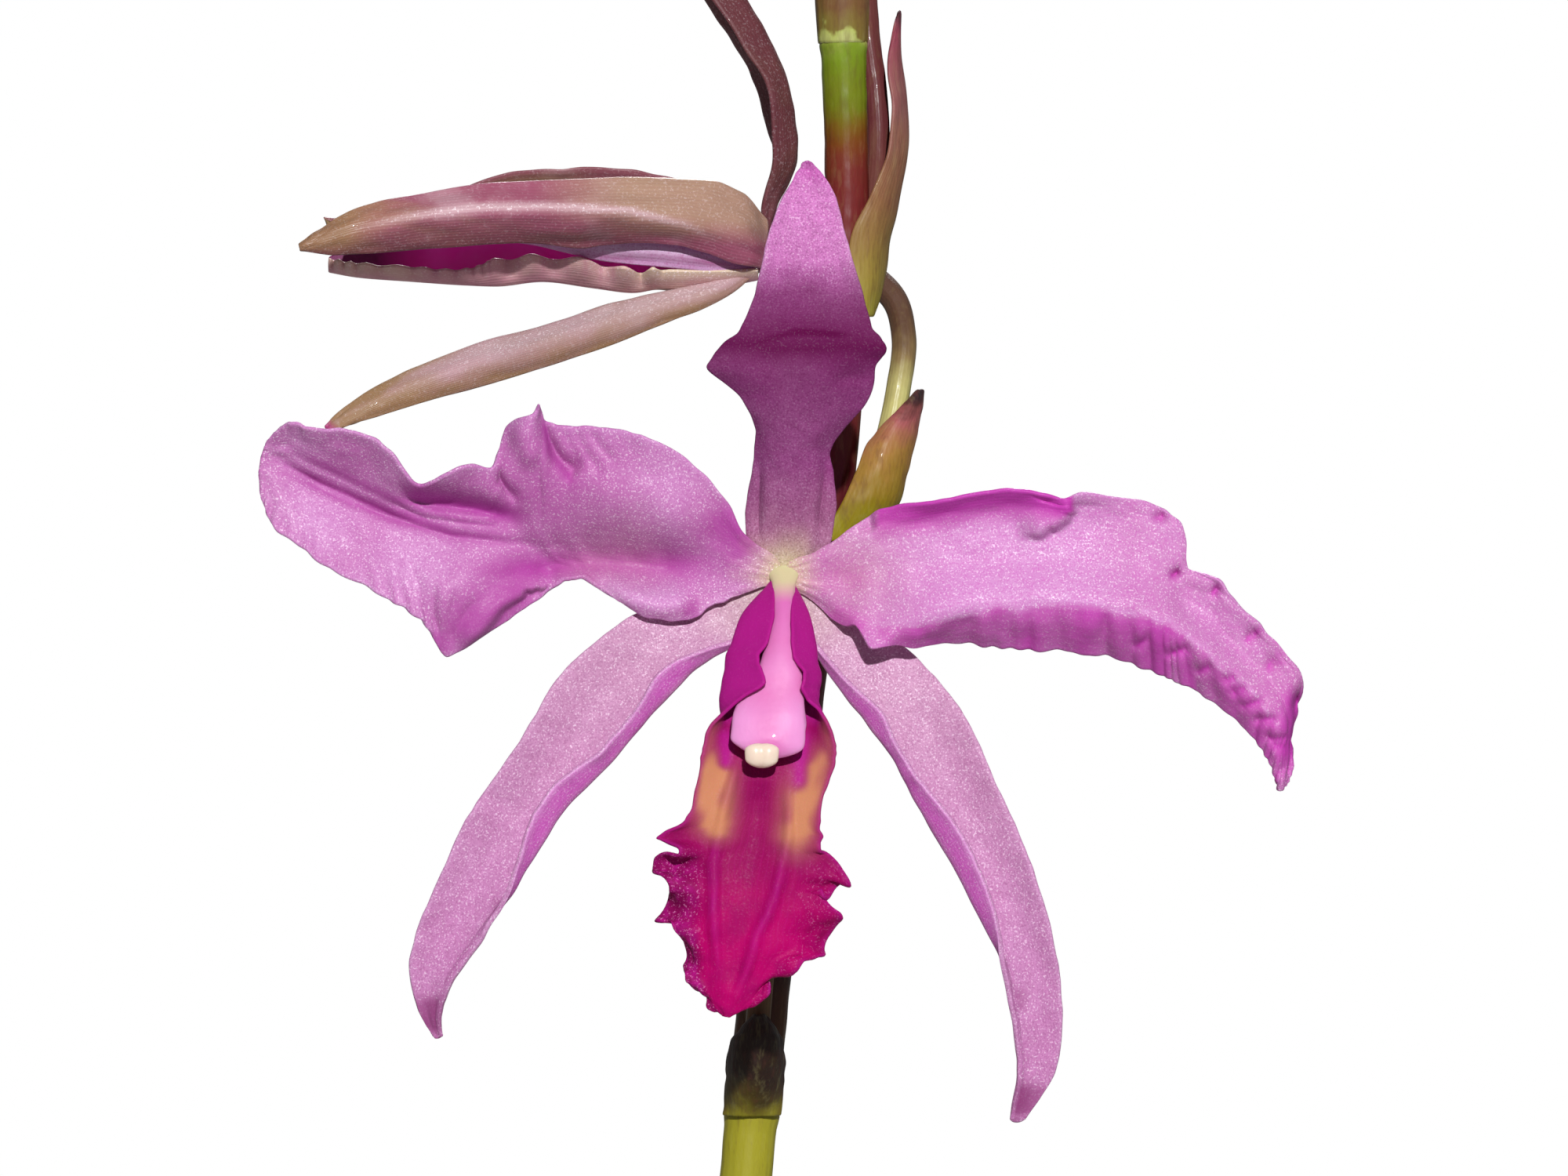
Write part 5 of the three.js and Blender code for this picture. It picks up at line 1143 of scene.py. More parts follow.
blade("lip_skin", ("lip", "lip"), LIP, (150, 42), 0.5, relief=lip_relief, marks=lip_marks,
      inside=lip_finish("lip_magenta"), ragged=0.12, rims=(LIP_LEFT, LIP_RIGHT), main=(0.45, 1))

# %% [markdown]
# The column is the waxy pink body in the throat. It widens to a scoop at its tip, where the cream
# anther cap with its two bumps sits. Both are tubes, the cap pinched in the middle.

# %% Column and anther cap
def wax_finish(name, base, pale, deep, roughness=0.3):
    look = Finish(name, roughness, 0.28, (0.2, (1.0, 0.5, 0.8), 0.002), coat=0.1)
    cloud = look.noise(190, 3)
    deep_mark, pale_mark, cream_mark = look.marks()
    look.start(look.step(cloud, 0.3, 0.7, 0, 0.4), base, pale)
    look.over(pale_mark, pale)
    look.over(deep_mark, deep)
    look.over(cream_mark, (0.62, 0.55, 0.32))
    look.bump(look.noise(1400, 2), 0.15, 0.0002)
    return look.done()


COLUMN_LINE = points("""
    0 1.3 1.7, 0 0.2 0.5, -0.1 -1.6 -1.6, -0.1 -5.4 -4.9, -0.3 -10 -7.4, -0.8 -14.4 -9,
    -1.8 -18.4 -10.4, -2 -21.2 -11.2, -2.2 -23.2 -11.4
""")
COLUMN_WIDTHS = "2.4 0.8, 1.9 0.9, 1.5 1, 1.6 1.2, 2.5 1.4, 3.5 1.5, 4.8 1.5, 4.6 1.3, 3 0.9"
ANTHER_LINE = "-2.8 -21.2 -11.9, -2.8 -22.1 -12.4, -2.85 -23.3 -12.4, -2.9 -24.3 -11.9"


def plain_marks(spots, a, b):
    return three_marks(spots)


def column_marks(spots, a, b):
    height = spots[..., UP]
    centre, low = bell(spots[..., RIGHT] + 1.6, 2), fall(height, -14, 4)
    return three_marks(spots, deep=rise(height, -12, 8) * 0.7 + 0.6 * centre * low,
                       pale=0.9 * (1 - centre) * low, third=rise(height, -3.2, 2.6))


column_look = wax_finish("column_wax", (0.68, 0.18, 0.46), (0.76, 0.30, 0.62), (0.62, 0.13, 0.42), 0.42)
anther_look = wax_finish("anther_cream", (0.78, 0.62, 0.50), (0.84, 0.72, 0.62), (0.75, 0.55, 0.45))
stalk("column_body", ("column", "column"), at(COLUMN_LINE), COLUMN_WIDTHS, (54, 32), column_look,
      relief=lambda a, b: 0.05 * rumple(a, b, 14, 8, 71), marks=column_marks, origin=BLOOM_CENTRE,
      soft=True, round_ends=(0.0, 0.12))
stalk("anther_cap_body", ("anther", "anther_cap"), at(ANTHER_LINE), "1.6 0.6, 2.2 1.0, 2.1 1.0, 1.4 0.6",
      (24, 32), anther_look, relief=lambda a, b: -0.3 * bell(np.cos(2 * np.pi * b), 0.28),
      marks=plain_marks, origin=BLOOM_CENTRE, soft=True, round_ends=(0.25, 0.3))

# %% [markdown]
# ## The second bloom
# It is seen from its side and half shut, so mostly the dusky, brownish-pink outsides show. The near
# sepal lies over it like a keel, and below it the lip's ruffled edge and the magenta inside show.

# %% Dusky finish
def dusky_finish(name, base, brown, pale, gloss=0.36, third=(0.40, 0.01, 0.20)):
    look = Finish(name, gloss, 0.26, (0.06, (1.0, 0.5, 0.6), 0.0015), coat=0.05)
    brown_mark, pale_mark, third_mark = look.marks()
    cloud = look.noise(75, 5, stretch=(0.5, 1, 1.6), roughness=0.65)
    look.start(look.step(cloud, 0.45, 0.75, 0, 0.6), base, brown)
    look.over(look.step(look.noise(140, 4), 0.5, 0.72, 0, 0.4), pale)
    look.over(brown_mark, brown)
    look.over(pale_mark, pale)
    look.over(third_mark, third)
    ridge = look.lines(22, look.times(look.noise(70, 2), 1.2))
    look.over(look.step(ridge, 0.0, 0.2, 0.18, 0.0), (0.22, 0.06, 0.08))
    grain = look.noise(3000, 2, roughness=0.7)
    # painted glint: near-white specks, strongest along the pale mark, that stand for sparkle highlights
    painted_glint = look.times(look.step(grain, 0.54, 0.68, 0, 0.8), look.step(pale_mark, 0, 1, 0.15, 1))
    look.over(painted_glint, (0.95, 0.85, 0.90))
    look.rough(look.step(cloud, 0.3, 0.7, gloss - 0.06, gloss + 0.14))
    look.bump(look.add(look.times(grain, 0.4), ridge), 0.25, 0.0002)
    return look.done()


# The near sepal's finish: its third colour is dark, painted shade for the lower side.
dusky_look = dusky_finish("dusky_outside", (0.33, 0.09, 0.15), (0.34, 0.21, 0.085),
                          (0.62, 0.42, 0.46), third=(0.13, 0.035, 0.05))
pale_dusky = dusky_finish("pale_dusky_outside", (0.42, 0.24, 0.26), (0.30, 0.18, 0.09),
                          (0.56, 0.42, 0.45), 0.5)
# A dark copy of the dusky finish for the upper sepal: painted shadow.
painted_shadow_dusky = dusky_finish("painted_shadow_dusky_outside", (0.12, 0.03, 0.04), (0.14, 0.06, 0.045),
                            (0.24, 0.10, 0.11), 0.45)
far_dusky = dusky_finish("far_petal_skin", (0.22, 0.07, 0.09), (0.26, 0.17, 0.08),
                         (0.44, 0.28, 0.28), 0.45)
lavender_look = tepal_finish("lavender_inside", (0.52, 0.30, 0.50), (0.34, 0.05, 0.20),
                             (0.72, 0.60, 0.76), (0.60, 0.50, 0.34), sparkle=0.1)

# %% [markdown]
# Its three sepals are plain blades. The near one carries a raised keel, drawn once as a line and
# used for the relief and for a painted highlight along it; its lower side is painted darker as
# painted shade. The others get fine ribs, and the upper one takes a dark copy of the finish as
# painted shadow.

# %% Second bloom's sepals
NEAR_SEPAL = rows("""
    -2.2 41.9 20.5, -2.2 41.1 20.8, -2.2 40.2 21.1
    -4.6 48.2 17, -4.6 44 15.4, -4.6 39.9 17.4
    -10 51.4 14, -10.5 46 11.5, -9.5 41.2 14.5
    -18 51.4 11, -18.5 46.5 8.5, -17.5 42.8 12
    -27 50.8 8.5, -27.5 46.4 6, -26.5 42.5 9.5
    -36 50.2 6, -36.5 46.2 3.5, -36 42.6 6.5
    -46 49 4, -46.5 45.6 1.5, -46 41.8 4
    -54 47 2.5, -54.5 44.4 0.5, -54.5 41 2
    -59 44.6 1.5, -59.4 42.8 0.3, -59 41 1
    -61.6 42.4 0.8, -61.8 41.9 0.4, -61.6 41.4 0.6
""")
LOWER_SEPAL = rows("""
    -2.2 41.3 23.6, -2.2 40.7 23.1, -2.2 40 22.4
    -8.6 38 18.6, -8.6 36.6 17.2, -8.6 35.3 17.6
    -14.6 36.8 18.6, -14.6 34.8 16.6, -14.6 32.8 17.2
    -22.6 35 20.2, -22.6 32.3 17.8, -22.6 29.6 18.8
    -30.6 32.4 22, -30.6 29.7 19.5, -30.6 27 20.7
    -38.6 30.3 24.4, -38.6 27.5 21.9, -38.6 24.6 23
    -46.6 27.3 24.2, -46.6 24.9 22, -46 22.6 22.8
    -53 24.2 23.2, -52.8 22.4 21.5, -52 20.7 22
    -57.6 20.8 21.5, -57 20.1 20.8, -55.9 19.5 21
    -59.2 19.1 20.3, -58.8 18.7 20, -58.4 18.4 20.1
""")
UPPER_SEPAL = rows("""
    -2.2 42.9 21.4, -2.2 42.8 22.2, -2.2 42.6 23.1
    -2.8 47.5 19.4, -1.4 47.5 21, -2.6 47.5 25
    -1.4 53 17, 1.3 53 20.5, -0.6 53 26
    -1.5 58 16, 1.3 58.2 20, -2.4 58.5 26.5
    -2.2 63 15.5, 0.2 64 19.5, -3.6 63.4 26.5
    -4.8 67.4 15.5, -2 69 19.5, -6 68 26
    -8.1 72.5 16, -4.9 74 19.5, -9.6 73.4 25.4
    -12.5 79 17, -9.4 80.4 20, -13.6 79.4 25
    -16.5 86 18.5, -14.5 87 20.5, -17.4 86 23.8
    -19.6 90.6 20.2, -19.4 91.4 20.8, -20.2 90.8 21.6
""")


def ribbed(seed, amount):
    def relief(spots, a, b):
        puff(spots, amount * rumple(a, b, 30, 10, seed) + 0.05 * wave(9 * b))
    return relief


NEAR_TOP = points("""
    -2.2 46, -5.2 49.3, -8.5 50.7, -15 51.1, -21.2 51.1, -29.4 50.7, -37.5 50.3, -42.4 49.6, -47.3 48.6,
    -51.2 48, -53.8 47.2, -57.1 45.7, -60 43.6, -61.8 42
""")
NEAR_LOW = points("""
    -2.2 39.6, -6.5 40.2, -9.8 41.5, -13.1 42.6, -16.3 42.8, -19.6 42.8, -23.5 42.4, -25.8 41.9, -27.8 42.1,
    -31 42.6, -34.3 42.8, -39.2 42.4, -45.7 41.9, -52.2 41.3, -57.8 41, -60 41.3, -61.8 41.9
""")
KEEL_AND_PAINTED_SHINE = "-54 44.4, -48 45.8, -40 47, -30 47.2, -20 46.8, -12 45, -8 43"


def near_sepal_marks(spots, a, b):
    right, height = spots[..., RIGHT], spots[..., UP]
    tan = rise(right, -32, 12) * rise(height + 0.1 * right, 42, 3)
    low = 0.85 * rise(b, 0.58, 0.36) * fall(right, -14, 10)
    # The pale mark is a painted highlight along the keel line, with a light tint on the tan patch; the third
    # mark, dark brown-mauve, is painted shade, mostly along the lower side.
    return three_marks(spots, deep=np.clip(0.85 * tan + fall(right, -50, 6) * 0.85, 0, 1),
                       pale=np.maximum(0.9 * stroke(spots, KEEL_AND_PAINTED_SHINE, 0.42, 0.3), 0.22 * tan),
                       third=np.maximum(low, 0.25 * fall(right, -52, 5)))


def lower_sepal_marks(spots, a, b):
    brown = 0.9 * bell(b - 0.02, 0.2) * rise(a, 0.55, 0.15) + 0.9 * bell(b - 1, 0.36)
    brown = brown + 0.35 * rumple(a, b, 26, 5, 84) + rise(a, 0.6, 0.2) * 0.8
    return three_marks(spots, deep=np.clip(brown, 0, 1), third=rise(a, 0.93, 0.05) * 0.8,
                       pale=0.55 * bell(b - 0.25, 0.25) * fall(a, 0.75, 0.2))


def near_sepal_relief(spots, a, b):
    crease(spots, KEEL_AND_PAINTED_SHINE, -0.9, 1.3, 0.2)
    crease(spots, "-34 43.4, -26 42.8, -20 43.4", 0.8, 0.9)
    puff(spots, 0.16 * rumple(a, b, 24, 8, 81))


blade("left_bloom_near_sepal_skin", ("dusky", "left_bloom_near_sepal"), NEAR_SEPAL, (84, 20), 0.7,
      relief=near_sepal_relief, marks=near_sepal_marks, inside=dusky_look, outside=petal_look,
      rims=(NEAR_TOP, NEAR_LOW))
blade("left_bloom_lower_sepal_skin", ("dusky", "left_bloom_lower_sepal"), LOWER_SEPAL, (60, 12), 0.7,
      relief=ribbed(82, 0.12), marks=lower_sepal_marks, inside=pale_dusky, outside=petal_look)
blade("left_bloom_upper_sepal_skin", ("dusky", "left_bloom_upper_sepal"), UPPER_SEPAL, (56, 14), 0.7,
      relief=ribbed(83, 0.2), marks=plain_marks, inside=painted_shadow_dusky, outside=painted_shadow_dusky)

# %% [markdown]
# Its petals show little: the near one as a lavender strip under the keel, with one drawn fold that
# has a painted highlight on its ridge and painted shade under it, the far one behind it as a dusky
# band with a notch and a fine ragged top.

# %% Second bloom's petals
NEAR_PETAL = rows("""
    -3.3 43 21.6, -3.3 41.3 21, -3.3 38.9 20.4
    -8 47 20, -8 43 17.8, -7.5 39 17.8
    -16 49 18.5, -16 45 14.8, -14.5 39.6 15.4
    -25 49.4 17, -25 45.4 12.8, -23.5 40.5 14.4
    -34 49 15.5, -34 46 11.4, -34 42.8 13.4
    -42 48 13.5, -43 45.2 10.4, -43 42.6 12.2
    -50 46 12, -51 44 10, -50 42.4 11.2
    -56 43.8 11, -56.4 43 10.6, -56 42.4 11
""")
FAR_PETAL = rows("""
    -3.3 43.2 22.9, -3.3 41.9 23.2, -3.3 41.1 23.5
    -9 49.4 27.4, -9 44.5 28.2, -9 41 27.6
    -18.2 52.4 29.5, -18 46 33, -18 40 31.4
    -28.4 52.9 30, -28 46 35.5, -28 39 33
    -37.6 52 31, -38 46 36, -38 40 33
    -48 47.4 31, -48 46 34, -48 41.5 32
    -56 46 29.5, -56 45.4 31, -55.5 43.8 30
    -59.6 46.5 28.8, -59.2 45.6 29, -59 45.2 29
""")


def near_petal_relief(spots, a, b):
    puff(spots, 0.5 * fall(b, 0.2, 0.2) * wave(13 * a + wander(a, 8, 91)))
    crease(spots, "-26 42.2, -16 41.6, -6 40.2", -0.9, 0.5)
    crease(spots, "-24 41, -14 40.6, -5 39.4", 0.6, 0.35)


def far_petal_relief(spots, a, b):
    crease(spots, "-28.2 52.4, -28.6 50", 1.2, 0.5, 0)
    puff(spots, 0.35 * fall(b, 0.3, 0.3) * wander(a, 30, 94))


def near_petal_marks(spots, a, b):
    # painted shade in a dark line under the fold's ridge, and a painted highlight in a pale line on it
    return three_marks(spots, deep=0.8 * stroke(spots, "-26 41.4, -16 41, -5 39.8", 0.35, 0.2),
                       pale=0.8 * stroke(spots, "-26 42.4, -16 41.9, -6 40.6", 0.7, 0.2))


def far_petal_marks(spots, a, b):
    return three_marks(spots, deep=rise(b, 0.04, 0.06) * fall(spots[..., RIGHT], -24, 6))


blade("left_bloom_near_petal_skin", ("pale_petal", "left_bloom_near_petal"), NEAR_PETAL, (60, 14), 0.6,
      relief=near_petal_relief, marks=near_petal_marks, inside=lavender_look, outside=petal_look)
blade("left_bloom_far_petal_skin", ("petal", "left_bloom_far_petal"), FAR_PETAL, (60, 14), 0.6,
      relief=far_petal_relief, marks=far_petal_marks, inside=far_dusky, outside=far_dusky)

# %% [markdown]
# The second bloom's lip is a trough seen from the side. Its near edge is ruffled in small cream
# and pink frills, and its inside is deep magenta, painted near black toward its left end as painted
# shadow under the near sepal.

# %% Second bloom's lip and column
LEFT_LIP = rows("""
    -3.3 39.6 19.4, -3.3 38.9 20.4, -3.3 38.4 21.6, -3.3 40.2 22.7
    -8.5 39.4 17.2, -8.5 38.4 18.2, -8.5 37.4 20.6, -9 40.6 23.8
    -13.7 39.4 15.6, -13.7 38.2 16.8, -13.7 36.9 20, -15 41.7 25
    -16.4 39.4 15, -16.4 38.2 16.4, -16.4 37.2 19.6, -17 42 21
    -19.4 39.3 15, -19.4 38.1 16.2, -19.4 36.7 18.8, -20 42.6 20.4
    -24.6 40.5 14.6, -24.6 39 15.6, -24.6 37.3 18.6, -25 43.5 20
    -31 41.1 14.2, -31 39.8 15, -31 38.1 18, -32 44.6 19.6
    -36.6 40.8 14, -36.6 39.4 14.8, -36.6 37.5 17.6, -37 44.6 19
    -40.8 39.4 13.8, -40.8 38.6 14.6, -40.8 37.7 17.4, -42 44.4 18.6
    -48.3 39.7 13.6, -48.3 39 14.4, -48.3 38.2 17, -48 43.6 18.4
    -55 40.2 13.8, -55 39.4 14.6, -55 38.7 16.6, -55 42.8 18.2
    -58.4 40.8 15.2, -58.6 40 15.6, -58.6 39.3 16.6, -58.6 41.1 17
""")


def left_lip_folds(a):
    return np.abs(hump(30 * a + 1.2 * wander(a, 10, 95))) - 0.5


def left_lip_relief(spots, a, b):
    near = fall(b, 0.5, 0.5)
    tight = left_lip_folds(a)
    wide = wave(11 * a + 0.6 * wander(a, 6, 96))
    left = rise(a, 0.62, 0.08)
    tube = rise(a, 0.22, 0.06)
    spots[..., BACK] -= near ** 0.6 * (1.5 * left * tight + 1.4 * (1 - left) * tube * wide)
    spots[..., UP] += 0.3 * near * (left * tight + (1 - left) * tube * wide)


def left_lip_marks(spots, a, b):
    right, near = spots[..., RIGHT], fall(b, 0.6, 0.6)
    rosy = fall(right, -34, 6) * rise(right, -50, 5)
    folds = np.clip(-2 * left_lip_folds(a), 0, 1)
    # painted shadow: the inside turns dark toward its left end, under the near sepal
    painted_shadow_inside = rise(b, 0.5, 0.2) * fall(right, -45, 8)
    return three_marks(spots, deep=np.maximum(0.5 * near * fall(right, -48, 6), painted_shadow_inside),
                       pale=near * (0.4 + 0.6 * rise(right, -22, 4)),
                       third=near * (0.22 * rosy + 0.3 * folds) * (right < -18))


left_lip_look = dusky_finish("left_lip_edge", (0.56, 0.25, 0.33), (0.44, 0.32, 0.24),
                             (0.70, 0.56, 0.40), 0.45)
# Its deep colour is near black: painted shadow inside the trough's left end.
left_lip_inside = wax_finish("left_lip_inside", (0.85, 0.02, 0.46), (0.82, 0.12, 0.55),
                             (0.13, 0.005, 0.07), 0.5)
blade("left_bloom_lip_skin", ("lip", "left_bloom_lip"), LEFT_LIP, (130, 18), 0.5, relief=left_lip_relief,
      marks=left_lip_marks, inside=left_lip_look, outside=left_lip_inside)
stalk("left_bloom_column_body", ("column", "left_bloom_column"),
      at("-3.4 41.5 22, -8 42 22, -16 42.4 21.4, -24 42 20.6, -27 41.6 20.2"),
      "0.9 0.9, 1.1 1.2, 1.3 1.8, 1.4 2.4, 0.8 1.2", (30, 24), column_look, side=(0, 0, 1),
      marks=plain_marks, origin=BLOOM_CENTRE, soft=True, round_ends=(0, 0.15))

# %% [markdown]
# ## The stem
# The flower stem runs from the spathe up through four nodes. Its colour changes with height: olive
# below, near black from about 60 to 30 mm under the bloom's centre as painted shadow of the lip,
# dark maroon behind the bloom, and bright green under the pale ring near the top.

# %% Stem finish
def plant_finish(name, stops, roughness, line_share, lines=20, coat=0.06, high=None):
    """Colours by height in millimetres above the open bloom's centre, with fine long lines."""
    low, high = stops[0][0], high or stops[-1][0]
    look = Finish(name, roughness, 0.24, (0.05, (0.8, 0.6, 0.3), 0.0015), coat)
    height = look.height()
    drift = look.times(look.minus(look.noise(170, 4), 0.5), 0.012)
    place = look.node("MapRange", {"Value": look.add(height, drift), "From Min": low * MM,
                                   "From Max": high * MM}).outputs[0]
    span = high - low
    look.ramp(place, [((up - low) / span, shade) for up, shade in stops])
    speck = look.noise(900, 3, stretch=(1, 1, 0.25), roughness=0.7)
    look.over(look.step(speck, 0.5, 0.72, 0, line_share), (0.10, 0.03, 0.02))
    look.over(look.step(speck, 0.5, 0.28, 0, line_share * 0.3), (0.55, 0.50, 0.22))
    lane = look.lines(lines)
    look.rough(look.step(speck, 0.3, 0.7, roughness - 0.05, roughness + 0.15))
    look.bump(look.add(look.times(lane, 0.5), speck), 0.25, 0.0003)
    return look.done()


stem_look = plant_finish("stem_skin", [
    (-300, (0.22, 0.24, 0.05)), (-90, (0.34, 0.32, 0.022)), (-68, (0.30, 0.27, 0.02)),
    # The near-black stops from -60 to -30 mm are painted shadow: the lip's shadow on the stem.
    (-60, (0.08, 0.03, 0.01)), (-50, (0.03, 0.008, 0.006)), (-30, (0.06, 0.01, 0.012)),
    (10, (0.09, 0.01, 0.015)), (36, (0.13, 0.016, 0.018)), (50, (0.16, 0.018, 0.018)),
    (55, (0.17, 0.045, 0.008)), (59, (0.17, 0.10, 0.008)), (62, (0.15, 0.17, 0.008)),
    (68.2, (0.17, 0.27, 0.012)), (69.4, (0.40, 0.42, 0.10)), (76, (0.40, 0.30, 0.08)),
    (100, (0.32, 0.34, 0.08))], 0.32, 0.26, high=110)

STEM_LINE = points("""
    -21.7 -283.6 22.7, -20.5 -230 22.6, -14 -160 22, -5.2 -80 22, -2 -48 22, 2 -15 22, 6.3 14.6 22,
    8.1 43.5 22, 8 56 22, 7.6 70.6 22
""")
STEM_RADII = [3.2, 4, 3.8, 3.4, 3.3, 3.25, 3.1, 2.95, 2.8, 2.95]
NODES_UP = [-131, -69.5, 4.5, 33.4, 68.4]  # heights where a bract is seated


def stem_relief(a, b):
    line = follow(at(STEM_LINE), a[:, 0])[:, 2:3]
    rings = sum(0.07 * bell(line - up, 0.9) for up in NODES_UP)
    return rings + 0.012 * wave(5 * b) + 0.02 * rumple(a, b, 90, 8, 101)


stalk("flower_stem", ("stalk", "peduncle"), at(STEM_LINE), evenly(STEM_RADII), (360, 32), stem_look,
      relief=stem_relief, origin=BLOOM_CENTRE)

# %% [markdown]
# The bracts clasp the nodes. They are thin and papery, yellow-green at the foot and brown-maroon
# toward their dark pointed tips. The front bract lies in the lip's shadow and is painted near black
# as painted shadow. A row of points on part of an oval gives the clasping sections.


# %% Bracts
def clasp(middle, reach_right, reach_back, start, end):
    turns = np.radians(np.linspace(start, end, 5))
    return [[middle[0] + reach_right * math.cos(turn), middle[1],
             middle[2] + reach_back * math.sin(turn)] for turn in turns]


BRACTS = {
    "bract_front": [
        clasp([-4.1, -69.5, 22], 4.1, 4.1, -155, -25), clasp([-3.75, -64, 21], 3.7, 7.3, -172, -8),
        clasp([-3.5, -59.8, 19.2], 3.4, 6.8, -165, -15), clasp([-3.2, -56.2, 16.6], 0.9, 4.4, -125, -55)],
    "bract_right": [
        clasp([5, 4.5, 22], 4.1, 4.1, -100, 80),
        "7.4 9.5 18.1, 10.6 9.3 18, 13.6 9.2 19.8, 14.5 9.2 23.4, 11.4 9.4 26",
        "9.2 13.5 18.8, 12 13.5 18, 14.8 13.5 19.8, 15.7 13.5 23.6, 12.8 13.5 26.6",
        "11 17.6 20.2, 13.2 17.5 18.8, 15.8 17.5 20.4, 16.7 17.5 24.2, 14.4 17.6 27.2",
        "14.2 20.8 21, 15.4 21 20.2, 17 21 21.6, 17.5 21 24.4, 16.2 21.2 26.6",
        "17.2 23.9 22.7, 17.4 24.1 22.6, 17.7 24.2 23, 17.8 24.1 23.9, 17.6 23.9 24.4"],
    "bract_upper": [
        clasp([7.75, 33.4, 22], 3.75, 3.75, -80, 80),
        "8.3 38 18.3, 10.9 38 19.2, 12.4 37.9 22.2, 12.6 38 26, 10.2 38 28.4",
        "8.6 44 18.4, 11.2 43.6 19.2, 13.1 43.2 22.4, 13.4 43.6 26.2, 11.2 44 28.9",
        "11 48.8 19, 12.8 49 20, 14.6 49.2 23.2, 14.6 49.2 26.4, 12.6 49.2 28.8",
        "13.3 54.4 20, 14.6 55 21.4, 15.8 55.6 24, 15.3 55.6 26.8, 13.9 55.6 28.6",
        "13.9 61 20.8, 14.9 61 22.2, 15.7 61 24.6, 15.4 61 26.8, 14.3 61 28.3",
        "13.4 66.5 22, 14.4 67 23, 15 67.2 25, 14.7 67 26.6, 13.8 66.5 27.8",
        "14.4 72 24.3, 14.7 72.8 24.7, 14.9 73.2 25.3, 14.8 72.8 25.9, 14.7 72 26.4"],
    "low_bract": [
        clasp([-10.9, -131, 22], 4.7, 4.7, 40, 320), clasp([-10.2, -122, 22], 5, 5, 60, 300),
        clasp([-9.4, -112, 22], 5, 5, 110, 250), clasp([-9, -103.6, 22], 5, 5, 165, 195)],
}
BRACT_COLOURS = {
    # bract_front turns near black above -67 mm: painted shadow of the lip
    "bract_front": [(-70, (0.22, 0.19, 0.014)), (-67, (0.07, 0.045, 0.008)), (-63.5, (0.02, 0.008, 0.005)),
                    (-56, (0.016, 0.005, 0.005))],
    "bract_right": [(4, (0.25, 0.24, 0.006)), (10, (0.22, 0.165, 0.004)), (15.5, (0.34, 0.18, 0.04)),
                    (21, (0.36, 0.10, 0.10)), (22.6, (0.10, 0.03, 0.03)), (24, (0.03, 0.015, 0.02))],
    "bract_upper": [(33, (0.30, 0.27, 0.03)), (40, (0.28, 0.19, 0.04)), (50, (0.24, 0.11, 0.05)),
                    (60, (0.28, 0.11, 0.10)), (70, (0.26, 0.05, 0.08)), (73, (0.06, 0.02, 0.03))],
    "low_bract": [(-131, (0.26, 0.27, 0.08)), (-115, (0.40, 0.34, 0.18)), (-104, (0.36, 0.26, 0.15))],
}


def bract_relief(seed):
    def relief(spots, a, b):
        puff(spots, 0.05 * wave(11 * b) + 0.12 * rumple(a, b, 14, 6, seed))
        edge = np.abs(2 * b - 1) ** 4
        puff(spots, 0.25 * edge * wander(a, 16, seed + 1) * a)
    return relief


for number, (name, table) in enumerate(BRACTS.items()):
    skin_look = plant_finish(name + "_skin", BRACT_COLOURS[name], 0.45, 0.35, coat=0.05)
    blade(name + "_cover", ("bract", name), table, (40, 18), 0.5, relief=bract_relief(110 + number),
          marks=plain_marks, inside=skin_look)

tip_look = plant_finish("bract_tip_skin", [
    (68, (0.44, 0.46, 0.16)), (69, (0.42, 0.46, 0.12)), (69.6, (0.20, 0.15, 0.03)),
    (73.5, (0.17, 0.08, 0.03)), (84, (0.24, 0.16, 0.06)), (98, (0.25, 0.12, 0.08))], 0.4, 0.35)
TIP_SEAM = 0.8  # where round the tip its open edge lies, as a share of a turn


def tip_relief(a, b):
    return 0.02 * wave(12 * b) - 0.08 * bell(b - TIP_SEAM + 0.1 * a, 0.012) * a


stalk("bract_tip_cover", ("bract", "bract_tip"),
      at("7.6 68.4 22, 7.5 74 22, 7.2 84 22, 7.4 92 22.4, 8 98 23"), evenly([3.2, 3.5, 3.6, 2.6, 0.6]),
      (60, 36), tip_look, relief=tip_relief, origin=BLOOM_CENTRE, round_ends=(0.02, 0.04))

# %% [markdown]
# Each bloom hangs on a pedicel, a round stalk that is pale green low down and purple-brown above.
# The left bloom's pedicel arches behind the stem.

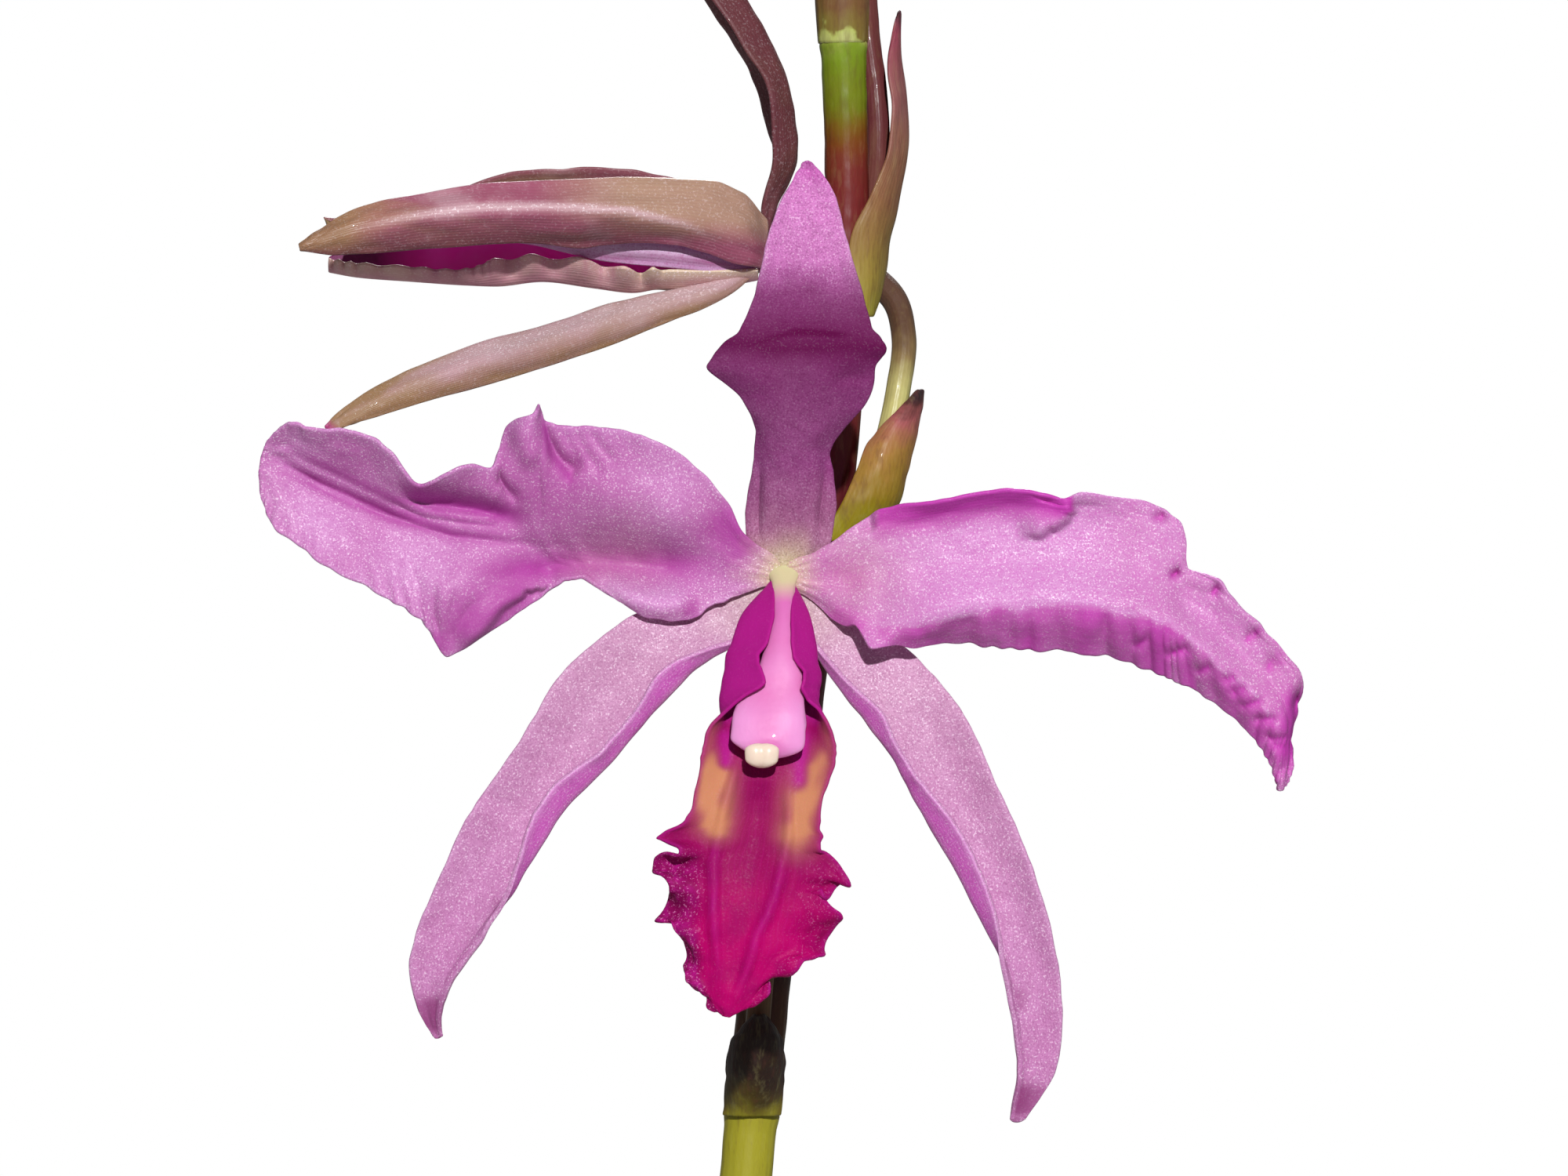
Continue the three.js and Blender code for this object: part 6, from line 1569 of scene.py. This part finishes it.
# %% Pedicels and the top bud
PEDICELS = {
    "pedicel_front": ("""
        -3.8 -64.4 16.5, -3.2 -55 16, -1.8 -40 15.6, -0.5 -25 15, 0.3 -12 13, 0.4 -3.6 8.6,
        0 -0.3 5.2, 0 0 2.5""", [1.6, 1.6, 1.6, 1.7, 2, 2.4, 2.6, 2.3], (1, 0, 0),
        [(-64, (0.10, 0.05, 0.02)), (-30, (0.16, 0.10, 0.05)), (0, (0.45, 0.38, 0.2))]),
    "pedicel_left": ("""
        10.6 9.5 22.6, 12.1 13.5 22.6, 13.7 19 23, 14.9 25 24, 15.5 30.5 26, 14.2 35.9 29,
        10.4 39.2 31.2, 6.4 40.6 29.6, 3 41.4 25.4, 0.8 41.5 22.4, -1.4 41.5 22""",
        [1.4, 1.6, 1.6, 1.6, 1.6, 1.7, 1.9, 2.1, 2.3, 2.3, 2], (0, 1, 0),
        [(9, (0.56, 0.50, 0.22)), (22, (0.50, 0.47, 0.17)), (29, (0.22, 0.15, 0.06)),
         (33, (0.10, 0.05, 0.03)), (42, (0.10, 0.05, 0.04))]),
    "pedicel_top": ("""
        10.2 40.5 26.3, 11.3 47 26.2, 12.1 54 25.6, 11.9 62 26.3, 10.8 70 28, 10.2 80 29,
        11 92 28.6""", [1.2, 1.4, 1.5, 1.5, 1.6, 1.8, 2.2], (1, 0, 0),
        [(40, (0.24, 0.20, 0.06)), (50, (0.16, 0.05, 0.04)), (60, (0.12, 0.025, 0.03)),
         (92, (0.16, 0.05, 0.04))]),
}
for name, (path, radii, side, shades) in PEDICELS.items():
    stalk(name + "_stalk", ("pedicel", name), at(path), evenly(radii), (100, 28),
          plant_finish(name + "_skin", shades, 0.35, 0.18), side=side,
          relief=lambda a, b: 0.025 * wave(6 * b) + 0.02 * rumple(a, b, 30, 6, 121), origin=BLOOM_CENTRE)

bud_look = dusky_finish("bud_skin", (0.36, 0.16, 0.18), (0.34, 0.24, 0.12), (0.52, 0.40, 0.30), 0.35)


def bud_relief(a, b):
    """Three seams between the bud's sepals, and fine ribs."""
    return -0.10 * bell((b * 3 + 0.35 * a) % 1 - 0.5, 0.05) * hump(a) + 0.015 * wave(24 * b)


stalk("top_bud_body", ("bud", "top_bud"),
      at("11.1 90.4 28.6, 11.6 98 28, 12.6 110 27, 13.8 121 25.6, 14.8 129 24.6"),
      "2.6 2.6, 5.4 5, 7 6.4, 5 4.6, 0.8 0.8", (44, 40), bud_look, relief=bud_relief,
      marks=plain_marks, origin=BLOOM_CENTRE, soft=True, round_ends=(0.05, 0.06))

# %% [markdown]
# ## The growths
# Each pseudobulb is a flattened, ribbed club with one thick leaf. Dry sheaths wrap its foot.

# %% Growths
BULB_FOOT = 118.95  # millimetres above the floor, just over the rhizome
GROWTHS = [
    dict(foot=(-15, 5), apex=(-11.5, 6, 236), wide=12.5, heading=(-0.8, 0.6), leaf=172, lean=0.5),
    dict(foot=(12, 14), apex=(15, 20, 226), wide=12, heading=(0.3, 0.95), leaf=176, lean=0.55),
    dict(foot=(37, 12), apex=(48, 16, 214), wide=11.5, heading=(0.95, 0.3), leaf=178, lean=0.75),
    dict(foot=(40, -18), apex=(52, -28, 196), wide=10.5, heading=(0.85, -0.5), leaf=165, lean=0.85),
    dict(foot=(-41, -5), apex=(-53, -12, 205), wide=11, heading=(-0.95, -0.35), leaf=168, lean=0.7),
]


def bulb_spine(growth):
    base = np.array([*growth["foot"], BULB_FOOT], float)
    top = np.array(growth["apex"], float)
    belly = (base + top) / 2 + np.array([(base[0] - top[0]) * 0.12, 0, 0])
    return np.array([base, (base + belly) / 2, belly, (belly + top) / 2, top])


def bulb_widths(wide):
    return [[4.2, 3.8], [wide * 0.72, wide * 0.55], [wide, wide * 0.72], [wide * 0.82, wide * 0.6],
            [5.6, 4.8]]


def bulb_finish():
    look = Finish("bulb_skin", 0.4, 0.4, coat=0.08)
    cloud = look.noise(45, 5, roughness=0.6)
    look.ramp(cloud, [(0.3, (0.13, 0.19, 0.05)), (0.5, (0.22, 0.28, 0.08)), (0.72, (0.36, 0.36, 0.13))])
    lane = look.lines(52)
    look.over(look.step(lane, 0.0, 0.2, 0.45, 0), (0.10, 0.13, 0.04))
    freckle = look.step(look.noise(420, 3), 0.64, 0.72, 0, 0.7)
    look.over(freckle, (0.16, 0.09, 0.04))
    look.bump(look.add(look.times(lane, 0.8), look.noise(500, 3)), 0.4, 0.0005)
    return look.done()


def husk_finish():
    look = Finish("husk_paper", 0.8, 0.2)
    fibre = look.noise(160, 5, stretch=(6, 6, 0.5), roughness=0.75)
    look.ramp(fibre, [(0.3, (0.30, 0.22, 0.13)), (0.5, (0.56, 0.47, 0.33)), (0.7, (0.74, 0.68, 0.55))])
    stain = look.step(look.noise(70, 4), 0.52, 0.72, 0, 0.7)
    look.over(stain, (0.22, 0.15, 0.09))
    look.bump(fibre, 0.6, 0.0006)
    return look.done()


def leaf_finish():
    look = Finish("leaf_skin", 0.38, 0.45, (0.04, (0.4, 0.8, 0.1), 0.002), coat=0.12)
    cloud = look.noise(28, 5, roughness=0.6)
    look.ramp(cloud, [(0.3, (0.055, 0.125, 0.028)), (0.52, (0.095, 0.19, 0.04)),
                      (0.75, (0.17, 0.26, 0.06))])
    across = look.part(look.uv, 0)
    lane = look.math("PINGPONG", look.times(across, 46.0), 0.5)
    look.over(look.step(lane, 0.0, 0.25, 0.3, 0), (0.05, 0.10, 0.02))
    rim = look.step(look.math("ABSOLUTE", look.minus(across, 0.5)), 0.44, 0.5, 0, 0.6)
    look.over(rim, (0.20, 0.10, 0.05))
    fleck = look.step(look.noise(330, 3), 0.66, 0.74, 0, 0.6)
    look.over(fleck, (0.13, 0.07, 0.03))
    look.rough(look.step(cloud, 0.3, 0.7, 0.3, 0.48))
    look.bump(look.add(look.times(lane, 0.35), look.noise(700, 2)), 0.25, 0.0004)
    return look.done()


bulb_look, husk_look, leaf_look = bulb_finish(), husk_finish(), leaf_finish()
LEAF_HALF_WIDTHS = [2.6, 5.5, 13, 21, 25.5, 26.5, 24, 17, 4]
LEAF_FOLDS = [0.2, 2, 4.4, 5.6, 5, 4, 3, 1.8, 0.4]
LEAF_OFFSET = 0.8
LEAF_SUNK = 3.6  # the foot of a leaf is sunk this far into the top of its bulb
WIDEST_BULB = 12.5


def leaf_rows(growth):
    """Rows of [right, up, back] points from edge to edge, foot to tip."""
    heading = unit([*growth["heading"], 0])
    across = np.array([-heading[1], heading[0], 0])
    spine = bulb_spine(growth)
    top = unit(spine[-1] - follow(spine, np.array([0.999]))[0])
    side = unit(heading - top * (heading @ top))
    foot = spine[-1] + side * LEAF_OFFSET - top * LEAF_SUNK
    table = []
    for number, (half, fold) in enumerate(zip(LEAF_HALF_WIDTHS, LEAF_FOLDS)):
        share = number / (len(LEAF_HALF_WIDTHS) - 1)
        out = growth["leaf"] * growth["lean"] * share ** 1.4
        lift = growth["leaf"] * (1.02 * share - 0.42 * growth["lean"] * share ** 2.2)
        middle = foot + heading * out + np.array([0, 0, lift])
        back = heading * -fold * 0.9 + np.array([0, 0, fold * 0.45])
        half *= growth["wide"] / WIDEST_BULB
        table.append([middle + across * turn * half + back * turn * turn
                      for turn in (-1, -0.5, 0, 0.5, 1)])
    return np.array(table)[..., SWAPPED]


def leaf_relief(seed):
    def relief(spots, a, b):
        puff(spots, -0.9 * bell(b - 0.5, 0.035) * hump(np.clip(a + 0.1, 0, 1)))
        puff(spots, 0.5 * rumple(a, b, 9, 3, seed))
    return relief


def bulb_relief(seed):
    """Ribs that fade at both ends, dents, and two joints where old sheaths sat."""
    def relief(a, b):
        joints = 0.05 * bell(a - 0.32, 0.008) + 0.05 * bell(a - 0.66, 0.008)
        return 0.022 * wave(13 * b) * hump(a) ** 0.5 + 0.03 * rumple(a, b, 10, 8, seed) - joints
    return relief


for number, growth in enumerate(GROWTHS, 1):
    stalk(f"pseudobulb_{number}_body", ("bulb", f"pseudobulb_{number}"), bulb_spine(growth),
          bulb_widths(growth["wide"]), (90, 72), bulb_look, relief=bulb_relief(130 + number),
          round_ends=(0.0, 0.02))
    blade(f"leaf_{number}_blade", ("leaf", f"leaf_{number}"), leaf_rows(growth), (44, 14), 1.6,
          relief=leaf_relief(140 + number), inside=leaf_look, origin=np.zeros(3))

# %% [markdown]
# A sheath is a dry, fibrous sleeve. It follows the foot of its bulb and its upper edge is torn, so
# the sleeve's top row is raised and lowered by noise before it is thickened.


# %% Sheaths
SLEEVE_CELLS = (27, 64)
SLEEVE_GAP = 0.9  # between a bulb and its sheath, in mm
SLEEVE_THICKNESS = 0.45
TEAR = 6.0  # the torn edge hangs down by up to this much, in mm


def sleeve(number, growth):
    shares = np.linspace(0.08, 0.3, SLEEVE_CELLS[0] + 1)
    turn = np.linspace(0, 1, SLEEVE_CELLS[1] + 1)
    spine = follow(bulb_spine(growth), shares)
    girth = follow(points(bulb_widths(growth["wide"])), shares) + SLEEVE_GAP
    swell = 1 + 0.03 * rumple(shares[:, None] * 3, turn[None, :], 4, 16, 150 + number)
    spots = spine[:, None] + ring_round(spine, girth, turn, (1, 0, 0)) * swell[..., None]
    torn = np.linspace(0, 1, SLEEVE_CELLS[0] + 1)[:, None] ** 3
    spots[..., UP] -= torn * TEAR * (0.5 + 0.5 * wander(turn, 22, 160 + number))[None, :]
    spots[:, -1] = spots[:, 0]
    piece = grid_piece(f"bulb_sheath_{number}_sleeve", spots)
    close_seam(with_ends=False)
    piece.data.materials.append(husk_look)
    thicken(piece, SLEEVE_THICKNESS)
    bpy.ops.object.shade_smooth()
    settle(piece, "husk", f"bulb_sheath_{number}")


for number, growth in enumerate(GROWTHS, 1):
    sleeve(number, growth)

# %% [markdown]
# The spathe is the flat sheath that the stem grew out of. It is keeled on one side, open on the
# other, and drying to straw at its tip.

# %% Spathe
SPATHE_FOOT = 239.4  # millimetres above the floor
# Height above the foot, then how far its edge, its flat side and its keel stand out, and its depth
SPATHE_ROWS = points("""
    0 3 -1 -4.8 4.2, 20 6 0 -9 4.9, 46 8.5 0 -12 5.2, 72 7 -1 -11 5.2, 84 0 -4 -9.6 5, 93 -5.4 -7 -8.8 3,
    102 -7.6 -7.9 -8.2 0.8
""")


def spathe_rows():
    heading = unit([*GROWTHS[0]["heading"], 0])
    across = -np.array([-heading[1], heading[0], 0])
    stem_line = at(STEM_LINE)
    ups = stem_line[:, UP] + BLOOM_CENTRE[UP]
    table = []
    for lift, edge, flat, keel, depth in SPATHE_ROWS:
        height = SPATHE_FOOT + lift
        below = int(np.argmax(ups > height)) - 1
        share = (height - ups[below]) / (ups[below + 1] - ups[below])
        axis = follow(stem_line, np.array([(below + share) / (len(ups) - 1)]))[0] + BLOOM_CENTRE
        axis[UP] = height
        table.append([axis + across * side + heading * face * depth
                      for side, face in ((edge, -1), (flat, -1), (keel, 0), (flat, 1), (edge, 1))])
    return np.array(table)[..., SWAPPED]


spathe_look = plant_finish("spathe_skin", [(-281, (0.22, 0.27, 0.07)), (-230, (0.34, 0.34, 0.13)),
                                           (-200, (0.50, 0.40, 0.22)), (-176, (0.42, 0.28, 0.16))],
                           0.5, 0.4, lines=40, coat=0.0)
blade("spathe_cover", ("spathe", "spathe"), spathe_rows(), (60, 26), 0.6, relief=bract_relief(171),
      inside=spathe_look, origin=np.zeros(3))

# %% [markdown]
# ## The pot and what fills it
# The rhizome creeps over the bark and sends out thick roots with a silvery, spongy skin. The
# rhizome and each root are tubes, joined into one piece because they are one growth.

# %% Rhizome and roots
RHIZOME_RADIUS, ROOT_RADIUS = 4.6, 2.1
# These two are written right, back, up, in millimetres from the middle of the pot's foot
RHIZOME_PATH = points("""
    -48 -9 114, -41 -5 114, -15 5 114, 12 14 114, 37 12 114, 40 -18 114, 41 -27 114
""")
ROOT_PATHS = rows("""
    -30 -2 113, -36 -24 117, -30 -44 114, -18 -50 104
    -8 8 113, -6 -14 117, 4 -34 115, 16 -47 105
    16 14 113, 22 -8 117, 18 -28 115, 26 -42 105
    -20 4 113, -30 24 117, -24 42 115, -10 50 104
    20 14 113, 24 34 117, 12 46 114, 0 40 104
    41 -25 113, 43 -34 122, 50 -41.5 131.6, 57.5 -47 122, 57 -47 104, 53 -45 86
    -46 -8 113, -52 -14 122, -63 -17 130.8, -73.5 -18 122, -72.5 -12 100
""")


def join(parts):
    bpy.ops.object.select_all(action="DESELECT")
    for part in parts:
        part.select_set(True)
    bpy.context.view_layer.objects.active = parts[0]
    bpy.ops.object.join()
    return bpy.context.object


def root_finish():
    look = Finish("root_skin", 0.75, 0.25)
    cloud = look.noise(90, 5, roughness=0.65)
    look.ramp(cloud, [(0.3, (0.24, 0.26, 0.15)), (0.48, (0.44, 0.45, 0.34)), (0.7, (0.62, 0.62, 0.54))])
    look.over(look.step(look.noise(240, 4), 0.58, 0.7, 0, 0.6), (0.20, 0.14, 0.07))
    look.bump(look.noise(600, 4, roughness=0.7), 0.5, 0.0006)
    return look.done()


root_look = root_finish()
parts = [stalk("rhizome_and_roots_growth", None, RHIZOME_PATH, evenly([2.3, *[RHIZOME_RADIUS] * 5, 2.3]),
               (150, 28), root_look, side=(0, 0, 1),
               relief=lambda a, b: 0.09 * wave(17 * a) ** 8 + 0.05 * rumple(a, b, 40, 8, 181),
               round_ends=(0.02, 0.02))]
for number, path in enumerate(ROOT_PATHS):
    parts.append(stalk(f"root_{number}", None, path, evenly([ROOT_RADIUS, ROOT_RADIUS, 2.0, 1.3]),
                       (90, 20), root_look, side=(0.3, 0.2, 1),
                       relief=lambda a, b: 0.10 * rumple(a, b, 26, 5, 190 + number),
                       round_ends=(0.0, 0.05)))
roots = join(parts)
settle(roots, "root", "rhizome_and_roots")

# %% [markdown]
# The pot is thrown clay. Its profile is a row of radii and heights in millimetres, pulled up from a
# circle by repeated extrusion and scaling. Four drain holes are cut through its floor.


# %% Pot
def clay_finish():
    look = Finish("fired_clay", 0.85, 0.2)
    cloud = look.noise(22, 6, roughness=0.65)
    look.ramp(cloud, [(0.3, (0.36, 0.125, 0.055)), (0.5, (0.47, 0.185, 0.085)),
                      (0.7, (0.58, 0.27, 0.14))])
    height = look.part(look.object, 2)
    salt = look.step(look.noise(60, 5, roughness=0.7), 0.48, 0.66)
    salt = look.times(salt, look.step(height, 0.105, 0.02, 0.05, 0.75))
    look.over(salt, (0.72, 0.62, 0.52))
    damp = look.times(look.step(look.noise(34, 4), 0.5, 0.62), look.step(height, 0.04, 0.0, 0, 0.6))
    look.over(damp, (0.12, 0.13, 0.06))
    grit = look.noise(900, 4, roughness=0.8)
    look.over(look.step(grit, 0.58, 0.68, 0, 0.4), (0.30, 0.10, 0.05))
    rings = look.waves(90.0, 1.2, 2.0)
    look.bump(look.add(look.times(rings, 0.35), grit), 0.45, 0.0007)
    return look.done()


def raise_profile(profile):
    """Pulls the selected rim or face up through a row of radii and heights."""
    for (radius, height), (wider, higher) in zip(profile, profile[1:]):
        lift = (0, 0, (higher - height) * MM)
        bpy.ops.mesh.extrude_region_move(TRANSFORM_OT_translate={"value": lift})
        bpy.ops.transform.resize(value=(wider / radius, wider / radius, 1))


POT_PROFILE = points("""
    45 0, 46.4 0.4, 47 2, 49.5 17, 52 33, 54.6 50, 57.2 67, 59.7 84, 61.6 97, 62 101, 63.4 101.1,
    66.4 101.3, 67.4 101.9, 68 104, 68.3 110, 68.6 116, 69 122, 68.8 123.8, 68 124.7, 67 125,
    64.4 125, 63 124.8, 62 124, 61.4 121, 59.4 109, 57 97, 54.4 80, 51.6 62, 48.8 44, 45.6 26,
    41.4 12.4, 40 10.2, 38 9
""").tolist()
FLOOR_INSET = 0.001  # a ring just inside the foot, so that only the outer rim is pulled up
DRAIN_RING, DRAIN_RADIUS, DRAIN_DEPTH = 27, 6, 40
FLAT_ENOUGH = math.radians(35)  # edges between faces that turn by less are shown smooth
bpy.ops.mesh.primitive_circle_add(vertices=128, radius=POT_PROFILE[0][0] * MM, fill_type="NGON")
pot = bpy.context.object
pot.name = "clay_pot"
open_mesh()
bpy.ops.mesh.inset(thickness=FLOOR_INSET)
bpy.ops.mesh.select_all(action="DESELECT")
close_mesh()
outer = POT_PROFILE[0][0] * MM
for edge in pot.data.edges:
    ends = [pot.data.vertices[v].co.xy.length for v in edge.vertices]
    edge.select = min(ends) > outer - 1e-5
bpy.ops.object.mode_set(mode="EDIT")
bpy.ops.mesh.select_mode(type="EDGE")
raise_profile(POT_PROFILE)
bpy.ops.mesh.edge_face_add()
close_outward()
for hole in range(4):
    turn = math.pi / 4 + hole * math.pi / 2
    spot = (DRAIN_RING * MM * math.cos(turn), DRAIN_RING * MM * math.sin(turn), 0)
    bpy.ops.mesh.primitive_cylinder_add(vertices=40, radius=DRAIN_RADIUS * MM, depth=DRAIN_DEPTH * MM,
                                        location=spot)
    drill = bpy.context.object
    select_only(pot)
    cut = pot.modifiers.new("drain", "BOOLEAN")
    cut.operation = "DIFFERENCE"
    cut.object = drill
    bpy.ops.object.modifier_apply(modifier="drain")
    bpy.data.objects.remove(drill)
select_only(pot)
bpy.ops.object.shade_smooth_by_angle(angle=FLAT_ENOUGH)
pot.data.materials.append(clay_finish())
settle(pot, "clay", "pot")

# %% [markdown]
# The pot is filled with pine bark. One plug fills the depth of the pot, and its top is covered by
# loose chips. A chip is a bevelled box with a broken outline. Four kinds are modelled once, then
# each copy is turned, scaled and dropped at its own seeded place.


# %% Bark
def bark_finish():
    look = Finish("pine_bark", 0.9, 0.2)
    cloud = look.noise(70, 6, roughness=0.7)
    look.ramp(cloud, [(0.3, (0.035, 0.018, 0.010)), (0.5, (0.115, 0.058, 0.030)),
                      (0.62, (0.19, 0.10, 0.052)), (0.75, (0.30, 0.19, 0.12))])
    layer = look.waves(260.0, 6.0, 3.0)
    look.over(look.step(layer, 0.2, 0.0, 0.0, 0.6), (0.02, 0.012, 0.008))
    moss = look.step(look.noise(40, 4), 0.62, 0.7, 0, 0.7)
    look.over(moss, (0.08, 0.13, 0.03))
    look.bump(look.add(layer, look.noise(420, 5, roughness=0.75)), 0.8, 0.0012)
    return look.done()


bark_look = bark_finish()
PLUG_PROFILE = points("36.4 9.4, 40.2 13.4, 47.4 52, 56.2 97, 57.4 106, 51 108.6, 30 109.4, 0.2 110").tolist()
bpy.ops.mesh.primitive_circle_add(vertices=72, radius=PLUG_PROFILE[0][0] * MM,
                                  location=(0, 0, PLUG_PROFILE[0][1] * MM), fill_type="NGON")
plug = bpy.context.object
bpy.ops.object.transform_apply(location=True)
plug.name = "bark_filling"
open_mesh()
raise_profile(PLUG_PROFILE)
close_outward()
plug.data.materials.append(bark_look)

draw = np.random.default_rng(7)
CHIP_KINDS, CHIP_COUNT = 4, 330
BARK_RADIUS = 55.5  # chips lie inside this ring, in mm
BARK_TOP = 110.6
CHIP_HALVES = ((4, 8.4), (2.8, 5.2), (1.4, 2.6))  # least and most half length, width and height, in mm
CHIP_TILT = 0.45  # radians
chip_kinds = []
for kind in range(CHIP_KINDS):
    bpy.ops.mesh.primitive_cube_add(size=2)
    chip = bpy.context.object
    open_mesh()
    bpy.ops.mesh.subdivide(number_cuts=1)
    close_mesh()
    corners = np.array([v.co for v in chip.data.vertices])
    corners *= 1 + draw.uniform(-0.22, 0.14, corners.shape)
    corners = corners * (1 - 0.12 * (np.abs(corners).sum(axis=1, keepdims=True) > 2.4))
    chip.data.vertices.foreach_set("co", corners.ravel())
    rounding = chip.modifiers.new("rounding", "BEVEL")
    rounding.width = 0.12
    rounding.segments = 1
    bpy.ops.object.modifier_apply(modifier="rounding")
    chip_kinds.append(chip)

# Spots along the undersides of the rhizome and the roots
UNDERSIDES = np.concatenate(
    [follow(RHIZOME_PATH, np.linspace(0, 1, 60)) - [0, 0, RHIZOME_RADIUS]]
    + [follow(path, np.linspace(0, 1, 40)) - [0, 0, ROOT_RADIUS] for path in ROOT_PATHS])


def settled_height(spot, half_height, reach):
    """Keeps a chip under any root or rhizome that passes over it."""
    near = np.linalg.norm(UNDERSIDES[:, :UP] - spot, axis=1) < reach
    roof = UNDERSIDES[near, UP].min() if near.any() else math.inf
    return min(BARK_TOP + draw.uniform(0, 3.4), roof - half_height + 1.2)


chips = []
for number in range(CHIP_COUNT):
    source = chip_kinds[number % CHIP_KINDS]
    half = np.array([draw.uniform(*span) for span in CHIP_HALVES])
    ring = BARK_RADIUS * math.sqrt(draw.uniform(0, 1)) - 2.5
    turn = draw.uniform(0, 2 * math.pi)
    spot = np.array([ring * math.cos(turn), ring * math.sin(turn)])
    tilt = draw.uniform(-CHIP_TILT, CHIP_TILT, 2)
    spin = draw.uniform(0, math.pi)
    height = settled_height(spot, half[2], half[0] + 3)
    chip = source.copy()
    chip.data = source.data.copy()
    bpy.context.scene.collection.objects.link(chip)
    chip.scale = half * MM
    chip.rotation_euler = (tilt[0], tilt[1], spin)
    chip.location = (spot[0] * MM, spot[1] * MM, height * MM)
    chips.append(chip)
for chip in chip_kinds:
    bpy.data.objects.remove(chip)
bpy.ops.object.select_all(action="DESELECT")
for chip in chips:
    chip.select_set(True)
bpy.ops.object.transform_apply(location=True, rotation=True, scale=True)
loose = join(chips)
loose.name = "bark_chips"
loose.data.materials.clear()
loose.data.materials.append(bark_look)
settle(plug, "bark", "bark")
settle(loose, "bark", "bark")

# %% [markdown]
# At the end the triangles of every shown piece are counted and printed; each finer piece printed its
# height range when it was settled.

# %% Sizes and the end
added = 0
for piece in bpy.context.scene.objects:
    if piece.type == "MESH" and not piece.hide_render:
        piece.data.calc_loop_triangles()
        added += len(piece.data.loop_triangles)
print(f"the shown pieces hold {added} triangles")
